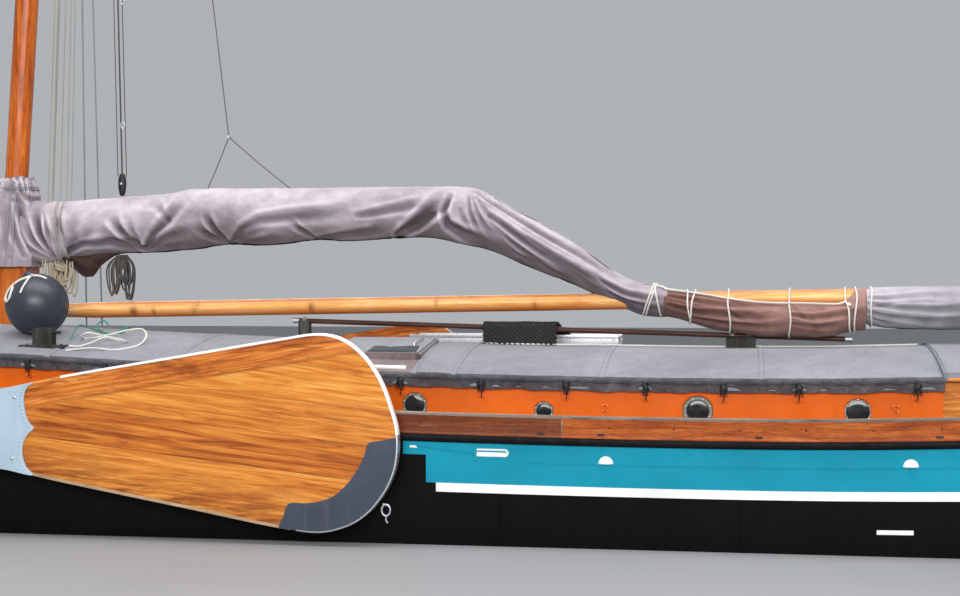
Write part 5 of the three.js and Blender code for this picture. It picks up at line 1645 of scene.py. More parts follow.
# Creases of the fore cover on its port side: points (x, z), width, depth
FORE_CREASES = [
    ([(-3.18, 2.90), (-3.25, 3.05), (-3.28, 3.3)], 0.035, 0.030),
    ([(-3.18, 2.90), (-3.12, 3.1), (-3.13, 3.36)], 0.03, 0.016),
    ([(-3.16, 2.90), (-3.02, 3.05), (-2.98, 3.3)], 0.035, 0.012),
    ([(-3.14, 2.92), (-2.95, 3.0), (-2.7, 3.02), (-2.45, 2.98)], 0.03, 0.020),
    ([(-3.12, 2.93), (-2.9, 3.08), (-2.8, 3.2)], 0.04, 0.012),
    ([(-2.39, 2.965), (-2.52, 3.06), (-2.62, 3.18), (-2.66, 3.26)], 0.034, 0.030),
    ([(-2.40, 2.965), (-2.6, 3.02), (-2.8, 3.12)], 0.04, 0.016),
    ([(-2.39, 2.97), (-2.47, 3.1), (-2.5, 3.22)], 0.028, 0.018),
    ([(-2.38, 2.96), (-2.26, 3.09), (-2.1, 3.22), (-2.0, 3.36), (-1.94, 3.47)], 0.04, 0.026),
    ([(-2.37, 2.96), (-2.18, 3.05), (-1.98, 3.1), (-1.86, 3.11)], 0.035, 0.020),
    ([(-2.36, 2.955), (-2.1, 3.0), (-1.86, 3.02)], 0.03, 0.010),
    ([(-2.1, 3.22), (-2.22, 3.36), (-2.42, 3.42)], 0.04, 0.012),
    ([(-1.56, 3.01), (-1.66, 3.12), (-1.72, 3.24), (-1.73, 3.3)], 0.026, 0.028),
    ([(-1.57, 3.01), (-1.72, 3.08), (-1.84, 3.15)], 0.028, 0.020),
    ([(-1.54, 3.01), (-1.4, 3.13), (-1.22, 3.21), (-0.95, 3.24), (-0.6, 3.26), (-0.3, 3.29)], 0.045, 0.022),
    ([(-1.53, 3.01), (-1.36, 3.08), (-1.15, 3.15)], 0.028, 0.018),
    ([(-1.52, 3.01), (-1.3, 3.03), (-1.05, 3.05)], 0.03, 0.012),
    ([(-0.73, 3.04), (-0.84, 3.12), (-0.95, 3.21)], 0.024, 0.020),
    ([(-0.71, 3.04), (-0.5, 3.07), (-0.2, 3.1), (0.05, 3.18)], 0.032, 0.014),
    ([(0.05, 3.07), (0.22, 3.17), (0.38, 3.29), (0.52, 3.4)], 0.050, 0.045),
    ([(0.12, 3.09), (0.3, 3.17), (0.43, 3.25), (0.5, 3.33)], 0.026, 0.022),
    ([(-0.3, 3.24), (-0.05, 3.28), (0.25, 3.33), (0.52, 3.42)], 0.040, 0.018),
    ([(0.55, 3.42), (0.50, 3.27), (0.53, 3.16), (0.68, 3.07), (0.9, 2.98)], 0.040, 0.032),
    ([(0.72, 3.42), (0.74, 3.28), (0.78, 3.17), (0.84, 3.08)], 0.022, 0.022),
    ([(0.76, 3.40), (0.80, 3.26), (0.86, 3.15), (0.93, 3.06)], 0.022, 0.018),
    ([(0.79, 3.40), (0.90, 3.24), (0.96, 3.14)], 0.022, 0.014),
    ([(0.64, 3.30), (0.68, 3.2), (0.75, 3.1)], 0.022, 0.010),
    ([(0.80, 3.44), (1.05, 3.28), (1.35, 3.09), (1.7, 2.9), (2.0, 2.72), (2.2, 2.6)], 0.026, 0.024),
    ([(0.92, 3.24), (1.2, 3.03), (1.5, 2.83), (1.8, 2.64), (2.0, 2.52)], 0.036, 0.022),
    ([(1.05, 3.05), (1.3, 2.86), (1.6, 2.68), (1.85, 2.52)], 0.030, 0.014),
    ([(1.25, 3.04), (1.5, 2.88), (1.8, 2.7), (2.1, 2.55)], 0.024, 0.012),
    ([(1.1, 2.92), (1.4, 2.76), (1.7, 2.6)], 0.024, 0.012),
    ([(1.9, 2.66), (2.1, 2.55), (2.3, 2.5), (2.48, 2.48)], 0.024, 0.018),
    ([(1.95, 2.56), (2.15, 2.46), (2.35, 2.42), (2.48, 2.41)], 0.022, 0.014),
    ([(2.0, 2.50), (2.2, 2.40), (2.36, 2.37)], 0.018, 0.010),
]
BROWN_ROWS = [
    (2.46, -0.02, 2.35, 2.585, 0.11), (2.6, -0.03, 2.315, 2.572, 0.12), (2.8, -0.045, 2.25, 2.545, 0.14),
    (3.02, -0.055, 2.205, 2.505, 0.152), (3.34, -0.06, 2.17, 2.475, 0.158),
    (3.7, -0.06, 2.165, 2.462, 0.158),
    (3.95, -0.055, 2.175, 2.46, 0.15), (4.04, -0.045, 2.2, 2.49, 0.144),
    (4.11, -0.03, 2.215, 2.565, 0.142), (4.2, -0.02, 2.225, 2.585, 0.14),
]
# x, lean of the lashing aft as it goes down
BROWN_TIES = [(2.66, 0.03), (2.73, -0.05), (3.02, 0.02), (3.55, 0.0), (4.03, 0.04), (4.12, -0.02)]
BROWN_CREASES = [
    ([(2.5, 2.52), (2.8, 2.47), (3.02, 2.44), (3.3, 2.46), (3.55, 2.43)], 0.022, 0.014),
    ([(2.5, 2.44), (2.75, 2.38), (3.02, 2.36), (3.3, 2.33), (3.55, 2.35)], 0.026, 0.016),
    ([(2.7, 2.33), (3.0, 2.28), (3.3, 2.25), (3.55, 2.27)], 0.022, 0.014),
    ([(3.02, 2.5), (3.2, 2.52), (3.4, 2.5), (3.55, 2.48)], 0.016, 0.010),
    ([(3.55, 2.45), (3.8, 2.47), (4.03, 2.46), (4.18, 2.45)], 0.022, 0.014),
    ([(3.55, 2.36), (3.75, 2.33), (4.0, 2.36), (4.18, 2.38)], 0.026, 0.016),
    ([(3.55, 2.28), (3.8, 2.25), (4.03, 2.28)], 0.02, 0.012),
    ([(3.02, 2.4), (3.1, 2.34), (3.2, 2.3)], 0.016, 0.010),
    ([(3.55, 2.5), (3.6, 2.4), (3.7, 2.3)], 0.014, 0.008),
]
AFT_ROWS = [
    (4.205, 0, 2.275, 2.575, 0.14), (4.26, 0, 2.262, 2.592, 0.152), (4.37, 0, 2.245, 2.6, 0.16),
    (5.0, 0, 2.24, 2.605, 0.17),
    (5.7, 0, 2.26, 2.61, 0.16), (6.05, 0, 2.3, 2.62, 0.14), (6.22, 0, 2.33, 2.58, 0.11),
    (6.3, 0, 2.4, 2.52, 0.06),
]
AFT_CREASES = [
    ([(4.22, 2.5), (4.4, 2.5), (4.7, 2.53), (5.1, 2.52)], 0.022, 0.012),
    ([(4.22, 2.45), (4.45, 2.42), (4.8, 2.4), (5.3, 2.42)], 0.026, 0.014),
    ([(4.22, 2.38), (4.4, 2.34), (4.7, 2.3), (5.1, 2.3)], 0.024, 0.012),
    ([(4.22, 2.54), (4.32, 2.56), (4.5, 2.57)], 0.012, 0.007),
    ([(4.22, 2.42), (4.34, 2.44), (4.5, 2.47)], 0.014, 0.007),
    ([(4.22, 2.34), (4.32, 2.3), (4.44, 2.27)], 0.014, 0.007),
    ([(5.4, 2.5), (5.7, 2.46), (6.1, 2.47)], 0.024, 0.012),
    ([(5.3, 2.36), (5.7, 2.34), (6.15, 2.4)], 0.024, 0.010),
]
INNER_ROWS = [
    (-3.22, 0, 2.84, 2.93, 0.05), (-3.1, 0, 2.775, 2.93, 0.085), (-3.0, 0, 2.70, 2.94, 0.095),
    (-2.92, 0, 2.70, 2.95, 0.09),
    (-2.84, 0, 2.80, 2.97, 0.08), (-2.72, 0, 2.89, 2.99, 0.06), (-2.6, 0, 2.94, 3.01, 0.04),
]
INNER_CREASES = [([(-3.17, 2.9), (-3.03, 2.80), (-2.93, 2.72)], 0.022, 0.016),
                 ([(-3.12, 2.86), (-3.02, 2.76), (-2.97, 2.70)], 0.016, 0.012)]
BOOM_TIES_AFT = [(4.245, 0.0), (5.35, 0.02), (6.0, -0.01)]


def set_painted_shade_and_knots(thing, values):
    """Keeps a value for each corner that the material reads: painted shade (positive) and painted highlight
    (negative) on the cloth, and how dark the knots are on the boom.
    """
    layer = thing.data.attributes.new("fold", "FLOAT", "POINT")
    for item, value in zip(layer.data, values):
        item.value = value


def crease_depth(x, z, creases):
    """How far the creases push the cloth in at (x, z), positive inward with raised lips on both sides."""
    total = 0.0
    for points, width, depth in creases:
        if x < min(p[0] for p in points) - 3 * width or x > max(p[0] for p in points) + 3 * width:
            continue
        best, at, done, length = 9.0, 0.0, 0.0, 0.0
        for (x0, z0), (x1, z1) in zip(points, points[1:]):
            length += math.hypot(x1 - x0, z1 - z0)
        for (x0, z0), (x1, z1) in zip(points, points[1:]):
            dx, dz = x1 - x0, z1 - z0
            size = math.hypot(dx, dz)
            t = min(max(((x - x0) * dx + (z - z0) * dz) / (size * size), 0), 1)
            gap = math.hypot(x - x0 - t * dx, z - z0 - t * dz)
            if gap < best:
                best, at = gap, (done + t * size) / length
            done += size
        if best > 3 * width:
            continue
        taper = min(1.0, (1 - at) * 2.6 + 0.05) * min(1.0, at * 9 + 0.55)
        spread = width * (0.65 + 0.9 * at)
        s = best / spread
        lip = math.exp(-((s - 1.45) / 0.62) ** 2)
        total += depth * taper * (math.exp(-s * s) - 0.55 * lip)
    return total


def bundle(name, body, rows, creases, ties, looks, node, tent=0.22, step=0.016, around=112,
           ripple=0.005, shaded_underside=False,
           seed=0.0, deepen=1.0, mouth=0.0, pinch=0.0, shade=0.25, painted_slope_shade=0.0):
    """Cloth drawn round a long bundle: an oval that hangs in, with creases, ripples and
    scalloped lower edge. Its fold values carry painted shade for the creases, the gathers at the ties,
    the lower half and the after slope, and painted highlight along the top."""
    shape = Shape()
    painted_shading = []
    start, end = rows[0][0], rows[-1][0]
    count = int((end - start) / step)
    rings = []
    for i in range(count + 1):
        x = start + (end - start) * i / count
        mid_y, low, high, half = table_at(rows, x)
        slack = min((abs(x - t) for t in ties), default=1)
        low -= 0.010 * smooth_step(0.02, 0.3, slack)
        ring = []
        for j in range(around):
            a = 2 * math.pi * j / around
            # a is 0 at the top and turns to port first
            down = (1 - math.cos(a)) / 2
            wide = math.sin(a) * (1 + tent * (down - 0.5) * 2) * (1 - 0.12 * down ** 3)
            wide *= 1 - pinch * math.exp(-(slack / 0.14) ** 2) * smooth_step(0.35, 1.0, down)
            y = -half * wide
            z = high - (high - low) * down ** (1 + 0.12 * tent)
            side = -1 if math.sin(a) > 0 else 1
            push = crease_depth(x + (0.0 if side < 0 else 0.07), z, creases)
            edge = abs(math.sin(a)) ** 0.6
            # Painted shade from crease depth, the gathers at the ties, the lower half and the after slope;
            # painted highlight along the top
            painted_shading.append(push * edge / 0.03 + 0.25 * pinch * math.exp(-(slack / 0.22) ** 2)
                         * smooth_step(0.3, 0.9, down)
                         + shade * smooth_step(0.42, 0.95,
                                               down) - 0.1 * (1 - smooth_step(0.1, 0.35,
                                                   down)) + painted_slope_shade * smooth_step(0.5, 1.2, x))
            push *= edge * deepen
            rip = wobble(x * 3.2 + seed, z * 4.0, side * 3.0) * ripple * 1.4
            rip += wobble(x * 11 + z * 6 + seed, z * 9 - x * 3, side * 5.0) * ripple * 0.75
            rip += wobble(x * 30 + seed, z * 26, side * 7.0) * ripple * 0.12
            n = Vector((0, -math.sin(a) * (high - low) * 0.5, math.cos(a) * half)).normalized()
            off = -push + rip
            slant = mouth * min(max((z - low) / 0.55, 0), 1) * (1 - smooth_step(start, start + 0.5, x))
            ring.append((x + slant, mid_y + y + n.y * off, z + n.z * off * 0.7))
        rings.append(ring)
    n = around
    verts = [p for ring in rings for p in ring]
    faces, marks = [], []
    for i in range(count):
        for j in range(n):
            k = (j + 1) % n
            under = (j + 0.5) / n
            # With the dark underside set, a slit is left along the bottom and the strip beside it takes the
            # second look as painted shade
            if shaded_underside and 0.478 < under < 0.522:
                continue
            faces.append((i * n + j, i * n + k, (i + 1) * n + k, (i + 1) * n + j))
            marks.append(1 if shaded_underside and 0.455 < under < 0.545 else 0)
    if not shaded_underside:
        faces += [tuple(range(n))[::-1], tuple(count * n + j for j in range(n))]
        marks += [0, 0]
    shape.put(verts, faces, 0)
    shape.marks = marks
    made = shape.piece(name, body, looks, [node] if node else [], sharp=180)
    set_painted_shade_and_knots(made, painted_shading)
    return made


def make_covers():
    # The fore cover gets strong painted shade on its lower half and its after slope
    fore = bundle("sail_cover_fore_cloth", "boom", FORE_ROWS, FORE_CREASES, FORE_TIES, [COVER, SEAM_AND_UNDERSIDE_SHADE],
                  "sail_cover_fore",
                  tent=-0.20, shaded_underside=True, ripple=0.006, deepen=1.7, mouth=-0.15, pinch=0.38, shade=0.8,
                  painted_slope_shade=0.28)
    brown = bundle("furled_sail_cloth", "boom", BROWN_ROWS, BROWN_CREASES, [t for t, _ in BROWN_TIES],
                   [SAIL], "sail_furled",
                   tent=0.0, ripple=0.008, step=0.012, seed=5.0, deepen=1.5, pinch=0.12)
    aft = bundle("sail_cover_aft_cloth", "boom", AFT_ROWS, AFT_CREASES, [t for t, _ in BOOM_TIES_AFT],
                 [COVER_AFT, SEAM_AND_UNDERSIDE_SHADE],
                 "sail_cover_aft", tent=-0.05, ripple=0.005, seed=9.0, shaded_underside=True, deepen=1.6, pinch=0.15)
    # Sail that shows under the mouth of the fore cover, in the darker copy of the brown sail as painted
    # shade
    inner = bundle("sail_under_cover", "boom", INNER_ROWS, INNER_CREASES, [-2.9], [SAIL_PAINTED_SHADE],
                   None,
                   tent=0.0, ripple=0.010, step=0.012, around=64, seed=3.0, deepen=1.5, pinch=0.2)

    # Dark seam along the crest of the sloping part
    seam = []
    for k in range(50):
        x = 0.93 + 1.42 * k / 49
        mid_y, low, high, half = table_at(FORE_ROWS, x)
        seam.append(Vector((x, -0.3 * half, high - 0.012 + 0.003 * math.sin(11 * x))))
    crest = Shape()
    crest.tube(seam, 0.0075, 8, 0)
    crest.piece("cover_seam", "boom", [SEAM_AND_UNDERSIDE_SHADE], ())

    ties = Shape()
    for i, (x, lean) in enumerate(BROWN_TIES + BOOM_TIES_AFT):
        rows = BROWN_ROWS if x < 4.2 else AFT_ROWS
        points = []
        for k in range(32):
            a = 2 * math.pi * k / 32
            xx = x + lean * (1 - math.cos(a)) / 2 + 0.006 * math.sin(3 * a + i)
            mid_y, low, high, half = table_at(rows, xx)
            grow = 0.010
            y, z = mid_y - (half + grow) * math.sin(a), (low + high) / 2 + ((high - low) / 2
                + grow) * math.cos(a)
            # Over the boom where it stands out of the bundle
            if math.cos(a) > 0 and abs(y) < 0.088:
                z = max(z, boom_z(xx) + math.sqrt(0.088 ** 2 - y * y))
            points.append(Vector((xx, y, z)))
        ties.tube(points, 0.0075, 8, 0, closed=True)
    # Doubled loops at the end of the fore cover
    for i, x in enumerate((2.31, 2.335, 2.39)):
        points = []
        for k in range(32):
            a = 2 * math.pi * k / 32
            xx = x + (0.05 if i < 2 else -0.03) * math.cos(a) + 0.01
            mid_y, low, high, half = table_at(FORE_ROWS, min(xx, 2.49))
            points.append(Vector((xx, -(half + 0.011) * math.sin(a),
                                  (low + high) / 2 + ((high - low) / 2 + 0.011) * math.cos(a))))
        ties.tube(points, 0.0085, 8, 0, closed=True)
    # Line along the top of the bundle, from lashing to lashing
    top = []
    for k in range(60):
        x = 2.36 + 1.67 * k / 59
        mid_y, low, high, half = table_at(BROWN_ROWS if x > 2.47 else FORE_ROWS, x)
        y = mid_y - 0.62 * half
        top.append(Vector((x, y,
                           (low + high) / 2 + (high - low) / 2 * math.sqrt(1 - 0.62 ** 2) + 0.024 + 0.003
                           * math.sin(9 * x))))
    ties.tube(top, 0.0085, 8, 0)
    for x, y, z in ((2.35, -0.118, 2.54), (2.70, -0.142, 2.45), (4.05, -0.168, 2.44)):
        knot = [Vector((x + 0.013 * math.sin(2 * t), y - 0.010 * math.cos(3 * t),
                        z + 0.017 * math.cos(t) * math.sin(1.5 * t)))
                for t in angles(24)]
        ties.tube(knot, 0.0085, 7, 0, closed=True)
    ties.piece("sail_lashings", "boom", [WHITE_ROPE], ())


# z, half length fore, half length aft, half width
COLLAR_ROWS = [
    (2.79, 0.25, 0.235, 0.215), (3.05, 0.24, 0.232, 0.212), (3.3, 0.228, 0.22, 0.204),
    (3.42, 0.212, 0.206, 0.193),
    (3.49, 0.196, 0.196, 0.184), (3.53, 0.18, 0.18, 0.176), (3.56, 0.172, 0.176, 0.178),
    (3.59, 0.16, 0.166, 0.176), (3.61, 0.15, 0.158, 0.165),
    (3.63, 0.145, 0.155, 0.155), (3.64, 0.15, 0.165, 0.16),
]
COLLAR_CREASES = [
    ([(-3.45, 2.9), (-3.52, 3.1), (-3.57, 3.35), (-3.6, 3.52)], 0.03, 0.022),
    ([(-3.52, 2.88), (-3.62, 3.1), (-3.66, 3.3)], 0.03, 0.014),
    ([(-3.66, 2.86), (-3.7, 3.1), (-3.69, 3.4)], 0.03, 0.012),
    ([(-3.84, 2.86), (-3.8, 3.1), (-3.78, 3.4)], 0.03, 0.014),
    ([(-3.6, 3.56), (-3.52, 3.44), (-3.44, 3.38)], 0.02, 0.016),
    ([(-3.76, 3.5), (-3.66, 3.42), (-3.55, 3.4)], 0.018, 0.010),
]
THROAT_ROWS = [
    (-3.62, 0, 2.83, 3.40, 0.19), (-3.5, 0, 2.825, 3.42, 0.19), (-3.42, 0, 2.825, 3.415, 0.178),
    (-3.34, 0, 2.83, 3.40, 0.162),
    (-3.26, 0, 2.85, 3.385, 0.148), (-3.14, 0, 2.875, 3.375, 0.14),
]
THROAT_CREASES = [
    ([(-3.27, 2.87), (-3.38, 3.1), (-3.44, 3.38)], 0.030, 0.030),
    ([(-3.29, 2.87), (-3.43, 3.02), (-3.52, 3.2)], 0.024, 0.020),
    ([(-3.31, 2.86), (-3.46, 2.94), (-3.58, 3.02)], 0.022, 0.014),
    ([(-3.26, 2.88), (-3.31, 3.1), (-3.33, 3.36)], 0.020, 0.018),
]


def make_collar():
    """Cover's collar round the mast well, gathered at the top, and the throat of cloth that
    joins it to the bundle."""
    shape = Shape()
    rings, painted_shading = [], []
    levels = 72
    around = 144
    for i in range(levels + 1):
        t = i / levels
        z = 2.79 + 0.85 * t
        fore, aft, half = table_at(COLLAR_ROWS, z)
        lean = max(0.0, z - PIN_Z) * math.tan(RAKE)
        neck = smooth_step(3.44, 3.54, z)
        power = 0.5 + 0.5 * smooth_step(3.585, 3.62, z)
        ring = []
        for j in range(around):
            a = 2 * math.pi * j / around
            c = rounded(math.cos(a), power)
            s = rounded(math.sin(a), power)
            x = (aft if c > 0 else fore) * c
            y = half * s
            pleat = math.sin(19 * a + 2.0 * math.sin(3 * a)) * (0.003 + 0.006 * neck)
            soft = 0.009 * math.sin(7 * a + 2.4 * t + 1.4 * math.sin(2 * a)) * (1 - neck)
            soft += 0.010 * wobble(a * 3, t * 2.2, 1.0) + 0.004 * wobble(a * 8, t * 7, 4.0)
            push = crease_depth(MAST_X + x, z, COLLAR_CREASES) * 1.3 * (1 - 0.5 * neck)
            hem = 0.018 * wobble(a * 1.7, 0, 3) * smooth_step(0.12, 0.0, t)
            off = pleat + soft - push * 0.8
            size = math.hypot(x, y)
            ring.append((MAST_X + lean + x * (1 + off / size), y * (1 + off / size),
                         z + hem + 0.010 * math.sin(5 * a) * smooth_step(0.96, 1.0, t)))
            # Painted shade in the creases and pleat hollows, painted highlight on the pleat crests
            painted_shading.append(push / 0.03 - pleat * 60 * neck)
        rings.append(ring)
    shape.rings(rings, 0)
    collar = shape.piece("collar_cloth", None, [COVER], ["cover_collar"], sharp=180)
    set_painted_shade_and_knots(collar, painted_shading)
    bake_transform(collar)

    throat = Shape()
    rings, painted_shading = [], []
    for i in range(52):
        x = -3.62 + 0.48 * i / 51
        mid_y, low, high, half = table_at(THROAT_ROWS, x)
        ring = []
        for j in range(112):
            a = 2 * math.pi * j / 112
            down = (1 - math.cos(a)) / 2
            z = high - (high - low) * down
            push = crease_depth(x, z, THROAT_CREASES) * abs(math.sin(a)) ** 0.6
            fold = 0.008 * wobble(x * 7, z * 5, math.copysign(2, math.sin(a))) - push * 1.2
            ring.append((x, -(half + fold) * rounded(math.sin(a), 0.8), z + 0.006 * wobble(x * 8, a, 3)))
            # Painted shade in the throat's creases
            painted_shading.append(push / 0.025)
        rings.append(ring)
    throat.rings(rings, 0)
    made = throat.piece("collar_throat", None, [COVER], (), sharp=180)
    set_painted_shade_and_knots(made, painted_shading)
    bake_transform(made)

    # Lashing round the neck and the two grey lines that hang from it down the port side
    cords = Shape()
    for k, (z, grow) in enumerate(((3.53, 0.004), (3.542, 0.005), (3.52, 0.006))):
        fore, aft, half = table_at(COLLAR_ROWS, z)
        turn = []
        for j in range(48):
            a = 2 * math.pi * j / 48
            c = rounded(math.cos(a), 0.5)
            d = rounded(math.sin(a), 0.5)
            turn.append(Vector((MAST_X + 0.006 + (fore + grow) * c, (half + grow) * d,
                                z + 0.008 * math.sin(a + k))))
        cords.tube(turn, 0.0055, 7, 0, closed=True)
    for x0, x1 in ((-3.655, -3.70), (-3.60, -3.63)):
        drop = []
        for k in range(24):
            t = k / 23
            z = 3.53 - 0.74 * t
            fore, aft, half = table_at(COLLAR_ROWS, z)
            x = x0 + (x1 - x0) * t
            drop.append(Vector((x, -(half + 0.014) * (1.0 if t > 0.12 else 0.93 + 0.07 * t / 0.12), z)))
        cords.tube(drop, 0.005, 7, 0)
    made = cords.piece("collar_lashing", None, [WIRE, TAN_ROPE], ())
    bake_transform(made)


# Wires and running rigging
def make_rigging():
    for name, side in SIDES.items():
        shape = Shape()
        for x in CHAINS:
            foot = Vector((x, side * CHAIN_Y, SHROUD_LOW))
            top = on_mast(HOUNDS, 0, side * 0.12)
            shape.tube([foot.lerp(top, k / 24) for k in range(25)], 0.009, 8, 0)
            run = (top - foot).normalized()
            shape.lathe([(0.0, 0.0), (0.014, 0.0), (0.018, 0.012), (0.018, 0.1), (0.012, 0.16),
                         (0.009, 0.2)], foot, run, 12, 1)
            shape.lathe([(0.0, 0.0), (0.026, 0.004), (0.026, 0.02), (0.0, 0.024)], foot + run * 0.3, run,
                        12, 2)
        shape.lathe([(0.0, -0.05), (0.02, -0.05), (0.022, -0.04), (0.022, 0.04), (0.02, 0.05), (0.0, 0.05)],
                    on_mast(HOUNDS, 0, side * 0.126), on_mast(1) - on_mast(0), 16, 1)
        shape.piece(f"shroud_wires_{name}", "mast", [WIRE, GALVANISED, RUBBER], [f"shrouds_{name}"],
                    sharp=45)

        plates = Shape()
        for x in CHAINS:
            plates.block((x - 0.024, side * 1.9 if side > 0 else -1.99, 1.21),
                         (x + 0.024, 1.99 if side > 0 else side * 1.9, 1.30), 0.004, 0)
            rod = [Vector((x, side * 1.955, 1.25)), Vector((x, side * 1.955, 1.62)),
                   Vector((x, side * 1.94, 1.72)), Vector((x, side * CHAIN_Y, 1.80)),
                   Vector((x, side * CHAIN_Y, 1.955))]
            plates.tube(catmull(rod, 6), 0.0135, 10, 0)
            plates.lathe([(0.0, 0.0), (0.019, 0.0), (0.021, 0.01), (0.021, 0.15), (0.019, 0.16),
                          (0.0, 0.16)], (x, side * CHAIN_Y, 1.77), (0, 0, 1), 12, 1)
        plates.block((CHAINS[0] - 0.03, min(side * 1.925, side * 1.972), 1.205),
                     (CHAINS[1] + 0.03, max(side * 1.925, side * 1.972), 1.258), 0.004, 0)
        plates.piece(f"chainplate_irons_{name}", "barge", [GALVANISED, ALUMINIUM], (),
                     sharp=45)
        repaint(f"chainplates_{name}", GALVANISED)

    stay = Shape()
    foot, top = Vector(STAY_FOOT), on_mast(HOUNDS, -0.13)
    stay.tube([foot.lerp(top, k / 30) for k in range(31)], 0.011, 8, 0)
    run = (top - foot).normalized()
    stay.lathe([(0.0, 0.0), (0.016, 0.0), (0.02, 0.012), (0.02, 0.16), (0.014, 0.22), (0.011, 0.26)], foot,
               run, 12, 1)
    stay.lathe([(0.0, -0.05), (0.022, -0.05), (0.022, 0.05), (0.0, 0.05)], on_mast(HOUNDS, -0.128),
               on_mast(1) - on_mast(0), 16, 1)
    stay.piece("forestay_wire", "mast", [WIRE, GALVANISED], ["forestay"], sharp=45)

    # Halyards down the after side of the mast. Their tails run on over the cover's mouth
    lines = Shape()
    for x, y, low, high, r in (
        (-3.345, -0.06, 3.36, 9.5, 0.0070), (-3.318, -0.03, 3.36, 9.5, 0.0070),
        (-3.225, -0.05, 3.44, 11.1, 0.0065),
        (-3.165, -0.04, 3.44, 11.1, 0.0065), (-3.135, 0.0, 3.42, 11.15, 0.0055),
        (-3.36, 0.08, 3.36, 9.5, 0.0070),
    ):
        top, foot = on_mast(high, 0.11, y * 0.6), Vector((x, y, low))
        lines.tube([foot.lerp(top, k / 30) for k in range(31)], r, 7, 0)
    made = lines.piece("halyards", "barge", [HALYARD], ())
    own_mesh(made)

    # Coils under the cover, where the halyards end, and the hank under the hoisting tackle
    coils = Shape()
    for x, foot in ((-3.225, -3.20), (-3.165, -3.175)):
        run = [(x, -0.05, 3.425), (x, -0.115, 3.40), (x + 0.003, -0.168, 3.33),
               ((x + foot) / 2, -0.196, 3.2), ((x + foot) / 2, -0.200, 3.08),
               (foot, -0.185, 2.95), (foot + 0.004, -0.145, 2.86), (foot + 0.006, -0.08, 2.82)]
        coils.tube(catmull(run, 6), 0.005, 7, 1)
    for k in range(15):
        x = -3.36 + 0.27 * ((k * 7) % 15) / 14
        y = -0.11 + 0.16 * ((k * 4) % 15) / 14
        length = 0.13 + 0.19 * abs(math.sin(k * 2.3))
        wide = 0.016 + 0.026 * abs(math.sin(k * 1.7))
        lean = 0.085 * math.sin(k * 3.1)
        top = 2.85 - 0.01 * (k % 3)
        loop = [(x - wide, y, top), (x - wide * 1.3 + lean * 0.5, y + 0.01, top - length * 0.5),
                (x - wide + lean, y, top - length * 0.9), (x + lean, y - 0.006, top - length),
                (x + wide + lean, y - 0.01, top - length * 0.88),
                (x + wide * 1.4 + lean * 0.5, y - 0.015, top - length * 0.45), (x + wide, y - 0.01, top)]
        coils.tube(catmull(loop, 6), 0.0075, 7, 0)
    for k in range(3):
        coils.tube([Vector((-3.21 + 0.06 * math.cos(a), -0.045 + 0.085 * math.sin(a),
                            2.80 - 0.018 * k + 0.012 * math.sin(2 * a))) for a in angles(28)],
                   0.008, 7, 0, closed=True)
    coils.piece("halyard_coils", "boom", [TAN_ROPE, HALYARD], ())

    hank = Shape()
    for k in range(16):
        x = -2.63 + 0.085 * math.sin(k * 2.4)
        y = 0.0 + 0.05 * math.cos(k * 1.9)
        length = 0.30 + 0.09 * math.sin(k * 1.3)
        wide = 0.03 + 0.012 * math.sin(k * 3.7)
        loop = [(x * 0.4 - 2.63 * 0.6, y * 0.4, 2.90), (x - wide, y, 2.80),
                (x - wide * 1.2, y + 0.01, 2.88 - length * 0.7), (x, y, 2.87 - length),
                (x + wide * 1.2, y - 0.01, 2.88 - length * 0.72), (x + wide, y, 2.80),
                (x * 0.4 - 2.63 * 0.6 + 0.01, y * 0.4, 2.90)]
        hank.tube(catmull(loop, 6), 0.0075, 7, 0 if k % 5 else 1)
    for k in range(4):
        hank.tube([Vector((-2.63 + 0.045 * math.cos(a), 0.04 * math.sin(a),
                           2.825 - 0.016 * k + 0.004 * math.sin(2 * a))) for a in angles(24)],
                  0.0075, 7, 1, closed=True)
    hank.piece("tackle_hank", "boom", [DARK_LINE, BROWN_ROPE], ())

    head = on_mast(11.15, 0.12)
    lifts = Shape()
    apex = Vector((-1.581, 0, 3.997))
    for foot in ((-1.795, 0, 3.5), (-0.974, 0, 3.5)):
        lifts.tube([apex.lerp(Vector(foot), k / 8) + Vector((0, 0, -0.01 * math.sin(math.pi * k / 8)))
                    for k in range(9)], 0.005, 7, 0)
    lifts.tube([apex.lerp(head, k / 24) for k in range(25)], 0.005, 7, 0)
    lifts.lathe([(0.0, -0.02), (0.012, -0.02), (0.016, 0.0), (0.012, 0.02), (0.0, 0.02)], apex, (0, 1, 0),
                12, 1)
    made = lifts.piece("topping_lift", "boom", [BROWN_ROPE, GALVANISED], ())
    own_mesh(made)

    hoist = Shape()
    base = Vector((-2.63, -0.02, 3.47))
    masthead = on_mast(11.15, 0.12, -0.04)
    block_at = Vector((-2.62, -0.02, 3.57))
    # Long tapered block that stands on the cover
    shell = []
    for z, wide in ((-0.115, 0.012), (-0.10, 0.026), (-0.05, 0.036), (0.0, 0.040), (0.05, 0.036),
                    (0.085, 0.026), (0.10, 0.012)):
        shell.append([(block_at.x + wide * math.cos(a), block_at.y + 0.75 * wide * math.sin(a),
                       block_at.z + z)
                      for a in angles(20)])
    hoist.rings(shell, 1, caps=True)
    for side in (-1, 1):
        hoist.lathe([(0.0, -0.004), (0.012, -0.004), (0.012, 0.004), (0.0, 0.006)],
                    block_at + Vector((0, side * 0.031, 0)), (0, side, 0), 12, 2)
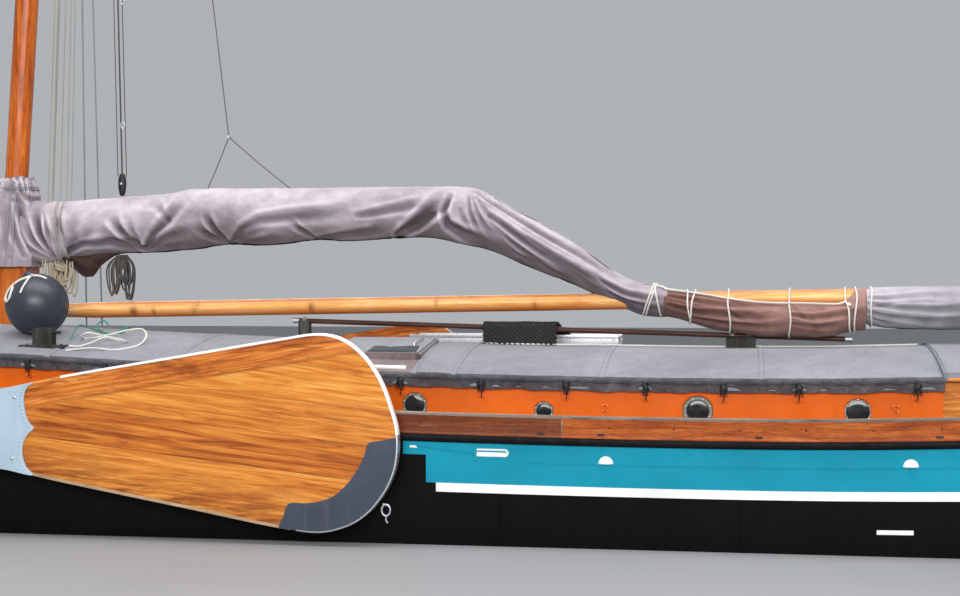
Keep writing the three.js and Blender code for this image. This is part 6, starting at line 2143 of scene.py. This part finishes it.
    # Shackles on two of its lines
    for h in (0.55, 1.72):
        ring = [Vector((block_at.x + 0.015 + 0.018 * math.cos(a), block_at.y - 0.02,
                        block_at.z + h + 0.035 * math.sin(a))) for a in angles(20)]
        hoist.tube(ring, 0.006, 8, 2, closed=True)
    for dx, dy in ((-0.05, -0.03), (-0.02, 0.02), (0.02, -0.02), (0.05, 0.03)):
        foot = block_at + Vector((dx * 0.6, dy, 0.07))
        hoist.tube([foot.lerp(masthead + Vector((dx * 0.5, dy, 0)), k / 24) for k in range(25)], 0.0045, 7,
                   0)
    made = hoist.piece("hoist_tackle", "boom", [DARK_LINE, IRON, GALVANISED], ())
    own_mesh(made)


make_mast()
make_boom()
make_covers()
make_collar()
make_rigging()
repaint("mast_well", MAST)


# Leeboards. Outlines of (x, z)
PIVOT = (-3.486, 1.42)
BOARD_OUTLINE = [
    (-3.3, 1.745), (-2.83, 1.772), (-2.309, 1.875), (-1.25, 2.055), (-0.45, 2.19), (-0.2, 2.228),
    (-0.06, 2.222), (0.067, 2.179),
    (0.205, 2.075), (0.309, 1.945), (0.39, 1.79), (0.445, 1.634), (0.482, 1.51), (0.493, 1.4),
    (0.489, 1.28), (0.469, 1.165),
    (0.42, 1.04), (0.349, 0.927), (0.26, 0.825), (0.148, 0.742), (0.012, 0.686), (-0.135, 0.657),
    (-0.38, 0.674), (-1.3, 0.836),
    (-2.266, 1.008), (-2.828, 1.111), (-3.25, 1.135), (-3.55, 1.12), (-3.78, 1.2), (-3.9, 1.36),
    (-3.9, 1.52), (-3.79, 1.67),
    (-3.57, 1.745),
]
HEAD_OUTLINE = [
    (-3.3, 1.74), (-2.82, 1.768), (-2.535, 1.818), (-2.585, 1.785), (-2.613, 1.735), (-2.62, 1.68),
    (-2.614, 1.61),
    (-2.596, 1.54), (-2.566, 1.485), (-2.533, 1.45), (-2.58, 1.405), (-2.618, 1.345), (-2.634, 1.27),
    (-2.626, 1.2),
    (-2.597, 1.13), (-2.54, 1.068), (-2.83, 1.116), (-3.25, 1.14), (-3.55, 1.125), (-3.775, 1.203),
    (-3.895, 1.362), (-3.895, 1.518), (-3.787, 1.667), (-3.567, 1.74),
]
SHOE_OUTLINE = [
    (0.485, 1.41), (0.487, 1.28), (0.465, 1.165), (0.416, 1.042), (0.345, 0.93), (0.256, 0.829),
    (0.145, 0.747), (0.01, 0.691),
    (-0.135, 0.662), (-0.38, 0.679), (-0.469, 0.694), (-0.432, 0.785), (-0.393, 0.88), (-0.25, 0.889),
    (-0.12, 0.91), (-0.02, 0.955), (0.06, 1.02), (0.13, 1.105), (0.19, 1.2), (0.232, 1.295),
    (0.255, 1.368), (0.36, 1.392),
]
BOARD_IN, BOARD_OUT = 2.022, 2.1
PLATE_THICK = 0.0095
# Rings of a board's rim, shrinking towards the middle: how far in, y
BOARD_RIM = [
    (0.0, BOARD_IN), (-0.006, BOARD_IN - 0.0015), (0.0, BOARD_IN + 0.004), (0.0, BOARD_OUT - 0.012),
    (0.004, BOARD_OUT - 0.004), (0.012, BOARD_OUT - 0.0005), (0.03, BOARD_OUT),
]
# White along the top, galvanised round the after end, cream along the lower edge:
# first and last point of the outline, width, material, how far it stands out
EDGINGS = [(12, 78, 0.017, 0, 0.004), (76, 132, 0.012, 2, 0.0135), (132, 156, 0.024, 1, 0.004)]
HEAD_BOLTS = [(-3.2, 1.6), (-3.2, 1.25), (-2.85, 1.42), (-3.75, 1.42), (-2.7, 1.7), (-2.72, 1.2)]
HEAD_TIPS = (1.818, 1.45, 1.068)


def board_look(side):
    """Bright varnished planks: a dark wedge along the upper edge, long planks with thin seams,
    streaks and knots."""
    look = Look(f"leeboard_planks_{side}", rough=0.24, Coat_Weight=0.7, Coat_Roughness=0.08)
    # Along the planks, which slope down aft by about six degrees
    x, y, z = look.split(look.place())
    across = look.plus(z, look.times(x, 0.115))
    planks = look.times(look.plus(across, 0.052), 3.5)
    plank = look.math("FLOOR", planks)
    step = look.minus(planks, plank)
    along = look.plus(look.times(x, 0.55), look.times(plank, 3.7))
    where = look.join(along, look.times(across, 9.0), look.times(plank, 1.9))
    figure = look.noise(where, 1.9, 7, 0.6, 1.6)
    lot = look.tree.nodes.new("ShaderNodeTexWhiteNoise")
    lot.noise_dimensions = "1D"
    look.put(lot.inputs["W"], plank)
    shade = look.ramp(
        look.plus(look.times(figure, 0.8), look.times(lot.outputs["Value"], 0.16)),
        (0.30, (0.26, 0.055, 0.010)), (0.43, (0.54, 0.165, 0.024)), (0.55, (0.72, 0.28, 0.045)),
        (0.70, (0.86, 0.42, 0.09)),
    )
    fine = look.join(look.times(x, 2.2), look.times(across, 70.0), plank)
    fibres = look.noise(fine, 1.6, 4, 0.75)
    shade = look.mix(look.spread(fibres, 0.38, 0.62, 0.4, 0), shade, (0.30, 0.07, 0.012))
    # Dark streaks where the weather has got under the varnish
    streak = look.noise(where, 1.0, 8, 0.78, 0.5)
    shade = look.mix(look.spread(streak, 0.57, 0.70, 0, 0.8), shade, (0.17, 0.034, 0.008))
    blot = look.noise(look.place((1.0, 1.0, 3.5), (0, 6, 0)), 1.2, 5, 0.7)
    shade = look.mix(look.spread(blot, 0.57, 0.72, 0, 0.55), shade, (0.30, 0.07, 0.014))
    # Reddish stains: dense along the lower edge, and in patches on the wedge
    low = look.plus(z, look.times(x, 0.18))
    damp = look.noise(look.place((1.2, 1, 11), (0, 6.5, 0)), 1.5, 7, 0.72)
    stain = look.times(look.spread(low, 0.64, 0.92, 1, 0), look.spread(damp, 0.42, 0.58, 0, 0.9))
    shade = look.mix(stain, shade, (0.19, 0.038, 0.009))
    # Thin seams between planks
    seam = look.math("MINIMUM", step, look.minus(1.0, step))
    shade = look.mix(look.spread(seam, 0.0, 0.018, 0.55, 0), shade, (0.07, 0.018, 0.006))
    # Upper wedge, its planks parallel to the top edge
    top = look.minus(z, look.times(x, 0.168))
    wedge_line = look.spread(look.math("ABSOLUTE", look.minus(top, 2.06)), 0.0, 0.02, 0.3, 0)
    upper = look.spread(look.plus(top, look.times(look.noise(look.place((1, 1, 5)), 2.5, 5, 0.7), 0.05)),
                        2.07, 2.095)
    grain = look.join(look.times(x, 0.5), look.times(top, 11.0), 0.0)
    figure_up = look.noise(grain, 2.1, 7, 0.65, 1.2)
    shade_up = look.ramp(figure_up, (0.34, (0.24, 0.05, 0.010)), (0.5, (0.52, 0.15, 0.025)),
                         (0.66, (0.72, 0.28, 0.055)))
    shade_up = look.mix(look.spread(look.noise(look.place((1.4, 1, 7), (0, -9.5, 0)), 1.7, 7, 0.74), 0.48,
                                    0.62, 0, 0.8), shade_up, (0.20, 0.04, 0.009))
    shade = look.mix(upper, shade, shade_up)
    shade = look.mix(wedge_line, shade, (0.08, 0.02, 0.008))
    look.color(shade)
    look.rough(look.spread(look.noise(look.place(), 5, 3), 0.3, 0.7, 0.16, 0.36))
    look.bump(fibres, 0.0010, 0.35)
    look.bump(look.math("MAXIMUM", look.spread(seam, 0.0, 0.018), upper), 0.002, 0.4)
    return look.material


def inset(points, depth):
    """Open path moved to its right by depth."""
    out = []
    for i, (x, z) in enumerate(points):
        ax, az = points[max(i - 1, 0)]
        bx, bz = points[min(i + 1, len(points) - 1)]
        dx, dz = bx - ax, bz - az
        size = math.hypot(dx, dz) or 1
        out.append((x + dz / size * depth, z - dx / size * depth))
    return out


def inside(ring, step, depth):
    """Every step-th point of a closed outline, each with its place depth further in."""
    out = []
    for k in range(0, len(ring), step):
        x, z = ring[k]
        ax, az = ring[k - 1]
        bx, bz = ring[(k + 1) % len(ring)]
        size = math.hypot(bx - ax, bz - az) or 1
        out.append(((x, z), (x + (bz - az) / size * depth, z - (bx - ax) / size * depth)))
    return out


def make_leeboards():
    smooth_outline = [(p.x, p.z) for p in catmull([(x, 0, z) for x, z in BOARD_OUTLINE], 6, closed=True)]
    for name, side in SIDES.items():
        body = f"leeboard_{name}"
        board = Shape()
        # Plank face with a rounded rim
        rings = []
        for depth, y in BOARD_RIM:
            rings.append([(x, side * y, z) for _, (x, z) in inside(smooth_outline, 1, max(depth, 0))])
        board.rings(rings, 0, caps=True)
        board.piece(f"leeboard_planks_{name}", body, [board_look(name)], [body], sharp=40)

        trim = Shape()
        for first, last, wide, mark, lift in EDGINGS:
            path = [smooth_outline[k % len(smooth_outline)] for k in range(first, last)]
            rows = []
            for (x, z), (u, w) in zip(path, inset(path, wide)):
                rows.append([Vector((x + (x - u) / wide * 0.0015, side * (BOARD_IN + 0.02),
                                     z + (z - w) / wide * 0.0015)),
                             Vector((x + (x - u) / wide * 0.002, side * (BOARD_OUT - 0.004),
                                     z + (z - w) / wide * 0.002)),
                             Vector((x, side * (BOARD_OUT + lift * 0.8), z)),
                             Vector((x + (u - x) * 0.3, side * (BOARD_OUT + lift), z + (w - z) * 0.3)),
                             Vector((u, side * (BOARD_OUT + lift), w)),
                             Vector((u, side * (BOARD_OUT - 0.001), w))])
            trim.rings(rows, mark, closed=False)
        trim.piece(f"leeboard_edging_{name}", body, [WHITE, PLAIN_WOOD, GALVANISED], (),
                   sharp=40)

        head = Shape()
        head_ring = [(p.x, p.z) for p in catmull([(x, 0, z) for x, z in HEAD_OUTLINE], 5, closed=True)]
        plate_frame = ((0, side * BOARD_OUT, 0), (1, 0, 0), (0, 0, 1))
        head.slab(head_ring, plate_frame, -side * PLATE_THICK, 0.0015, 0)
        for (x, z), (px, pz) in inside(head_ring, 2, 0.03):
            # None at the three tips
            if min(abs(z - tip) for tip in HEAD_TIPS) < 0.035 and x > -2.62:
                continue
            head.lathe([(0.0085, -0.001), (0.0085, 0.002), (0.005, 0.005), (0.0, 0.006)],
                       (px, side * (BOARD_OUT + PLATE_THICK), pz), (0, side, 0), 10, 0)
        for x, z in HEAD_BOLTS:
            head.lathe([(0.014, -0.001), (0.014, 0.004), (0.008, 0.008), (0.0, 0.009)],
                       (x, side * (BOARD_OUT + PLATE_THICK), z), (0, side, 0), 12, 1)
        head.piece(f"leeboard_head_plate_{name}", body, [PLATE, GALVANISED], [f"leeboard_head_{name}"],
                   sharp=40)

        shoe = Shape()
        shoe_ring = [(p.x, p.z) for p in catmull([(x, 0, z) for x, z in SHOE_OUTLINE], 5, closed=True)]
        shoe.slab(shoe_ring, plate_frame, -side * PLATE_THICK, 0.0015, 0)
        for _, (px, pz) in inside(shoe_ring, 4, 0.024):
            shoe.lathe([(0.007, -0.001), (0.007, 0.002), (0.004, 0.004), (0.0, 0.005)],
                       (px, side * (BOARD_OUT + PLATE_THICK), pz), (0, side, 0), 10, 0)
        # Shackle for the hoisting line at the after end
        eye = [Vector((0.40 + 0.034 * math.cos(a), side * (BOARD_OUT + 0.014), 0.85 + 0.045 * math.sin(a)))
               for a in angles(24)]
        shoe.tube(eye, 0.0075, 8, 1, closed=True)
        shoe.tube([Vector((0.375, side * (BOARD_OUT + 0.006), 0.895)),
                   Vector((0.425, side * (BOARD_OUT + 0.014), 0.885))], 0.009, 8, 1)
        shoe.tube([Vector(p)
                   for p in ((0.405, side * (BOARD_OUT + 0.02), 0.81),
                             (0.40, side * (BOARD_OUT + 0.022), 0.775),
                             (0.415, side * (BOARD_OUT + 0.02), 0.75))], 0.006, 8, 1)
        shoe.piece(f"leeboard_shoe_plate_{name}", body, [SHOE, GALVANISED], [f"leeboard_shoe_{name}"],
                   sharp=40)

        pin = Shape()
        pin.lathe([(0.0, 0.0), (0.096, 0.0), (0.1, 0.005), (0.1, 0.021), (0.092, 0.028), (0.05, 0.031),
                   (0.05, 0.036), (0.0, 0.038)],
                  (PIVOT[0], side * 2.1115, PIVOT[1]), (0, side, 0), 28, 0)
        for k in range(6):
            a = math.pi * k / 3
            pin.lathe([(0.009, 0.0), (0.009, 0.006), (0.0, 0.008)],
                      (PIVOT[0] + 0.075 * math.cos(a), side * 2.1385, PIVOT[1] + 0.075 * math.sin(a)),
                      (0, side, 0), 6, 0)
        pin.piece(f"pivot_cap_{name}", "barge", [GALVANISED], (), sharp=40)
        repaint(f"leeboard_pivot_{name}", GALVANISED)


# Gear on the roof and deck
# The ball fender's centre and radius
FENDER = (-3.14, -0.74, 2.439, 0.28)
# Its lanyard: angle round from the camera's side, height angle
LANYARD = [
    (0.95, 0.95), (0.75, 1.05), (0.45, 1.13), (0.15, 1.12), (-0.2, 1.0), (-0.5, 0.85), (-0.72, 0.65),
    (-0.85, 0.42), (-0.86, 0.22), (-0.72, 0.1), (-0.58, 0.2), (-0.56, 0.4), (-0.62, 0.6),
]
LANYARD_TAIL = [(0.02, 1.12), (-0.02, 0.95), (-0.05, 0.75), (-0.1, 0.55), (-0.13, 0.38)]


def make_fender():
    shape = Shape()
    cx, cy, cz, r = FENDER
    rings = []
    for i in range(33):
        t = math.pi * i / 32
        rings.append([(cx + r * math.sin(t) * math.cos(a), cy + r * math.sin(t) * math.sin(a),
                       cz + r * math.cos(t))
                      for a in angles(48)])
    shape.rings(rings, 0)
    # Moulded seam and the eye it hangs by
    seam = [Vector((cx + (r + 0.0005) * math.cos(a) * 0.966, cy + (r + 0.0005) * math.cos(a) * 0.259,
                    cz + (r + 0.0005) * math.sin(a)))
            for a in angles(64)]
    shape.tube(seam, 0.0035, 6, 0, closed=True)
    top = Vector((cx - 0.06, cy - 0.05, cz + r - 0.008))
    shape.lathe([(0.05, -0.01), (0.045, 0.012), (0.03, 0.022), (0.018, 0.03), (0.0, 0.032)], top,
                (-0.2, -0.18, 1), 20, 0)
    shape.piece("fender_ball", "barge", [RUBBER], ["fender"], sharp=60)

    def on_ball(a, b, lift=0.009):
        """a turns round from the camera's side, b is the height angle."""
        n = Vector((math.sin(a) * math.cos(b), -math.cos(a) * math.cos(b), math.sin(b)))
        return Vector((cx, cy, cz)) + n * (r + lift)

    cord = Shape()
    for route, radius in ((LANYARD, 0.0105), (LANYARD_TAIL, 0.0095)):
        cord.tube(catmull([on_ball(a, b) for a, b in route], 8), radius, 10, 0)
    knot = [on_ball(0.06 + 0.05 * math.sin(t), 1.12 + 0.05 * math.cos(2 * t), 0.014 + 0.006 * math.sin(t))
            for t in angles(20)]
    cord.tube(knot, 0.0095, 8, 0, closed=True)
    cord.piece("fender_lanyard", "barge", [WHITE_ROPE], (), sharp=60)


def make_post():
    shape = Shape()
    rings = []
    for z, grow in ((1.98, 0.03), (2.08, 0.03), (2.092, 0.0), (2.12, 0.0), (2.2, 0.0), (2.228, -0.003),
                    (2.24, -0.012)):
        ring = []
        for k in range(40):
            a = 2 * math.pi * k / 40
            x = 0.088 * rounded(math.cos(a), 0.25) + grow * math.copysign(1, math.cos(a))
            y = 0.068 * rounded(math.sin(a), 0.25) + grow * 0.2 * math.copysign(1, math.sin(a))
            ring.append((-2.91 + x, -1.09 + y, z + 0.004 * wobble(x * 12, y * 12, z)))
        rings.append(ring)
    shape.rings(rings, 0, caps=True)
    shape.block((-3.12, -1.172, 2.0), (-2.7, -1.008, 2.09), 0.012, 0)
    for x in (-3.07, -2.75):
        shape.lathe([(0.012, -0.002), (0.012, 0.006), (0.006, 0.01), (0.0, 0.01)], (x, -1.09, 2.09),
                    (0, 0, 1), 8, 1)
    shape.tube([Vector((-3.06, -1.09, 2.2)), Vector((-2.76, -1.09, 2.2))], 0.014, 12, 1)
    shape.piece("cleat_post", "barge", [POST_WOOD, IRON], ["mooring_post"], sharp=40)


def make_pole():
    shape = Shape()

    def z_at(x):
        return 2.29 - 0.0298 * (x + 0.955)

    points, radii = [], []
    for k in range(90):
        x = -0.953 + 5.04 * k / 89
        points.append(Vector((x, 0.004 * wobble(x * 0.8, 0, 2), z_at(x) + 0.003 * wobble(x * 0.9, 3, 0))))
        radii.append(0.0235 * (1 + 0.05 * wobble(x * 3.0, 0, 6)))
    shape.tube(points, radii, 14, 0)
    for x in (-0.93, 4.06):
        shape.tube([Vector((x - 0.03, 0, z_at(x))), Vector((x + 0.03, 0, z_at(x)))], 0.0265, 14, 1)
    # Chocks: a round-topped saddle aft and a small rest forward
    saddle = [(-0.09, 1.98), (0.09, 1.98), (0.09, 2.10), (0.075, 2.14), (0.05, 2.162), (0.03, 2.165),
              (0.024, 2.150), (0.0, 2.142), (-0.024, 2.150),
              (-0.03, 2.165), (-0.05, 2.162), (-0.075, 2.14), (-0.09, 2.10)]
    shape.slab(saddle, ((3.0, 0, 0), (0, 1, 0), (0, 0, 1)), 0.26, 0.008, 2)
    rest = [(-0.05, 2.0), (0.05, 2.0), (0.05, 2.26), (0.04, 2.292), (0.026, 2.292), (0.02, 2.272),
            (0.0, 2.264), (-0.02, 2.272), (-0.026, 2.292),
            (-0.04, 2.292), (-0.05, 2.26)]
    shape.slab(rest, ((-0.9, 0, 0), (0, 1, 0), (0, 0, 1)), 0.1, 0.006, 2)
    for x in (-0.85, 3.05, 3.2):
        turns = []
        for k in range(60):
            a = 2 * math.pi * k / 20
            turns.append(Vector((x + 0.012 * k / 20 - 0.018, 0.031 * math.sin(a),
                                 z_at(x) + 0.031 * math.cos(a))))
        shape.tube(turns, 0.0045, 7, 3)
    shape.piece("deck_pole", "barge", [DARK_WOOD, GALVANISED, POST_WOOD, TAN_ROPE], ["pole"],
                sharp=40)


def border(rows):
    """The points round the outside of a grid."""
    return [row[0] for row in rows] + rows[-1][1:] + [row[-1]
                                                      for row in rows[::-1]][1:] + rows[0][::-1][1:-1]


def make_gangway():
    shape = Shape()
    for y0, y1 in ((0.622, 0.658), (1.102, 1.138)):
        for z0, z1 in ((2.118, 2.148), (2.03, 2.05)):
            shape.block((0.004, y0, z0), (1.996, y1, z1), 0.005, 0)
        shape.block((0.004, y0 + 0.012, 2.045), (1.996, y1 - 0.012, 2.125), 0.002, 0)
    for k in range(40):
        x = 0.03 + k * 0.0495
        shape.block((x, 0.655, 2.112), (x + 0.036, 1.105, 2.133), 0.004, 0)
    for x in (0.03, 1.95):
        shape.tube([Vector((x, 0.63, 2.11)), Vector((x, 1.13, 2.11))], 0.016, 12, 0)
    for y in (0.64, 1.12):
        shape.lathe([(0.0, -0.016), (0.04, -0.016), (0.045, -0.01), (0.045, 0.01), (0.04, 0.016),
                     (0.0, 0.016)], (0.06, y, 2.075), (0, 1, 0), 20, 1)
    shape.piece("gangway_ladder", "barge", [ALUMINIUM, RUBBER], ["gangway"], sharp=40)

    # Mesh mat of open rubber honeycomb, laid over the gangway and the pole and hanging down in front
    mat = Shape()
    fall = catmull([(0, 1.07, 2.155), (0, 1.06, 2.20), (0, 0.85, 2.20), (0, 0.62, 2.20), (0, 0.35, 2.245),
                    (0, 0.1, 2.275), (0, 0.0, 2.283),
                    (0, -0.05, 2.262), (0, -0.062, 2.2), (0, -0.064, 2.13), (0, -0.066, 2.075)], 9)
    sides = []
    for depth in (0.0, -0.014):
        rows = []
        for i in range(86):
            row = []
            for j, p in enumerate(fall):
                x = 0.83 + 0.665 * i / 85 + 0.006 * math.sin(j * 1.05) * (1 if i in (0, 85) else 0)
                cell = 0.007 * math.sin(i * 1.05) * math.sin(j * 1.3 + (i % 2) * 0.5) if depth == 0 else 0
                sag = 0.004 * wobble(x * 7, p.y * 7, 2)
                ahead = fall[min(j + 1, len(fall) - 1)] - fall[max(j - 1, 0)]
                out = Vector((0, -abs(ahead.z), abs(ahead.y))).normalized() if j > 8 else Vector((0, 0, 1))
                row.append(Vector((x, p.y, p.z)) + out * (cell + sag + depth))
            rows.append(row)
        sides.append(rows)
    top, under = sides
    mat.rings(top, 0, closed=False)
    mat.rings([row[::-1] for row in under], 0, closed=False)
    mat.rings([border(top), border(under)], 0)
    mat.piece("gangway_mat", "barge", [MAT_RUBBER], (), sharp=50)


def make_windlass():
    frame_shape = Shape()
    for side in (-1, 1):
        cheek = [(-8.12, 0), (-7.68, 0), (-7.7, 0.12), (-7.78, 0.5), (-7.83, 0.56), (-7.97, 0.56),
                 (-8.02, 0.5), (-8.1, 0.12)]
        low = 1.41 + sheer(-7.9)
        top = 2.4
        ring = [(x, low + (top - low) * z / 0.56) for x, z in cheek]
        frame_shape.slab(ring, ((0, side * 0.37, 0), (1, 0, 0), (0, 0, 1)), -0.05 * side, 0.006, 0)
        frame_shape.block((-8.14, side * 0.395 - 0.055, low - 0.001),
                          (-7.66, side * 0.395 + 0.055, low + 0.016), 0.004, 0)
        for x in (-8.08, -7.72):
            frame_shape.lathe([(0.012, 0.0), (0.012, 0.008), (0.0, 0.01)], (x, side * 0.43, low + 0.016),
                              (0, 0, 1), 6, 1)
        frame_shape.lathe([(0.05, 0.0), (0.05, 0.012), (0.04, 0.018), (0.0, 0.018)],
                          (-7.9, side * 0.42, 2.3), (0, side, 0), 20, 1)
    frame_shape.tube([Vector((-7.72, -0.4, low + 0.1)), Vector((-7.72, 0.4, low + 0.1))], 0.016, 12, 1)
    frame_shape.piece("windlass_cheeks", "barge", [IRON, GALVANISED], ["windlass_frame"],
                      sharp=40)
    drum = Shape()
    axis = (0, 1, 0)
    at = (-7.9, 0, 2.3)
    drum.lathe([(0.0, -0.355), (0.1, -0.355), (0.1, -0.34), (0.09, -0.335), (0.085, -0.31), (0.085, 0.31),
                (0.09, 0.335), (0.1, 0.34), (0.1, 0.355), (0.0, 0.355)],
               at, axis, 32, 0)
    for k in range(12):
        a = 2 * math.pi * k / 12
        drum.tube([Vector((-7.9 + 0.087 * math.cos(a), -0.31, 2.3 + 0.087 * math.sin(a))),
                   Vector((-7.9 + 0.087 * math.cos(a), 0.31, 2.3 + 0.087 * math.sin(a)))],
                  0.009, 8, 0)
    for side in (-1, 1):
        drum.lathe([(0.028, 0.36), (0.028, 0.43), (0.078, 0.432), (0.08, 0.44), (0.066, 0.46),
                    (0.054, 0.5), (0.056, 0.53), (0.062, 0.55), (0.06, 0.56), (0.0, 0.56)],
                   at, (0, side, 0), 28, 1)
        gear = []
        for k in range(96):
            a = 2 * math.pi * k / 96
            r = 0.098 if (k // 2) % 2 else 0.090
            gear.append((r * math.cos(a), r * math.sin(a)))
        drum.slab(gear, ((-7.9, side * 0.3, 2.3), (1, 0, 0), (0, 0, 1)), -0.02 * side, 0, 1)
    drum.piece("windlass_barrel", "windlass_drum", [IRON, GALVANISED], ["windlass_drum"],
               sharp=40)


def make_bollards():
    for where, x, y_at in (("fore", -7.0, 1.05), ("aft", 8.0, 0.85)):
        for name, side in SIDES.items():
            shape = Shape()
            y = side * y_at
            low = DECK_TOP + sheer(x)
            shape.block((x - 0.25, y - 0.09, low - 0.004), (x + 0.25, y + 0.09, low + 0.04), 0.012, 0)
            for dx in (-0.14, 0.14):
                shape.lathe([(0.078, 0.036), (0.066, 0.05), (0.06, 0.075), (0.058, 0.13), (0.06, 0.19),
                             (0.066, 0.215), (0.07, 0.23), (0.066, 0.245),
                             (0.05, 0.262), (0.02, 0.27), (0.0, 0.27)], (x + dx, y, low), (0, 0, 1), 28, 0)
                shape.tube([Vector((x + dx, y - 0.1, low + 0.12)), Vector((x + dx, y + 0.1, low + 0.12))],
                           0.011, 10, 1)
            for dx in (-0.22, 0.22):
                for dy in (-0.06, 0.06):
                    shape.lathe([(0.011, 0.038), (0.011, 0.046), (0.0, 0.048)], (x + dx, y + dy, low),
                                (0, 0, 1), 6, 1)
            shape.piece(f"bollard_cast_{where}_{name}", "barge", [IRON, GALVANISED],
                        [f"bollard_{where}_{name}"], sharp=40)


def make_rudder():
    shape = Shape()
    corners = [(9.49, 0.05), (10.5, 0.05), (10.58, 0.08), (10.615, 0.2), (10.62, 0.5), (10.58, 0.72),
               (10.45, 0.95), (10.28, 1.12), (10.05, 1.3),
               (9.88, 1.5), (9.79, 1.75), (9.76, 2.1), (9.74, 2.49), (9.49, 2.49)]
    shape.slab(corners, ((0, 0.045, 0), (1, 0, 0), (0, 0, 1)), 0.09, 0.012, 0)
    for z in (0.325, 1.125, 1.875):
        for side in (-1, 1):
            shape.block((9.47, side * 0.049 - 0.006, z - 0.03),
                        (10.25 if z < 1.5 else 9.76, side * 0.049 + 0.006, z + 0.03), 0.004, 1)
            for k in range(4 if z < 1.5 else 2):
                shape.lathe([(0.012, -0.001), (0.012, 0.004), (0.0, 0.007)],
                            (9.6 + k * 0.19 if z < 1.5 else 9.57 + k * 0.12, side * 0.055, z),
                            (0, side, 0), 10, 1)
        shape.lathe([(0.0, -0.045), (0.044, -0.045), (0.046, -0.035), (0.046, -0.027)], (9.47, 0, z),
                    (0, 0, 1), 16, 1)
    shape.tube([Vector((9.47, 0, 0.1)), Vector((9.47, 0, 0.29))], 0.0455, 16, 1)
    for low, high in ((0.362, 1.088), (1.162, 1.838), (1.912, 2.5)):
        shape.tube([Vector((9.47, 0, low)), Vector((9.47, 0, high))], 0.0455, 16, 0)
    # Planks are let in with thin seams
    for x in (9.86, 10.2):
        shape.block((x - 0.0015, -0.0462, 0.08), (x + 0.0015, 0.0462, 1.35 if x < 10 else 1.1), 0, 2)
    shape.piece("rudder_planked", "rudder", [SPAR, GALVANISED, DARK_WOOD], ["rudder"], sharp=40)

    tiller = Shape()
    rings = []
    for k in range(60):
        t = k / 59
        x = 9.75 - 2.13 * t
        z = 2.56 + 0.19 * smooth_step(0.2, 1, t)
        tall = 0.06 - 0.028 * t
        wide = 0.035 - 0.010 * t
        if t > 0.94:
            tall *= 1 + 0.4 * math.sin((t - 0.94) / 0.06 * math.pi)
            wide *= 1 + 0.4 * math.sin((t - 0.94) / 0.06 * math.pi)
        rings.append([(x, wide * rounded(math.cos(a), 0.5), z + tall * rounded(math.sin(a), 0.5))
                      for a in angles(24)])
    tiller.rings(rings, 0, caps=True)
    tiller.block((9.48, -0.042, 2.48), (9.76, 0.042, 2.63), 0.01, 1)
    tiller.piece("tiller_bar", "rudder", [SPAR, GALVANISED], ["tiller"], sharp=40)


make_leeboards()
make_fender()
make_post()
make_pole()
make_gangway()
make_windlass()
make_bollards()
make_rudder()
